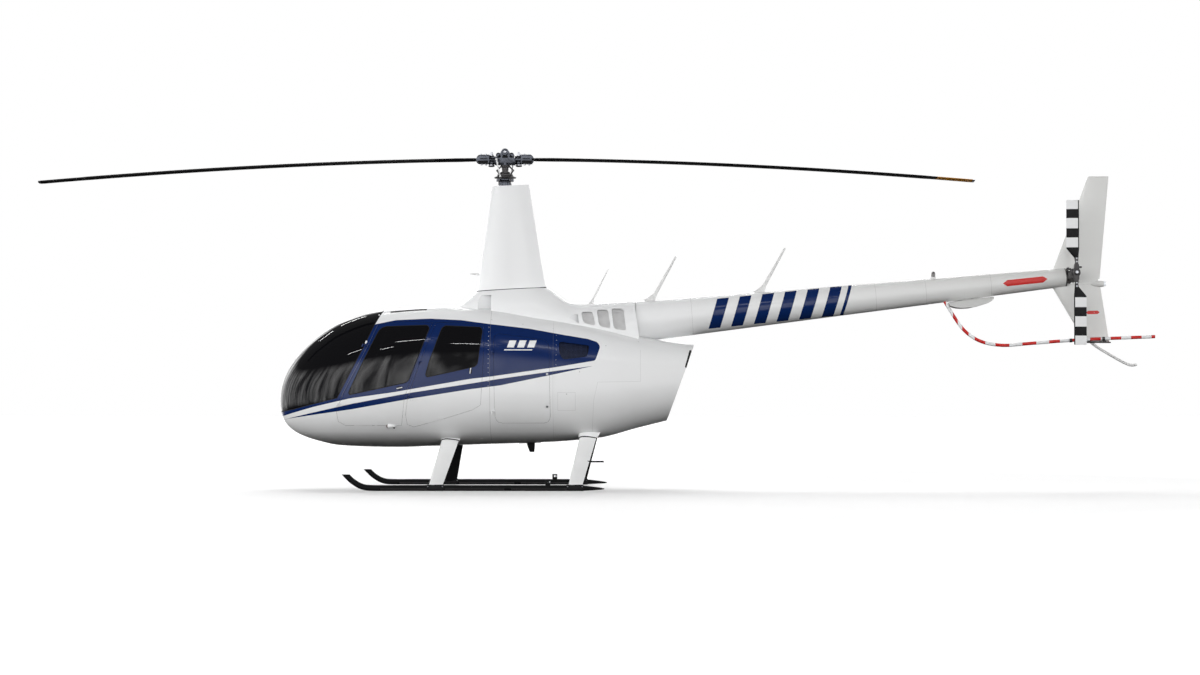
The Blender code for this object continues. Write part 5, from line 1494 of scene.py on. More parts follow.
# %% [markdown]
# The guard is one long bent tube under the tail rotor, banded red and white so that people
# keep clear of it. A table over x counts the bands, and the count's fraction is the place
# within one red and white pair.

# %% The guard's bands
guard_bands = Finish("guard_bands", "red_paint", colour(0.6, 0.02, 0.015), 0.3, **{"Specular IOR Level": 0.4})
# Where each red band starts along x: a steep tube needs shorter steps
BANDS_AT = ((4.60, 0.0), (4.755, 1.0), (4.850, 2.0), (4.980, 3.0), (5.200, 4.0), (5.485, 5.0), (5.770, 6.0),
            (7.066, 12.0))
count = height_at(guard_bands.x, BANDS_AT, (4.60, 7.066), (0.0, 12.0))
pair = count.math("FRACT", count)
guard_bands.feed("Base Color", pair.over(0.52, 0.01).mixed(colour(0.58, 0.018, 0.014), WHITE))
guard_bands.feed("Roughness", guard_bands.noise(25.0) * 0.2 + 0.2)
guard_bands.bump(guard_bands.noise(300.0, 1.0), 0.04)

# %% Guard, tail skid and tail light
GUARD = ((4.650, -0.030, 2.010), (4.746, -0.040, 1.848), (4.850, -0.050, 1.696), (4.954, -0.055, 1.602),
         (5.068, -0.058, 1.545), (5.200, -0.058, 1.517), (5.333, -0.058, 1.510), (5.523, -0.058, 1.526),
         (6.092, -0.058, 1.568), (6.888, -0.058, 1.602))
GUARD_RADIUS = 0.0175
CLAMP = ((0, 0.0180), (0.002, 0.0205), (0.028, 0.0205), (0.030, 0.0180))
FOOT = ((-0.01, 0.016), (0.004, 0.022), (0.010, 0.022), (0.030, 0.018))
path = smooth_path(GUARD, 8)
cone_room = cone_tube(4.4, 5.957, 0.0004)
path.append(path[-1] + Vector((0.003, 0, 0)))
guard = carve(tube(path, [GUARD_RADIUS] * (len(path) - 1) + [0.013], 18), (CUT, cone_room))
settle("guard_bar", guard, "guard_bands", replaces=["guard_tube"])
brackets = [turned((5.985, -0.058, 1.5601), (1, 0, 0.0738), CLAMP, 20),
            turned((6.330, -0.058, 1.5785), (1, 0, 0.045), CLAMP, 20),
            block((6.150, -0.050, 1.535), (6.425, 0.030, 1.548))]
brackets += [block((px, -0.060, 1.540), (px + 0.030, -0.018, 1.575)) for px in (6.180, 6.345)]
settle("guard_brackets", joined(*brackets), "dark_steel")
collar = turned((4.664, -0.032, 1.985), (-0.5, 0.05, 0.85), FOOT, 20)
settle("guard_foot", carve(collar, (CUT, cone_room)), "white_paint")
SKID_TAIL = ((6.210, 0, 1.552), (6.284, 0, 1.494), (6.379, 0, 1.436), (6.515, 0, 1.357), (6.610, 0, 1.310),
             (6.657, 0, 1.300), (6.709, 0, 1.307))
path = smooth_path(SKID_TAIL, 6)
prop = carve(tube(path, [0.0145] * (len(path) - 2) + [0.013, 0.007], 16),
             (CUT, block((6.0, -0.1, 1.5465), (6.6, 0.1, 1.9), 0.0001)))
settle("tail_skid_bar", prop, "aerial_paint", replaces=["tail_skid"])
FAIRING = ((0, 0.008), (0.012, 0.018), (0.040, 0.027), (0.080, 0.0325), (0.120, 0.0325), (0.138, 0.0295))
TAIL_LENS = ((0, 0.0275), (0.010, 0.0275), (0.022, 0.024), (0.030, 0.016), (0.034, 0.004))
settle("tail_light_fairing", turned((6.218, 0, 2.163), AFT, FAIRING, 32), "white_paint")
lens = turned((6.357, 0, 2.165), AFT, TAIL_LENS, 32)
settle("tail_light_lens", lens, "clear_lens", replaces=["tail_light"])
print("guard bent through", len(GUARD), "points")

# %% [markdown]
# Aerials are slender and easy to get wrong: a whip swells into a moulded foot, the forked
# navigation aerial is a drooping foil on a short strut, and the belly blade has its own
# base plate. Each foot is cut by the body it stands on, so it sits down on the skin.

# %% Whips and beacon
# name, foot, neck and tip (x, z), width at the foot and at the tip
WHIPS = (("fore", (0.905, 1.930), (0.940, 2.010), (1.097, 2.321), 0.022, 0.007),
         ("mid", (1.530, 1.960), (1.600, 2.060), (1.819, 2.457), 0.044, 0.016),
         ("aft", (2.700, 2.050), (2.760, 2.150), (2.979, 2.548), 0.044, 0.016))
BEACON_X = 4.553
BEACON_BASE = ((0, 0.034), (0.030, 0.034), (0.036, 0.029), (0.050, 0.0265))
BEACON_DOME = ((0, 0.0235), (0.030, 0.0235), (0.044, 0.021), (0.054, 0.014), (0.058, 0.005))
for name, foot, neck, tip, wide, thin in WHIPS:
    foot, neck, tip = (Vector((px, 0, pz)) for px, pz in (foot, neck, tip))
    stations = [(foot.lerp(neck, t), wide * (1.6 - 1.15 * t**0.6)) for t in (0, 0.2, 0.4, 0.6, 0.8)]
    stations += [(neck.lerp(tip, t), wide * 0.45 * (1 - t) + thin * 0.62 * t)
                 for t in (0, 0.1, 0.25, 0.5, 0.75, 0.99, 1.0)]
    radii = [radius for _, radius in stations[:-1]] + [thin * 0.3]
    whip = tube([place for place, _ in stations], radii, 18)
    cutter = arched(0.0004) if name == "fore" else cone_tube(1.3, 5.957, 0.0004)
    whip.transform(Matrix.Diagonal((1.0, 0.6, 1.0, 1.0)))
    settle(f"aerial_{name}", carve(whip, (CUT, cutter)), "aerial_paint", replaces=[f"whip_{name}"])
beacon_z = cone_point(BEACON_X)[0].z
base = carve(turned((BEACON_X, 0, beacon_z + 0.10), UP, BEACON_BASE, 32), (CUT, cone_room))
settle("beacon_base", base, "white_paint")
dome = turned((BEACON_X, 0, beacon_z + 0.150), UP, BEACON_DOME, 32)
settle("beacon_lens", dome, "smoked_lens", replaces=["beacon"])
print("whips:", len(WHIPS))

# %% The navigation aerial
NAV_X = 4.950
NAV_SCREWS = ((4.880, 2.055), (4.912, 2.055), (4.880, 2.030), (4.912, 2.030))
rows = []
for k in range(33):
    t = -1 + k / 16
    half = 0.245 * math.sqrt(max(1 - t * t, 0.01))
    thick = 0.012 * math.sqrt(max(1 - t * t, 0.03))
    side = airfoil(NAV_X - half, NAV_X + half, thick, 16)
    rows.append([(px, 0.20 * t, 1.993 - 0.08 * abs(t) + 0.135 * (px - NAV_X) + rise)
                 for px, rise in side + [(c, -r) for c, r in side[:0:-1]]])
strut = loft([airfoil_ring(4.858, 4.934, 0.013, 1.990), airfoil_ring(4.866, 4.930, 0.011, 2.110)])
nav = carve(joined(loft(rows)), (ADD, softened(strut, 0.0005)), (CUT, cone_room))
settle("nav_aerial", nav, "white_paint", replaces=["nav_antenna"])
places = [(Vector((px, side * 0.0125, pz)), Vector((0, side, 0)))
          for side in (-1, 1) for px, pz in NAV_SCREWS]
settle("nav_aerial_screws", studs(places, 0.005, 0.002, 12), "steel")
strap = carve(prism(((4.872, 2.00), (4.950, 2.00), (4.950, 2.138), (4.872, 2.138)), -0.3, 0.3),
              (KEEP, cone_tube(4.7, 5.1, 0.0026)), (CUT, cone_tube(4.6, 5.2, 0.0002)))
settle("nav_aerial_strap", strap, "white_paint")

# %% The belly blade and the pitot probe
# Sections of the blade and of its base plate: leading x, trailing x, half width, z
BELLY_BLADE = ((0.205, 0.322, 0.010, 0.560), (0.240, 0.318, 0.009, 0.440), (0.260, 0.313, 0.007, 0.384),
               (0.268, 0.309, 0.004, 0.378))
BELLY_PLATE = ((0.150, 0.380, 0.034, 0.55), (0.150, 0.380, 0.034, 0.45))
PROBE = ((0, 0.0035), (0.004, 0.006), (0.030, 0.0078), (0.072, 0.008))
PROBE_FOOT = ((0, 0.010), (0.003, 0.012), (0.110, 0.012))
belly_room = pod_solid(-JOINT)
blade_fin = joined(loft([airfoil_ring(*row, 14) for row in BELLY_BLADE]))
settle("belly_blade", carve(blade_fin, (CUT, belly_room)), "skid_black", replaces=["belly_antenna"])
base = loft([airfoil_ring(*row, 18) for row in BELLY_PLATE])
base = carve(base, (KEEP, pod_solid(-0.004)), (CUT, belly_room))
settle("belly_blade_base", base, "skid_black")
probe = joined(turned((-0.372, 0, 2.272), AFT, PROBE, 20),
               turned((-0.302, 0, 2.272), (1, 0, -0.08), PROBE_FOOT, 20))
mast_room = loft([airfoil_ring(*mast_section(height), height) for height in (2.1, 2.2, 2.3, 2.4)])
settle("pitot_probe", carve(probe, (CUT, mast_room)), "aerial_paint", replaces=["pitot_tube"])
print("belly blade of", len(BELLY_BLADE), "sections")

# %% [markdown]
# The skids are black tubes bent up at the front, cut level there and drawn out to a point at
# the back. Four streamlined legs carry them. Where a leg enters the belly the skin swells
# into a moulded collar with a dark rubber rim, and a saddle clamps each leg to its skid.

# %% The legs' sections
TREAD = 2.30
SKID_Z = 0.030
SKID_RADIUS = 0.030
# x, y and z of a leg's top, x of its foot, and its chord at the top and at the foot
FRONT_LEG = (-0.536, 0.289, 0.590, -0.658, 0.188, 0.138)
REAR_LEG = (0.912, 0.231, 0.630, 0.771, 0.185, 0.141)
LEG_HALF = 0.024


def leg_ring(leg, side, share, grow=0.0, points=18):
    """A leg's section at a share of the way down, moved outwards by grow."""
    top_x, top_y, top_z, low_x, top_chord, low_chord = leg
    x = top_x + share * (low_x - top_x)
    chord = top_chord + share * (low_chord - top_chord) + 2 * grow
    y = top_y + share * (TREAD / 2 - top_y)
    z = top_z + share * (SKID_Z + 0.012 - top_z)
    ring = airfoil_ring(x - chord / 2, x + chord / 2, LEG_HALF + grow, 0.0, points)
    return [(px, side * (y + 0.75 * py), z + 0.66 * py) for px, py, _ in ring]


def inboard_shade_ring(leg, side, share):
    """The inboard half of the leg's section moved out over the leg, and the rest inside it: painted shade."""
    outer, inner = leg_ring(leg, side, share, 0.0012), leg_ring(leg, side, share, -0.004)
    return [outer[k] if k > len(outer) // 2 else inner[k] for k in range(len(outer))]


# %% Skids
SIDES = {-1: "left", 1: "right"}
# x and z along the skid's bent front, and its pointed back
SKID_FRONT = ((-1.600, 0.195), (-1.560, 0.150), (-1.500, 0.095), (-1.410, 0.045), (-1.300, SKID_Z),
              (-1.000, SKID_Z))
SKID_BACK = ((0.780, SKID_Z), (0.900, 0.028), (1.040, 0.023), (1.070, 0.022))
TIP_Z = 0.168
LUG = (0.468, 0.522, 0.115)
LUG_HOLE_Z = 0.092
SHOES = ((-1.22, -0.74), (-0.56, 0.05), (0.12, 0.70))
SADDLE = ((0, 0.0302), (0.004, 0.0345), (0.172, 0.0345), (0.176, 0.0302))
BOLT = ((0, 0.007), (0.006, 0.007), (0.007, 0.005))
for side, name in SIDES.items():
    y = side * TREAD / 2
    front = smooth_path([(x, y, z) for x, z in SKID_FRONT], 6)
    back = [Vector((x, y, z)) for x, z in SKID_BACK]
    radii = [SKID_RADIUS] * (len(front) + 1) + [0.024, 0.0105, 0.004]
    skid = tube(front + back, radii, 28)
    skid = carve(skid, (CUT, block((-1.8, y - 0.1, TIP_Z), (-1.3, y + 0.1, 0.4), 0.001)))
    fore, aft, top = LUG
    hole = tube([((fore + aft) / 2, y + far, LUG_HOLE_Z) for far in (-0.05, 0.05)], 0.010, 20)
    lug = carve(block((fore, y - 0.006, 0.045), (aft, y + 0.006, top), 0.004), (CUT, hole))
    settle(f"skid_tube_{name}", joined(skid, lug), "skid_black", replaces=[f"skid_{name}"])
    shoes = []
    for x0, x1 in SHOES:
        shoe = tube([(x0, y, SKID_Z), (x1, y, SKID_Z)], SKID_RADIUS + 0.0028, 28)
        bore = tube([(x0 - 0.1, y, SKID_Z), (x1 + 0.1, y, SKID_Z)], SKID_RADIUS + 0.0004, 28)
        above = block((x0 - 0.1, y - 0.1, SKID_Z - 0.004), (x1 + 0.1, y + 0.1, 0.2), 0.001)
        below = block((x0 - 0.1, y - 0.1, -0.1), (x1 + 0.1, y + 0.1, 0.0005), 0.0001)
        shoes.append(carve(shoe, (CUT, bore), (CUT, above), (CUT, below)))
    settle(f"skid_shoes_{name}", joined(*shoes), "dark_steel")
    saddles, bolts = [], []
    for leg in (FRONT_LEG, REAR_LEG):
        x = leg[3]
        saddles.append(turned((x - 0.088, y, SKID_Z), AFT, SADDLE, 28))
        bolts += [turned((x + dx, y + dy, SKID_Z + 0.014), (0, dy, 0.028), BOLT, 6)
                  for dx in (-0.075, 0.075) for dy in (-0.030, 0.030)]
    bolts.append(turned((fore + 0.045, y, LUG_HOLE_Z), PORT, ((-0.016, 0.007), (0.016, 0.007)), 6))
    settle(f"leg_saddles_{name}", joined(*saddles), "rubber")
    settle(f"saddle_bolts_{name}", joined(*bolts), "steel")
print("skids", TREAD, "m apart, with", len(SHOES), "shoes on each")

# %% Legs, collars and rims
# Where a leg leaves its collar, as a share of the way down
LEG_ENTRY = {"front": 0.150, "rear": 0.165}
for side, name in SIDES.items():
    saddle_room = tube([(x, side * TREAD / 2, SKID_Z) for x in (-1.3, 1.2)], 0.0346, 28)
    for place, leg in (("front", FRONT_LEG), ("rear", REAR_LEG)):
        entry = LEG_ENTRY[place]
        body = loft([leg_ring(leg, side, share) for share in (0.02, 0.3, 0.6, 1.0)])
        body = carve(body, (CUT, pod_solid(-JOINT)), (CUT, saddle_room))
        settle(f"leg_{place}_skin_{name}", body, "leg_paint", replaces=[f"leg_{place}_{name}"])
        # A dark rubber layer covers each leg's inboard half: painted shade on the side that faces in and
        # down.
        inboard_shade = loft([inboard_shade_ring(leg, side, share) for share in (entry + 0.016, 0.4, 0.7, 1.0)])
        settle(f"leg_inboard_shade_{place}_{name}", carve(inboard_shade, (CUT, saddle_room)), "rubber")
        collar_room, rim_room = (loft([leg_ring(leg, side, share, gap) for share in (-0.1, 0.4)])
                                 for gap in (0.0015, 0.0004))
        collar = loft([leg_ring(leg, side, entry * (0.1 + 0.9 * t), 0.009 + 0.040 * (1 - t) ** 1.6)
                       for t in (k / 12 for k in range(13))])
        collar = carve(collar, (CUT, pod_solid(0.004)), (CUT, collar_room))
        settle(f"leg_collar_{place}_{name}", collar, "leg_paint")
        rim = loft([leg_ring(leg, side, entry + down, grow)
                    for down, grow in ((-0.008, 0.0065), (0.006, 0.0060), (0.012, 0.0035))])
        settle(f"leg_rim_{place}_{name}", carve(rim, (CUT, rim_room)), "rubber")
print("legs:", len(SIDES) * len(LEG_ENTRY))

# %% The boarding step
STEP_ROD = ((0, 0.013), (0.006, 0.013), (0.008, 0.0085), (0.190, 0.0085), (0.198, 0.0085), (0.200, 0.0112),
            (0.206, 0.0112), (0.208, 0.009))
STEP_RIDGE = ((0, 0.0085), (0.001, 0.0098), (0.004, 0.0098), (0.005, 0.0085))
ridges = [turned((0.930 + 0.008 * k, -0.760, 0.292), AFT, STEP_RIDGE, 20) for k in range(14)]
step = joined(turned((0.852, -0.760, 0.292), AFT, STEP_ROD, 20), *ridges)
settle("step_rod", step, "skid_black", replaces=["boarding_step"])
print("boarding step:", len(ridges), "ridges")

# %% [markdown]
# Upholstery is foam pulled tight in leather: it crowns in the middle and its seams pull in.
# So each pad starts as a slab of even small faces and is blown up a little as cloth under
# pressure, no further than its cap. The sewn channels come after, as narrow dents.

# %% One pad, blown up
VOXEL = 0.008
SWELL = 0.013
PRESSURE = 4.0
EDGE_SEAM_IN = 0.035
SEAM_DEPTH = 0.006
SEAM_WIDTH = 0.007
scene = bpy.context.scene


def as_seen(piece):
    """A new mesh of the piece as its modifiers leave it."""
    return bpy.data.meshes.new_from_object(piece.evaluated_get(bpy.context.evaluated_depsgraph_get()))


def pad_mesh(width, length, thick, channels):
    """A cushion about the origin: width along x, length along y. Channels are its seams' y."""
    slab = block((-width / 2, -length / 2, -thick / 2), (width / 2, length / 2, thick / 2), 0.016)
    piece = link("pad", slab)
    even = piece.modifiers.new("even", "REMESH")
    even.mode = "VOXEL"
    even.voxel_size = VOXEL
    flat = as_seen(piece)
    piece.modifiers.clear()
    piece.data = flat
    start = [v.co.copy() for v in flat.vertices]
    cloth = piece.modifiers.new("fill", "CLOTH")
    cloth.settings.use_pressure = True
    cloth.settings.uniform_pressure_force = PRESSURE
    cloth.settings.effector_weights.gravity = 0
    for frame in range(1, 21):
        scene.frame_set(frame)
    full = as_seen(piece)
    scene.frame_set(1)
    for v, before in zip(full.vertices, start):
        move = v.co - before
        v.co = before + move * min(1.0, SWELL / max(move.length, 1e-6))
    flat = full
    bpy.data.objects.remove(piece)
    for v in flat.vertices:
        edge = min(width / 2 - abs(v.co.x), length / 2 - abs(v.co.y))
        edge_seam = abs(edge - EDGE_SEAM_IN) if edge > 0.02 else 1.0
        near = min([abs(v.co.y - at) for at in channels] + [edge_seam])
        if v.co.z > 0:
            v.co.z -= SEAM_DEPTH * math.exp(-(near / SEAM_WIDTH) ** 2)
    return flat


def laid(mesh, place, lean):
    """A pad's copy set at a place: its length runs fore and aft, tipped up by its lean."""
    made = mesh.copy()
    turn = Matrix.Rotation(-math.radians(lean), 4, "Y") @ Matrix.Rotation(math.radians(-90), 4, "Z")
    made.transform(Matrix.Translation(place) @ turn)
    return made


# %% [markdown]
# A front seat is a moulded box that holds its cushion and back pad, and the rear bench is
# the same along the bulkhead. A sewn seam runs round each pad near its edge, and webbing
# straps lie over the back.

# %% Webbing and the pads
FLOOR_TOP = 0.560
# name, x, and y of its two sides
SEATS = (("front_left", -1.020, -0.560, -0.060), ("front_right", -1.020, 0.060, 0.560),
         ("rear_left", -0.3303, -0.585, -0.020), ("rear_right", -0.3303, 0.020, 0.585))
SEAT_WIDTH = 0.5
BELT_WIDTH = 0.045
# Side view of a seat's shell, and its belts: x aft of the seat, y out from its middle, z
SEAT_SHELL = ((-0.300, FLOOR_TOP), (-0.272, 0.838), (0.030, 0.822), (0.070, 0.855), (0.148, 1.345),
              (0.168, 1.455), (0.178, 1.462), (0.184, 1.300), (0.158, FLOOR_TOP))
SHOULDER_BELT = ((0.170, 0.060, 1.470), (0.120, 0.070, 1.462), (0.072, 0.085, 1.330),
                 (0.040, 0.110, 1.150), (0.000, 0.150, 0.960), (-0.040, 0.190, 0.912))
LAP_BELT = ((0.010, 0.215, 0.890), (-0.060, 0.180, 0.915), (-0.105, 0.090, 0.922), (-0.115, 0.030, 0.922))
cushion = pad_mesh(0.455, 0.300, 0.070, (-0.045, 0.045))
backrest = pad_mesh(0.455, 0.560, 0.050, (-0.14, 0.0, 0.14))
inside = pod_solid(WALL + 0.006)


def webbing(points, width, thick=0.0016):
    """A flat strap through points, lying across y."""
    path = smooth_path(points, 6)
    rings = []
    for k, point in enumerate(path):
        ahead = path[min(k + 1, len(path) - 1)] - path[max(k - 1, 0)]
        across = Vector((0, 1, 0)) if abs(ahead.normalized().y) < 0.8 else Vector((1, 0, 0))
        up = ahead.cross(across).normalized() * thick
        across = across * width / 2
        rings.append([point + across + up, point - across + up, point - across - up, point + across - up])
    return loft(rings)


# %% Seats and belts
for name, x, near, far in SEATS:
    y = (near + far) / 2
    shell = prism([(x + aft, z) for aft, z in SEAT_SHELL], near, far)
    shell = carve(softened(shell, 0.010), (KEEP, inside.copy()))
    wide = (far - near) / SEAT_WIDTH
    there, back = (Matrix.Translation((0, way * y, 0)) for way in (1, -1))
    stretch = there @ Matrix.Diagonal((1, wide, 1, 1)) @ back
    node = ["seat_rear"] if name.startswith("rear") else [f"seat_{name}"]
    settle(f"seat_shell_{name}", shell, "moulding", replaces=node)
    for label, pad, place, lean in (("cushion", cushion, (x - 0.130, y, 0.862), 1.5),
                                    ("backrest", backrest, (x + 0.083, y, 1.165), 78.5)):
        mesh = laid(pad, place, lean)
        mesh.transform(stretch)
        piece = settle(f"seat_{label}_{name}", mesh, "leather", replaces=node)
    belts = [webbing([(x + aft, y + side * out, z) for aft, out, z in belt], BELT_WIDTH)
             for side in (-1, 1) for belt in (SHOULDER_BELT, LAP_BELT)]
    settle(f"seat_belts_{name}", joined(*belts), "webbing")
    buckle = [block((x - 0.140, y - 0.038, 0.918), (x - 0.090, y + 0.038, 0.934), 0.004),
              block((x - 0.128, y - 0.050, 0.920), (x - 0.102, y + 0.050, 0.928))]
    settle(f"seat_buckle_{name}", joined(*buckle), "steel")
print("seats:", len(SEATS), "cushion faces", len(cushion.polygons))

# %% [markdown]
# The cockpit is a carpeted floor, a pedestal with a slanted instrument panel, a cyclic stick
# whose bar reaches both pilots, collective levers and pedals. Each dial carries ticks and a
# pointer, as thin raised bars, and no words.

# %% Floor and console
PEDESTAL = ((-1.900, FLOOR_TOP), (-1.978, 1.075), (-1.905, 1.128), (-1.755, 1.098), (-1.700, FLOOR_TOP))
PANEL = rounded(((-1.955, 0.960), (-1.930, 1.170), (-1.745, 1.130), (-1.780, 0.960)), 0.02)
deck = block((-2.05, -0.9, FLOOR_TOP - 0.02), (-0.1456, 0.9, FLOOR_TOP), 0.0005)
deck = carve(pod_solid(WALL + 0.0006), (KEEP, deck))
settle("floor_carpet", deck, "carpet", replaces=["cabin_floor"])
console = joined(softened(prism(PEDESTAL, -0.16, 0.16), 0.018, 3),
                 softened(prism(PANEL, -0.30, 0.30), 0.012, 3))
settle("console_body", console, "moulding", replaces=["instrument_console"])
print("floor and console", len(console.polygons), "faces")

# %% Dials and knobs
FACE_LOW, FACE_TOP = Vector((-1.780, 0, 0.960)), Vector((-1.745, 0, 1.130))
# Two rows: height up the panel's face, radius, and each dial's y
DIALS = ((0.046, 0.030, (-0.240, -0.160, 0.160, 0.240)), (0.122, 0.034, (-0.240, -0.150, 0.150, 0.240)))
KNOB = ((0, 0.006), (0.010, 0.005), (0.014, 0.003))
RIM = 0.005
up = (FACE_TOP - FACE_LOW).normalized()
out = Vector((up.z, 0, -up.x))


def spoke(centre, degrees, start, end, thick):
    """A thin bar on a dial, along a ray from its centre."""
    a = math.radians(degrees)
    ray = Vector((0, math.cos(a), 0)) + up * math.sin(a)
    return tube([centre + ray * start, centre + ray * end], thick, 6)


bezels, faces, marks = [], [], []
for rise, radius, row in DIALS:
    for y in row:
        at = FACE_LOW + up * rise + Vector((0, y, 0))
        bezel = ((-0.002, radius), (0.006, radius), (0.008, radius - 0.002), (0.005, radius - RIM),
                 (0.002, radius - RIM))
        bezels.append(turned(at, out, bezel, 28))
        faces.append(drum(at, out, 0.0035, radius - RIM, 28))
        marks += [spoke(at + out * 0.0038, -40 + 26 * k, radius - 0.010, radius - 0.006, 0.0006)
                  for k in range(11)]
        marks.append(spoke(at + out * 0.0042, 70 + 900 * y, -0.004, radius - 0.010, 0.0009))
low, high = (FACE_LOW + up * rise + out * 0.001 for rise in (0.020, 0.150))
corners = ((low, -0.10), (high, -0.10), (high, 0.10), (low, 0.10))
display = loft([[(p.x + out.x * d, y, p.z + out.z * d) for p, y in corners] for d in (0.0, 0.006)])
bezels += [turned(FACE_LOW + up * 0.008 + Vector((0, -0.27 + 0.06 * k, 0)), out, KNOB, 12) for k in range(10)]
settle("dial_bezels", joined(*bezels), "skid_black")
settle("dial_faces", joined(*faces, softened(display, 0.002)), "black")
settle("dial_marks", joined(*marks), "white_paint")
print("dials:", len(faces), "marks:", len(marks))

# %% Stick, levers and pedals
STICK = ((-1.400, 0, FLOOR_TOP + 0.01), (-1.405, 0, 0.700), (-1.430, 0, 0.860), (-1.470, 0, 1.030))
STICK_BOOT = ((0, 0.060), (0.010, 0.056), (0.030, 0.030), (0.060, 0.020), (0.070, 0.015))
GRIP = ((-1.468, 0.322, 1.036), (-1.472, 0.330, 0.990), (-1.462, 0.334, 0.930))
GRIP_HEAD = ((0, 0.014), (0.016, 0.016), (0.030, 0.012), (0.034, 0.006))
stick = [tube(smooth_path(STICK, 6), 0.0145, 20), turned((-1.400, 0, FLOOR_TOP), UP, STICK_BOOT, 28),
         turned((-1.468, 0, 1.030), STARBOARD, ((-0.022, 0.022), (0.022, 0.022)), 20),
         tube([(-1.468, -0.330, 1.030), (-1.468, 0.330, 1.030)], 0.0105, 18)]
for side in (-1, 1):
    grip = smooth_path([(x, side * y, z) for x, y, z in GRIP], 6)
    stick.append(tube(grip, [0.013 + 0.003 * math.sin(k * 0.9) for k in range(len(grip))], 18))
    stick.append(turned((-1.470, side * 0.323, 1.036), (0.1, 0, 1), GRIP_HEAD, 20))
settle("cyclic_bar", joined(*stick), "skid_black", replaces=["cyclic_stick"])
levers, pedals = [], []
for y in (-0.585, 0.035):
    levers += [tube([(-1.120, y, 0.640), (-1.420, y, 0.790)], 0.012, 16),
               tube([(-1.340, y, 0.750), (-1.450, y, 0.805)], 0.017, 16)]
for y in (-0.340, -0.180, 0.180, 0.340):
    pedals += [tube([(-1.920, y, FLOOR_TOP - 0.002), (-1.960, y, 0.740)], 0.007, 12),
               block((-1.982, y - 0.045, 0.715), (-1.962, y + 0.045, 0.790), 0.005)]
    pedals += [tube([(-1.964, y + end, 0.728 + 0.014 * k) for end in (-0.040, 0.040)], 0.004, 8)
               for k in range(4)]
settle("collective_levers", joined(*levers), "rubber")
settle("foot_pedals", carve(joined(*pedals), (KEEP, pod_solid(WALL + 0.004))), "engine_grey")
print("controls:", len(levers) // 2, "levers, pedals from", len(pedals), "parts")

# %% [markdown]
# The engine bay shows only through the screens and the exhaust's hole: a turbine's round case
# with its flanges and pipes on a cast gearbox. The exhaust is a thin rolled pipe with a lip,
# browned by heat near the engine and blued towards its end.

# %% Engine
GEAR_CASE = ((0.640, 0.94), (0.700, 0.905), (0.980, 0.905), (1.000, 0.94), (1.000, 1.36), (0.960, 1.395),
             (0.680, 1.395), (0.640, 1.36))
TURBINE = ((0, 0.200), (0.020, 0.215), (0.040, 0.215), (0.050, 0.185), (0.180, 0.175), (0.200, 0.210),
           (0.225, 0.210), (0.235, 0.165), (0.360, 0.140), (0.380, 0.160), (0.400, 0.160), (0.440, 0.120))
AIR_PIPE = ((0.70, 0.205, 1.30), (0.85, 0.250, 1.26), (1.02, 0.245, 1.20), (1.18, 0.215, 1.16))
PUMP = ((0, 0.070), (0.030, 0.070), (0.034, 0.060), (0.060, 0.056))
engine = [softened(prism(GEAR_CASE, -0.200, 0.200), 0.02, 3), turned((0.98, 0, 1.12), AFT, TURBINE, 44)]
engine += [carve(block((x, -0.220, 0.520), (x + 0.040, 0.220, 0.920), 0.006), (KEEP, pod_solid(WALL + 0.001)))
           for x in (0.700, 1.300)]
engine += [tube(smooth_path([(x, side * y, z) for x, y, z in AIR_PIPE], 6), 0.016, 14) for side in (-1, 1)]
engine += [turned((0.82, side * 0.195, 1.05), (0, side, 0), PUMP, 28) for side in (-1, 1)]
settle("engine_casting", joined(*engine), "engine_grey", replaces=["engine_block"])
print("engine:", len(engine), "parts")

# %% Exhaust
heat = Finish("heated_steel", "dark_metal", colour(0.30, 0.28, 0.27), 0.35, 0.9)
burnt = (heat.x - 1.45) / 0.55 + heat.noise(9.0, 3.0) * 0.5 - 0.25
heat.feed("Base Color", burnt.mixed(colour(0.30, 0.20, 0.14), colour(0.16, 0.17, 0.21)))
heat.feed("Roughness", heat.noise(40.0, 3.0) * 0.3 + 0.28)
heat.bump(heat.noise(220.0, 1.0), 0.05)
(x0, _, z0), (x1, _, z1) = EXHAUST
way = Vector((x1 - x0, 0, z1 - z0))
length = way.length
profile = ((0, 0.112), (0.010, 0.112), (0.012, 0.105), (length - 0.014, 0.105), (length - 0.010, 0.109),
           (length - 0.002, 0.109), (length, 0.106))
bore = tube([Vector((x0, 0, z0)) + way * t for t in (0.30, 1.2)], 0.099, 56)
pipe = carve(turned((x0, 0, z0), way, profile, 56), (CUT, bore), (CUT, behind_tail(0.002)))
settle("exhaust_liner", pipe, "heated_steel", replaces=["exhaust_pipe"])
print("exhaust", round(length, 3), "m long")

# %% [markdown]
# The rotor head is a teetering one: the whole head rocks on one bolt across the shaft, and
# each blade flaps on its own bolt further out. So the head reads as a yoke of two cheeks
# round a bearing block, a tall bolt stack on each side, and two forged grips with pockets.

# %% A main blade's shape
BLADE_ROOT = 0.285
ROTOR_RADIUS = 4.980
ROTOR_CHORD = 0.265
LEAD_SHARE, TRAIL_SHARE = -0.28, 0.72
DROOP = 0.235
BLADE_PITCH = math.radians(0.5)


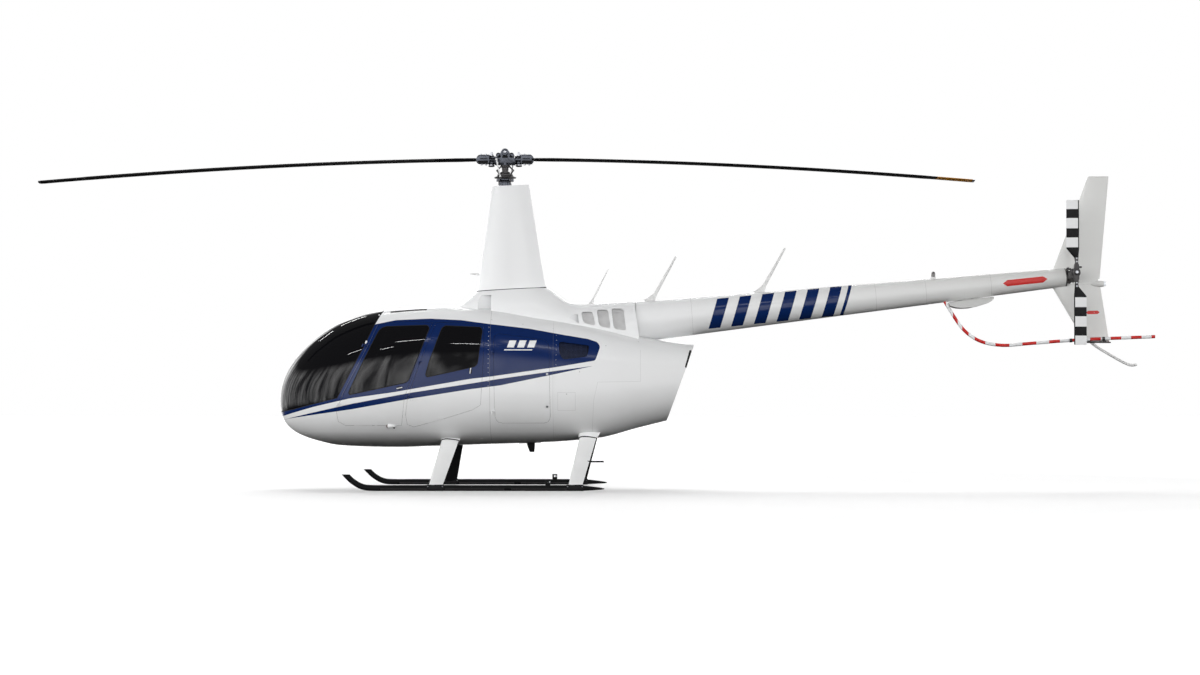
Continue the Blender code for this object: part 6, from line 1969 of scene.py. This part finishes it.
def blade(sign, grow=0.0, stations=72, points=16):
    """One main blade: sign -1 points forward. Its leading edge faces the way it turns."""
    rings = []
    for k in range(stations + 1):
        share = k / stations
        r = BLADE_ROOT + share * (ROTOR_RADIUS - BLADE_ROOT)
        z = HUB_Z - DROOP * (r / ROTOR_RADIUS) ** 1.8
        chord = ROTOR_CHORD * min(1.0, 0.50 + 12 * share)
        thick = (0.016 if share < 0.9 else 0.014) + grow
        side = airfoil(LEAD_SHARE * chord - grow, TRAIL_SHARE * chord + grow, thick, points)
        ring = []
        for c, t in side + [(c, -t) for c, t in side[1:]][::-1]:
            across = c * math.cos(BLADE_PITCH) + t * math.sin(BLADE_PITCH)
            up = -c * math.sin(BLADE_PITCH) + t * math.cos(BLADE_PITCH)
            ring.append((sign * r, -sign * across, z + up))
        rings.append(ring)
    return loft(rings)


# %% The yoke and its bearing
CHEEK_BASE = ((-0.112, 3.438), (0.112, 3.438), (0.112, 3.500), (0.078, 3.524), (0.050, 3.556))
CHEEK_FORE = ((-0.050, 3.556), (-0.078, 3.524), (-0.112, 3.500))
EYE = ((-0.006, 0.027), (0.004, 0.027), (0.006, 0.022), (0.003, 0.018), (-0.004, 0.018))
TEETER_Z = 3.568
arc = [math.pi * k / 12 for k in range(13)]
cheek = [*CHEEK_BASE, *((0.050 * math.cos(a), 3.560 + 0.034 * math.sin(a)) for a in arc), *CHEEK_FORE]
yoke = [softened(prism(cheek, y, y + 0.014), 0.003) for y in (-0.050, 0.036)]
yoke += [block((-0.112, -0.050, 3.432), (0.112, 0.050, 3.452), 0.004),
         turned((0, 0, 3.431), UP, ((0, 0.052), (0.030, 0.052), (0.036, 0.046)), 32)]
for sign in (-1, 1):
    yoke.append(block((sign * 0.112, -0.050, 3.438), (sign * 0.100, 0.050, 3.496), 0.003))
    yoke += [turned((sign * 0.070, y, 3.536), (0, y, 0), EYE, 24) for y in (-0.054, 0.054)]
bearing = [block((-0.040, -0.0355, 3.490), (0.040, 0.0355, 3.548), 0.004),
           block((-0.030, -0.053, 3.508), (0.030, -0.0505, 3.532)),
           block((-0.030, 0.0505, 3.508), (0.030, 0.053, 3.532))]
hardware = []
for side in (-1, 1):
    out = (0, side, 0)
    yoke += [turned((0, side * 0.0505, TEETER_Z), out, ((0, 0.040), (0.006, 0.040), (0.007, 0.037)), 32),
             hexagon((0, side * 0.0575, 3.562), out, 0.019, 0.035)]
    stud = ((0, 0.015), (0.008, 0.015), (0.009, 0.013))
    hardware.append(turned((0, side * 0.076, TEETER_Z), out, stud, 20))
print("yoke:", len(yoke), "parts")

# %% The grips, their bolts and pitch horns
# Outlines in side view and, for the horn, from above
GRIP_SIDE = ((0.165, 3.443), (0.285, 3.443), (0.303, 3.462), (0.310, 3.486), (0.303, 3.516), (0.285, 3.536),
             (0.270, 3.543), (0.165, 3.543))
POCKET = ((0.180, 3.452), (0.280, 3.452), (0.292, 3.478), (0.180, 3.480))
SLOT = ((0.188, 3.494), (0.270, 3.494), (0.262, 3.502), (0.188, 3.502))
HORN = ((0.128, 0.030), (0.168, 0.030), (0.150, 0.090), (0.112, 0.133), (0.080, 0.133), (0.080, 0.106),
        (0.104, 0.086))
GRIP_NECK = ((0, 0.040), (0.060, 0.044), (0.064, 0.050))
GRIP_EYE = ((0, 0.026), (0.008, 0.034), (0.020, 0.036), (0.080, 0.036), (0.092, 0.030), (0.096, 0.024))
CONING_X = 0.146
grips = []
for sign in (-1, 1):
    grip = softened(prism([(sign * x, z) for x, z in GRIP_SIDE], -0.056, 0.056), 0.009, 3)
    shapes = [rounded([(sign * x, z) for x, z in shape], radius)
              for shape, radius in ((POCKET, 0.008), (SLOT, 0.004))]
    # Pockets and slots are cut by faces marked as lining, black rubber here: painted shade in the recesses.
    cuts = [marked(prism(shape, y, y + 0.04), 1) for shape in shapes for y in (-0.084, 0.044)]
    grip = carve(marked(grip, 0), *((CUT, cut) for cut in cuts), (CUT, blade(sign, 0.0010, 200, 8)))
    x = sign * CONING_X
    horn = loft([[(sign * fore, sign * out, z) for fore, out in HORN] for z in (3.496, 3.512)])
    grips += [grip, marked(turned((sign * 0.104, 0, 3.490), (sign, 0, 0), GRIP_NECK, 32), 0),
              marked(turned((x, 0, 3.437), UP, GRIP_EYE, 32), 0), marked(softened(horn, 0.003), 0)]
    hardware += [hexagon((x, 0, 3.533), UP, 0.022, 0.023),
                 turned((x, 0, 3.555), UP, ((0, 0.013), (0.014, 0.013), (0.017, 0.010)), 20),
                 drum((x, 0, 3.429), UP, 0.008, 0.030)]
    bearing.append(turned((x, 0, 3.415), UP, ((0, 0.022), (0.004, 0.033), (0.014, 0.033)), 24))
    hardware += [hexagon((sign * fore, y, z), way, 0.009, 0.011) for fore in (0.205, 0.255)
                 for y in (-0.030, 0.030) for z, way in ((3.543, UP), (3.443, DOWN))]
yoke = [marked(part, 0) for part in yoke]
settle("head_castings", joined(*yoke, *grips), "hub_grey", "main_rotor", ["rotor_hub"], lining="rubber")
settle("head_bearings", joined(*bearing), "rubber", "main_rotor")
settle("head_hardware", joined(*hardware), "steel", "main_rotor")
print("rotor head: castings, bearings,", len(hardware), "fasteners")

# %% [markdown]
# Under the head a swashplate turns the pilot's stick into blade pitch. Its lower half stands
# still on the mast and is pushed by rods, and its upper half turns with the shaft, which a
# folding scissor link keeps in step. Two light rods carry its tilt up to the pitch horns.

# %% Shaft and swashplate
SHAFT = ((0, 0.036), (0.300, 0.036), (0.301, 0.034), (0.480, 0.034), (0.482, 0.036), (0.5307, 0.036))
LOWER_PLATE = ((0, 0.068), (0.030, 0.068), (0.034, 0.062), (0.040, 0.062), (0.044, 0.092), (0.050, 0.095),
               (0.068, 0.095), (0.0727, 0.088))
UPPER_PLATE = ((0, 0.112), (0.004, 0.118), (0.010, 0.118), (0.016, 0.100), (0.026, 0.086), (0.040, 0.084),
               (0.044, 0.070), (0.050, 0.055), (0.0675, 0.050))
ROD_END = ((-0.016, 0.010), (0, 0.012), (0.012, 0.012), (0.016, 0.006), (0.056, 0.006))
SHAFT_ROOM = 0.0363


def ring_plate(foot_z, profile, bore, sides=48):
    """A turned ring about the mast, with a clear bore."""
    hole = tube([(0, 0, 2.5), (0, 0, 4)], bore, 40)
    return carve(turned((0, 0, foot_z), UP, profile, sides), (CUT, hole))


settle("shaft_skin", turned((0, 0, 2.9003), UP, SHAFT, 40), "dark_steel", "main_rotor", ["rotor_shaft"])
lower = ring_plate(3.2123, LOWER_PLATE, 0.042)
ears = [block((x - 0.014, -0.104, 3.256), (x + 0.014, -0.070, 3.280), 0.004) for x in (-0.062, 0.058)]
ears.append(block((-0.016, 0.074, 3.256), (0.016, 0.108, 3.280), 0.004))
settle("swashplate_fixed", joined(lower, *ears), "hub_grey", replaces=["swashplate_lower"])
rods = []
for x, y in ((-0.062, -0.094), (0.058, -0.094), (0, 0.098)):
    rods += [turned((x, y, 3.268), DOWN, ROD_END, 16), hexagon((x, y, 3.280), UP, 0.0065, 0.009)]
settle("control_rod_ends", joined(*rods), "dark_steel")
upper = ring_plate(3.2925, UPPER_PLATE, SHAFT_ROOM)
settle("swashplate_turning", upper, "dark_steel", "main_rotor", ["swashplate_upper"])
print("swashplate with", len(ears), "ears")

# %% Pitch links and drive scissors
LINK_FOOT = (0.046, 0.090, 3.300)
LINK_HEAD = (0.090, 0.120, 3.492)
# Distance from a link's foot, and then from its head, with the radius there
LINK_LOW = ((-0.008, 0.008), (0, 0.0125), (0.010, 0.0125), (0.016, 0.0055), (0.040, 0.0055),
            (0.042, 0.0085), (0.052, 0.0085), (0.054, 0.0072))
LINK_HIGH = ((-0.050, 0.0072), (-0.048, 0.0085), (-0.038, 0.0085), (-0.036, 0.0055), (-0.016, 0.0055),
             (-0.010, 0.0125), (0.004, 0.0125))
DRIVE_COLLAR = ((0, 0.050), (0.004, 0.052), (0.018, 0.052), (0.0215, 0.049))
links, scissors = [], []
for sign in (-1, 1):
    foot, head = (Vector((sign * x, sign * y, z)) for x, y, z in (LINK_FOOT, LINK_HEAD))
    way = head - foot
    links.append(turned(foot, way, (*LINK_LOW, *((way.length + h, r) for h, r in LINK_HIGH)), 18))
    knee = (-sign * 0.086, sign * 0.020, 3.376)
    foot, head = (-sign * 0.060, sign * 0.006, 3.330), (-sign * 0.046, sign * 0.006, 3.420)
    scissors += [tube([foot, knee], 0.0075, 12), tube([knee, head], 0.0075, 12),
                 drum(Vector(knee) - Vector((0, 0.016, 0)), STARBOARD, 0.032, 0.011, 16)]
settle("pitch_links", joined(*links), "white_paint", "main_rotor")
collar = ring_plate(3.409, DRIVE_COLLAR, SHAFT_ROOM)
settle("drive_scissors", joined(collar, *scissors), "dark_steel", "main_rotor")
print("pitch links:", len(links))

# %% [markdown]
# A main blade is a long thin aerofoil that droops at rest under its own weight. Its leading
# edge carries a dark metal strip against grit, its root has bonded doublers, and its tip
# is a bolted cap. The aft blade wears an amber tip panel.

# %% The blades' finishes
black_blade = Finish("blade_black", "black_paint", colour(0.005, 0.005, 0.006), 0.45,
                     **{"Specular IOR Level": 0.02})
worn = black_blade.noise(3.0, 3.0)
black_blade.feed("Base Color", worn.mixed(colour(0.004, 0.004, 0.005), colour(0.008, 0.008, 0.009)))
black_blade.feed("Roughness", worn * 0.2 + 0.38)
black_blade.bump(black_blade.noise(320.0, 1.0), 0.05)
amber = Finish("blade_amber", "black_paint", colour(0.62, 0.26, 0.020), 0.5, **{"Specular IOR Level": 0.05})
amber.feed("Base Color", amber.noise(14.0, 3.0).mixed(colour(0.52, 0.21, 0.015), colour(0.70, 0.31, 0.025)))
amber.bump(amber.noise(320.0, 1.0), 0.05)

# %% Main blades
CAP_FROM = 4.955
BLADE_LOW, BLADE_HIGH = 3.1, 3.7
SURFACE = 0.0001
# Where each blade's black part ends
BLACK_TO = {"forward": CAP_FROM, "aft": 4.58}
# Doublers: reach, half width, thickness
DOUBLERS = ((0.62, 0.070, 0.0016), (0.86, 0.045, 0.0009))


def span_of(start, end, y0=-0.4, y1=0.4):
    """What lies between two distances from the mast."""
    return KEEP, block((start, y0, BLADE_LOW), (end, y1, BLADE_HIGH), 0.0001)


for name, sign in (("forward", -1), ("aft", 1)):
    whole, inner = blade(sign), blade(sign, SURFACE)
    end = BLACK_TO[name]
    body = carve(whole.copy(), span_of(sign * 0.20, sign * end))
    settle(f"blade_{name}_skin", body, "blade_black", "main_rotor", [f"blade_{name}"])
    if end < CAP_FROM:
        panel = carve(whole.copy(), span_of(sign * end, sign * CAP_FROM))
        settle(f"blade_{name}_panel", panel, "blade_amber", "main_rotor")
    cap = carve(whole.copy(), span_of(sign * CAP_FROM, sign * 5.1))
    settle(f"blade_{name}_cap", cap, "steel", "main_rotor")
    lead = -sign * LEAD_SHARE * ROTOR_CHORD
    low, high = sorted((lead, lead - sign * 0.022))
    shell = carve(blade(sign, 0.0008), (CUT, inner))
    edge = carve(shell, span_of(sign * 0.75, sign * 4.94, low - 0.01, high))
    settle(f"blade_{name}_edge", edge, "blade_edge", "main_rotor")
    doublers = []
    for reach, wide, thick in DOUBLERS:
        plan = ((0.32, -wide), (reach - 0.08, -wide), (reach, 0.0), (reach - 0.08, wide), (0.32, wide))
        plan = upright([(sign * x, y - sign * 0.03) for x, y in plan], BLADE_LOW, BLADE_HIGH)
        layer = carve(blade(sign, thick), (CUT, inner))
        doublers.append(carve(layer, (KEEP, plan)))
    settle(f"blade_{name}_doublers", joined(*doublers), "blade_black", "main_rotor")
print("main blades:", round(2 * ROTOR_RADIUS, 2), "m across")

# %% [markdown]
# The tail rotor turns fast beside the fin, so its blades are banded black and white to be
# seen. The bands are a sum of masks over the height above or below the hub, since the blades
# are parked upright, and one more mask makes the black strip along each leading edge. The
# texture is the blades' own, so it turns with them.

# %% The tail blades' bands
TAIL_HUB = Vector((6.026, -0.300, 2.273))
BANDS = (0.263, 0.366, 0.463, 0.571, 0.666)
LEAD_STRIP = 0.0165
banded = Finish("tail_bands", "white_paint", WHITE, 0.3, **{"Specular IOR Level": 0.12})
chordwise = banded.x - TAIL_HUB.x
up = banded.z - TAIL_HUB.z
steps = [abs(up).over(place) for place in BANDS]
white = steps[0] - steps[1] + steps[2] - steps[3] + steps[4]
white = white * (chordwise * up.math("SIGN", up)).under(LEAD_STRIP)
banded.feed("Base Color", white.mixed(colour(0.004, 0.004, 0.005), WHITE))
banded.feed("Roughness", banded.noise(20.0, 3.0) * 0.15 + 0.22)
banded.bump(banded.noise(260.0, 1.0), 0.05)

# %% The tail blades
# Distance from the hub, and the chord's reach to its leading and trailing edge
TAIL_STATIONS = ((0.120, 0.018, 0.018), (0.150, 0.020, 0.022), (0.250, 0.028, 0.105), (0.500, 0.028, 0.105),
                 (0.757, 0.028, 0.105), (0.762, 0.022, 0.098))
TAIL_PITCH = 0.06


def tail_blade(sign, grow=0.0):
    rows = list(TAIL_STATIONS[:1])
    for ends in zip(TAIL_STATIONS, TAIL_STATIONS[1:]):
        rows += [between(ends, k / 5) for k in range(1, 6)]
    rings = []
    for r, lead, trail in rows:
        side = airfoil(-lead - grow, trail + grow, (0.008 if r < 0.76 else 0.005) + grow, 14)
        section = side + [(c, -t) for c, t in side[1:]][::-1]
        rings.append([(TAIL_HUB.x - sign * c, TAIL_HUB.y + t + TAIL_PITCH * c, TAIL_HUB.z + sign * r)
                      for c, t in section])
    return loft(rings)


for name, sign in (("upper", 1), ("lower", -1)):
    settle(f"tail_blade_{name}_skin", tail_blade(sign), "tail_bands", "tail_rotor", [f"tail_blade_{name}"])
print("tail blades reach", TAIL_STATIONS[-1][0], "m from the hub")

# %% The tail rotor's hub
ARM = ((-0.030, 0.0), (-0.026, 0.075), (-0.015, 0.100), (-0.014, 0.160), (0.014, 0.160), (0.015, 0.100),
       (0.026, 0.075), (0.030, 0.0))
SPINDLE = ((0, 0.022), (0.006, 0.032), (0.054, 0.034), (0.060, 0.028), (0.0997, 0.0205))
PITCH_PLATE = ((0, 0.030), (0.003, 0.050), (0.016, 0.050), (0.020, 0.030))
x, y, z = TAIL_HUB
arms, hardware = [], [hexagon((x, y - 0.030, z), PORT, 0.012, 0.017)]
diamond = [(x + a, z + b) for a, b in ((0.016, 0), (0, 0.022), (-0.016, 0), (0, -0.022))]
hardware.append(softened(prism(diamond, y - 0.034, y - 0.029), 0.001))
for sign in (-1, 1):
    arm = softened(prism([(x + a, z + sign * b) for a, b in ARM], y - 0.018, y + 0.018), 0.004)
    link_z = z + sign * 0.055
    arms += [carve(arm, (CUT, tail_blade(sign, 0.0008))),
             drum((x + sign * 0.048, y + 0.004, link_z), STARBOARD, 0.040, 0.010, 16),
             block((x, y - 0.006, link_z - 0.010), (x + sign * 0.050, y + 0.006, link_z + 0.010), 0.003)]
    hardware += [hexagon((x, y + side * 0.018, z + sign * r), (0, side, 0), 0.006, 0.0085)
                 for r in (0.112, 0.146) for side in (-1, 1)]
arms += [turned((x, y - 0.030, z), STARBOARD, SPINDLE, 28),
         turned((x, y + 0.042, z), STARBOARD, PITCH_PLATE, 32)]
settle("tail_hub_castings", joined(*arms), "dark_steel", "tail_rotor", ["tail_rotor_hub"])
settle("tail_hub_hardware", joined(*hardware), "steel", "tail_rotor")
print("tail rotor:", len(arms), "castings,", len(hardware), "fasteners")

# %% [markdown]
# The doors hang on knuckles that stand clear of the skin, so that a door swings out past its
# frame. One knuckle of each pair is the frame's and the next is the door's, on one axis.

# %% Hinges
# name, a point of the axis, its lean in degrees, the sides it is on, and for each pair of
# knuckles its height and where the frame's and the door's arms meet the skin
HINGES = (
    ("front_door", (-1.759, 0.675, 0.800), 23.7, (-1, 1),
     ((0.880, -1.738, -1.675), (1.500, -1.418, -1.3735))),
    ("rear_door", (-1.039, 0.737, 0.800), 18.9, (-1, 1),
     ((0.960, -0.9875, -0.930), (1.320, -0.8615, -0.815))),
    ("baggage_door", (-0.104, 0.722, 0.800), 0.0, (-1,), ((0.800, -0.112, -0.060), (1.420, -0.112, -0.060))),
)
KNUCKLE = 0.018
SEAT = 0.0003
BARREL_EDGE, BARREL = 0.0058, 0.007


def door_body(name, side):
    return name if name == "baggage_door" else f"{name}_{SIDES[side]}"


for name, (x0, y0, z0), lean, sides, pairs in HINGES:
    slope = math.tan(math.radians(lean))
    along = Vector((slope, 0, 1)).normalized()
    for side in sides:
        knuckles = {-1: [], 1: []}
        for z, frame_x, door_x in pairs:
            centre = Vector((x0 + (z - z0) * slope, y0 * side, z))
            for way, foot_x in ((-1, frame_x), (1, door_x)):
                near = centre + along * way * SEAT / 2
                tall = KNUCKLE - SEAT / 2
                profile = ((0, BARREL_EDGE), (0.001, BARREL), (tall - 0.001, BARREL), (tall, BARREL_EDGE))
                barrel = turned(near, along * way, profile, 20)
                heart = near + along * way * tall / 2
                foot, _ = pod_point(foot_x, heart.z, side, -WALL / 2)
                knuckles[way] += [barrel, tube([heart, foot], 0.0042, 12)]
        settle(f"{name}_hinge_frame_{SIDES[side]}", joined(*knuckles[-1]), "pod_paint")
        settle(f"{name}_hinge_{SIDES[side]}", joined(*knuckles[1]), "pod_paint", door_body(name, side))
print("hinges for", ", ".join(name for name, *_ in HINGES))

# %% [markdown]
# Plates, seals and handles lie on the pod's curve. Each starts as an outline in side view,
# pushed through the side and kept between two copies of the pod, one a little larger than
# the skin. The starboard one is its mirror image.

# %% Pieces that lie on the skin
def plate(outline, lift, sink=0.0006, hole=None):
    """A plate that follows the port side of the pod's skin, with a hole in it or none."""
    mesh = prism(outline, -1, -0.1)
    if hole:
        mesh = carve(mesh, (CUT, prism(hole, -1.1, -0.05)))
    return carve(mesh, (KEEP, pod_solid(-lift)), (CUT, pod_solid(sink)))


def both_sides(name, mesh, finish, body="root"):
    """The port piece and its mirror image. A body's name takes its side's."""
    for side, made in ((1, flipped(mesh)), (-1, mesh)):
        rides = body if body == "root" else f"{body}_{SIDES[side]}"
        settle(f"{name}_{SIDES[side]}", made, finish, rides)


def oval(x, z, long, tall, turn=0.0, points=28):
    c, s = math.cos(math.radians(turn)), math.sin(math.radians(turn))
    angles = [2 * math.pi * k / points for k in range(points)]
    ring = [(long / 2 * math.cos(a), tall / 2 * math.sin(a)) for a in angles]
    return tuple((x + a * c - b * s, z + a * s + b * c) for a, b in ring)


def disc(x, z, radius, tall, lift=0.0, sides=20):
    """A low round head that stands on the port side's skin."""
    place, normal = pod_point(x, z, -1, lift - 0.001)
    profile = ((0, radius), (tall * 0.6 + 0.001, radius), (tall + 0.001, radius * 0.7))
    return turned(place, normal, profile, sides)


# %% Seals and handles
for name in ("front", "rear"):
    hole = rounded(WINDOWS[name], 0.02, 3)
    seal = plate(offset(hole, 0.0045), 0.0010, hole=offset(hole, -0.0030))
    both_sides(f"{name}_window_seal", seal, "rubber", f"{name}_door")
seal = plate(offset(WINDSHIELD, 0.0045), 0.0010, hole=offset(WINDSHIELD, -0.0035))
both_sides("windshield_seal", seal, "rubber")
# Recess and handle of each door: place, recess length and height, and the handle's two ends
HANDLES = {"front": ((-1.064, 1.055), 0.058, 0.034, (-1.088, 1.049), (-1.036, 1.061)),
           "rear": ((-0.326, 1.233), 0.030, 0.060, (-0.330, 1.208), (-0.322, 1.258))}
for name, ((x, z), long, tall, start, end) in HANDLES.items():
    both_sides(f"{name}_handle_recess", plate(oval(x, z, long, tall, 6), 0.0012), "rubber", f"{name}_door")
    ends = [pod_point(*point, -1, 0.009)[0] for point in (start, end)]
    feet = [pod_point(*point, -1, -0.004)[0] for point in (start, end)]
    bar = softened(tube(ends, 0.0052, 16), 0.001)
    handle = joined(bar, *(tube([foot, point], 0.0046, 12) for foot, point in zip(feet, ends)))
    both_sides(f"{name}_handle", handle, "white_paint", f"{name}_door")
print("handles:", len(SIDES) * len(HANDLES))

# %% Hinge covers and baggage locks
# x, z, length, height and turn of each cover
FRONT_COVERS = ((-1.708, 0.878, 0.040, 0.022, 60), (-1.424, 1.535, 0.036, 0.020, 62))
REAR_COVER = (-0.935, 0.930, 0.046, 0.024, 10)
LOCKS = ((0.470, 1.20), (0.470, 0.86))
covers = [plate(oval(*row), 0.0030) for row in (*FRONT_COVERS, REAR_COVER)]
both_sides("hinge_covers_front", joined(*covers[:2]), "white_paint", "front_door")
both_sides("hinge_covers_rear", covers[2], "white_paint", "rear_door")
screws = [disc(REAR_COVER[0] + dx, REAR_COVER[1], 0.0035, 0.001, 0.003, 12) for dx in (-0.012, 0.012)]
both_sides("hinge_cover_screws", joined(*screws), "steel", "rear_door")
locks = [disc(x, z, 0.012, 0.002, 0.0, 28) for x, z in LOCKS]
settle("baggage_locks", joined(*locks), "steel", "baggage_door")
slots = [disc(x, z, 0.0045, 0.0026) for x, z in LOCKS]
settle("baggage_lock_slots", joined(*slots), "black", "baggage_door")
print("covers and locks:", len(covers), "and", len(locks))

# %% [markdown]
# Cowl panels are held by quarter-turn fasteners: a pale ring with a dark slot. Small rivets
# run beside the joint behind the cabin. A teardrop fairing low on each side carries the
# position light, red to port and green to starboard.

# %% Fasteners, slots and position lights
TURN_LOCKS = ((-0.115, 1.769), (0.210, 1.724), (0.529, 1.676), (1.079, 1.498), (1.421, 1.541),
              (0.807, 1.223), (0.672, 0.992))
AFT_OPENING_SHADE = rounded(((1.958, 1.458), (1.980, 1.452), (1.921, 1.262), (1.906, 1.276)), 0.01)
ROOF_LINE_SHADE = ((-1.195, 1.866), (-1.000, 1.884), (-0.810, 1.892), (-0.810, 1.876), (-1.000, 1.866),
             (-1.195, 1.846))
rings = [disc(x, z, 0.0065, 0.0012) for x, z in TURN_LOCKS]
hearts = [disc(x, z, 0.0036, 0.0019, 0.0, 14) for x, z in TURN_LOCKS]
both_sides("turn_lock_rings", joined(*rings), "white_paint")
both_sides("turn_lock_hearts", joined(*hearts), "black")
rivets = [disc(-0.141, 0.56 + 0.047 * k, 0.0030, 0.0008, 0.0, 10) for k in range(26)]
rivets += [disc(0.562, 0.62 + 0.052 * k, 0.0026, 0.0007, 0.0, 10) for k in range(20)]
both_sides("joint_rivets", joined(*rivets), "white_paint")
# Two dark plates on the skin are painted shade: the dark opening along the aft edge, and a dark line on the
# roof.
both_sides("aft_opening_shade", plate(AFT_OPENING_SHADE, 0.0012), "black")
both_sides("roof_line_shade", plate(rounded(ROOF_LINE_SHADE, 0.008), 0.0012), "dark_steel")
print("fasteners:", len(TURN_LOCKS), "rivets:", len(rivets))

# %% Position lights
DROP = ((0, 0.002), (0.012, 0.008), (0.032, 0.0155), (0.055, 0.0215), (0.075, 0.0245), (0.088, 0.0240))
DROP_LENS = ((0.0865, 0.0236), (0.093, 0.0215), (0.100, 0.0150), (0.1035, 0.0075), (0.1045, 0.002))
for side, lens in ((-1, "port_lens"), (1, "green_lens")):
    foot, _ = pod_point(-1.106, 0.660, side, 0.002)
    forward = pod_point(-1.206, 0.660, side, 0.002)[0] - foot
    settle(f"position_light_{SIDES[side]}", turned(foot, forward, DROP, 32), "white_paint")
    settle(f"position_lens_{SIDES[side]}", turned(foot, forward, DROP_LENS, 32), lens)
print("position lights on", " and ".join(SIDES.values()))

# %% [markdown]
# Cooling air leaves through a screened opening in the slanted tail panel. Its wires lie in
# the panel's own plane: straight bars across, and bars that follow the slant.

# %% The tail screen
SCREEN_PITCH = 0.018
SCREEN_WIRE = 0.0013
SCREEN_LOW, SCREEN_HIGH = 1.0, 1.45
LEVEL_DEPTH, RISING_DEPTH = 0.010, 0.0125
level, rising = [], []
for k in range(1, 24):
    z = TAIL_SCREEN_Z - 0.25 + SCREEN_PITCH * k
    x = tail_x(z) - LEVEL_DEPTH
    level.append(tube([(x, -0.31, z), (x, 0.31, z)], SCREEN_WIRE, 6))
for k in range(-16, 17):
    ends = [(tail_x(z) - RISING_DEPTH, SCREEN_PITCH * k, z) for z in (SCREEN_LOW, SCREEN_HIGH)]
    rising.append(tube(ends, SCREEN_WIRE, 6))
inside_hole = loft([tail_outline(offset(TAIL_SCREEN, -0.0006), shift) for shift in (-0.06, 0.06)])
pipe_room = tube(EXHAUST, 0.118, 40)
wires = [carve(joined(*bars), (KEEP, inside_hole.copy()), (CUT, pipe_room.copy()))
         for bars in (level, rising)]
settle("tail_screen", joined(*wires), "dark_steel")
print("tail screen:", len(level) + len(rising), "wires")

# %% [markdown]
# Four landing lamps look out through the foot of the windshield, each a black can, a bright
# dish and a domed lens. A shelf under and behind them keeps their glare out of the cabin.

# %% Landing lamps and their shelf
LAMP_PARTS = (
    ("cans", "skid_black", ((0, 0.020), (0.004, 0.034), (0.052, 0.046), (0.060, 0.046), (0.060, 0.042),
                            (0.008, 0.030))),
    ("dishes", "steel", ((0.009, 0.012), (0.010, 0.029), (0.056, 0.0412), (0.0575, 0.0412), (0.014, 0.026))),
    ("domes", "clear_lens", ((0.050, 0.0395), (0.054, 0.0395), (0.060, 0.032), (0.064, 0.018),
                             (0.065, 0.003))),
)
for name, finish, profile in LAMP_PARTS:
    parts = [turned((-2.195, y, 0.885), (-1, 0, -0.10), profile, 32) for y in (-0.155, -0.050, 0.050, 0.155)]
    settle(f"landing_lamp_{name}", joined(*parts), finish)
SHELF = ((-2.34, 0.842), (-2.34, 0.832), (-1.99, 0.832), (-1.90, 0.93), (-1.91, 0.94), (-2.00, 0.842))
shelf = carve(prism(SHELF, -0.6, 0.6), (KEEP, pod_solid(WALL + 0.004)))
settle("glare_shield", shelf, "moulding")
print("landing lamps of", len(LAMP_PARTS), "parts each")

# %% Sizes and finish
FLOOR_REACH = 150
corners = [(x * FLOOR_REACH, y * FLOOR_REACH) for x, y in ((-1, -1), (1, -1), (1, 1), (-1, 1))]
floor = link("floor", upright(corners, 0, -0.1))
floor.data.materials.append(FINISHES["floor_white"].material)
floor.visible_diffuse = floor.visible_glossy = floor.visible_shadow = False
floor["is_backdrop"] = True
low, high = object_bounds()
print("visual size", [round(b - a, 3) for a, b in zip(low, high)])
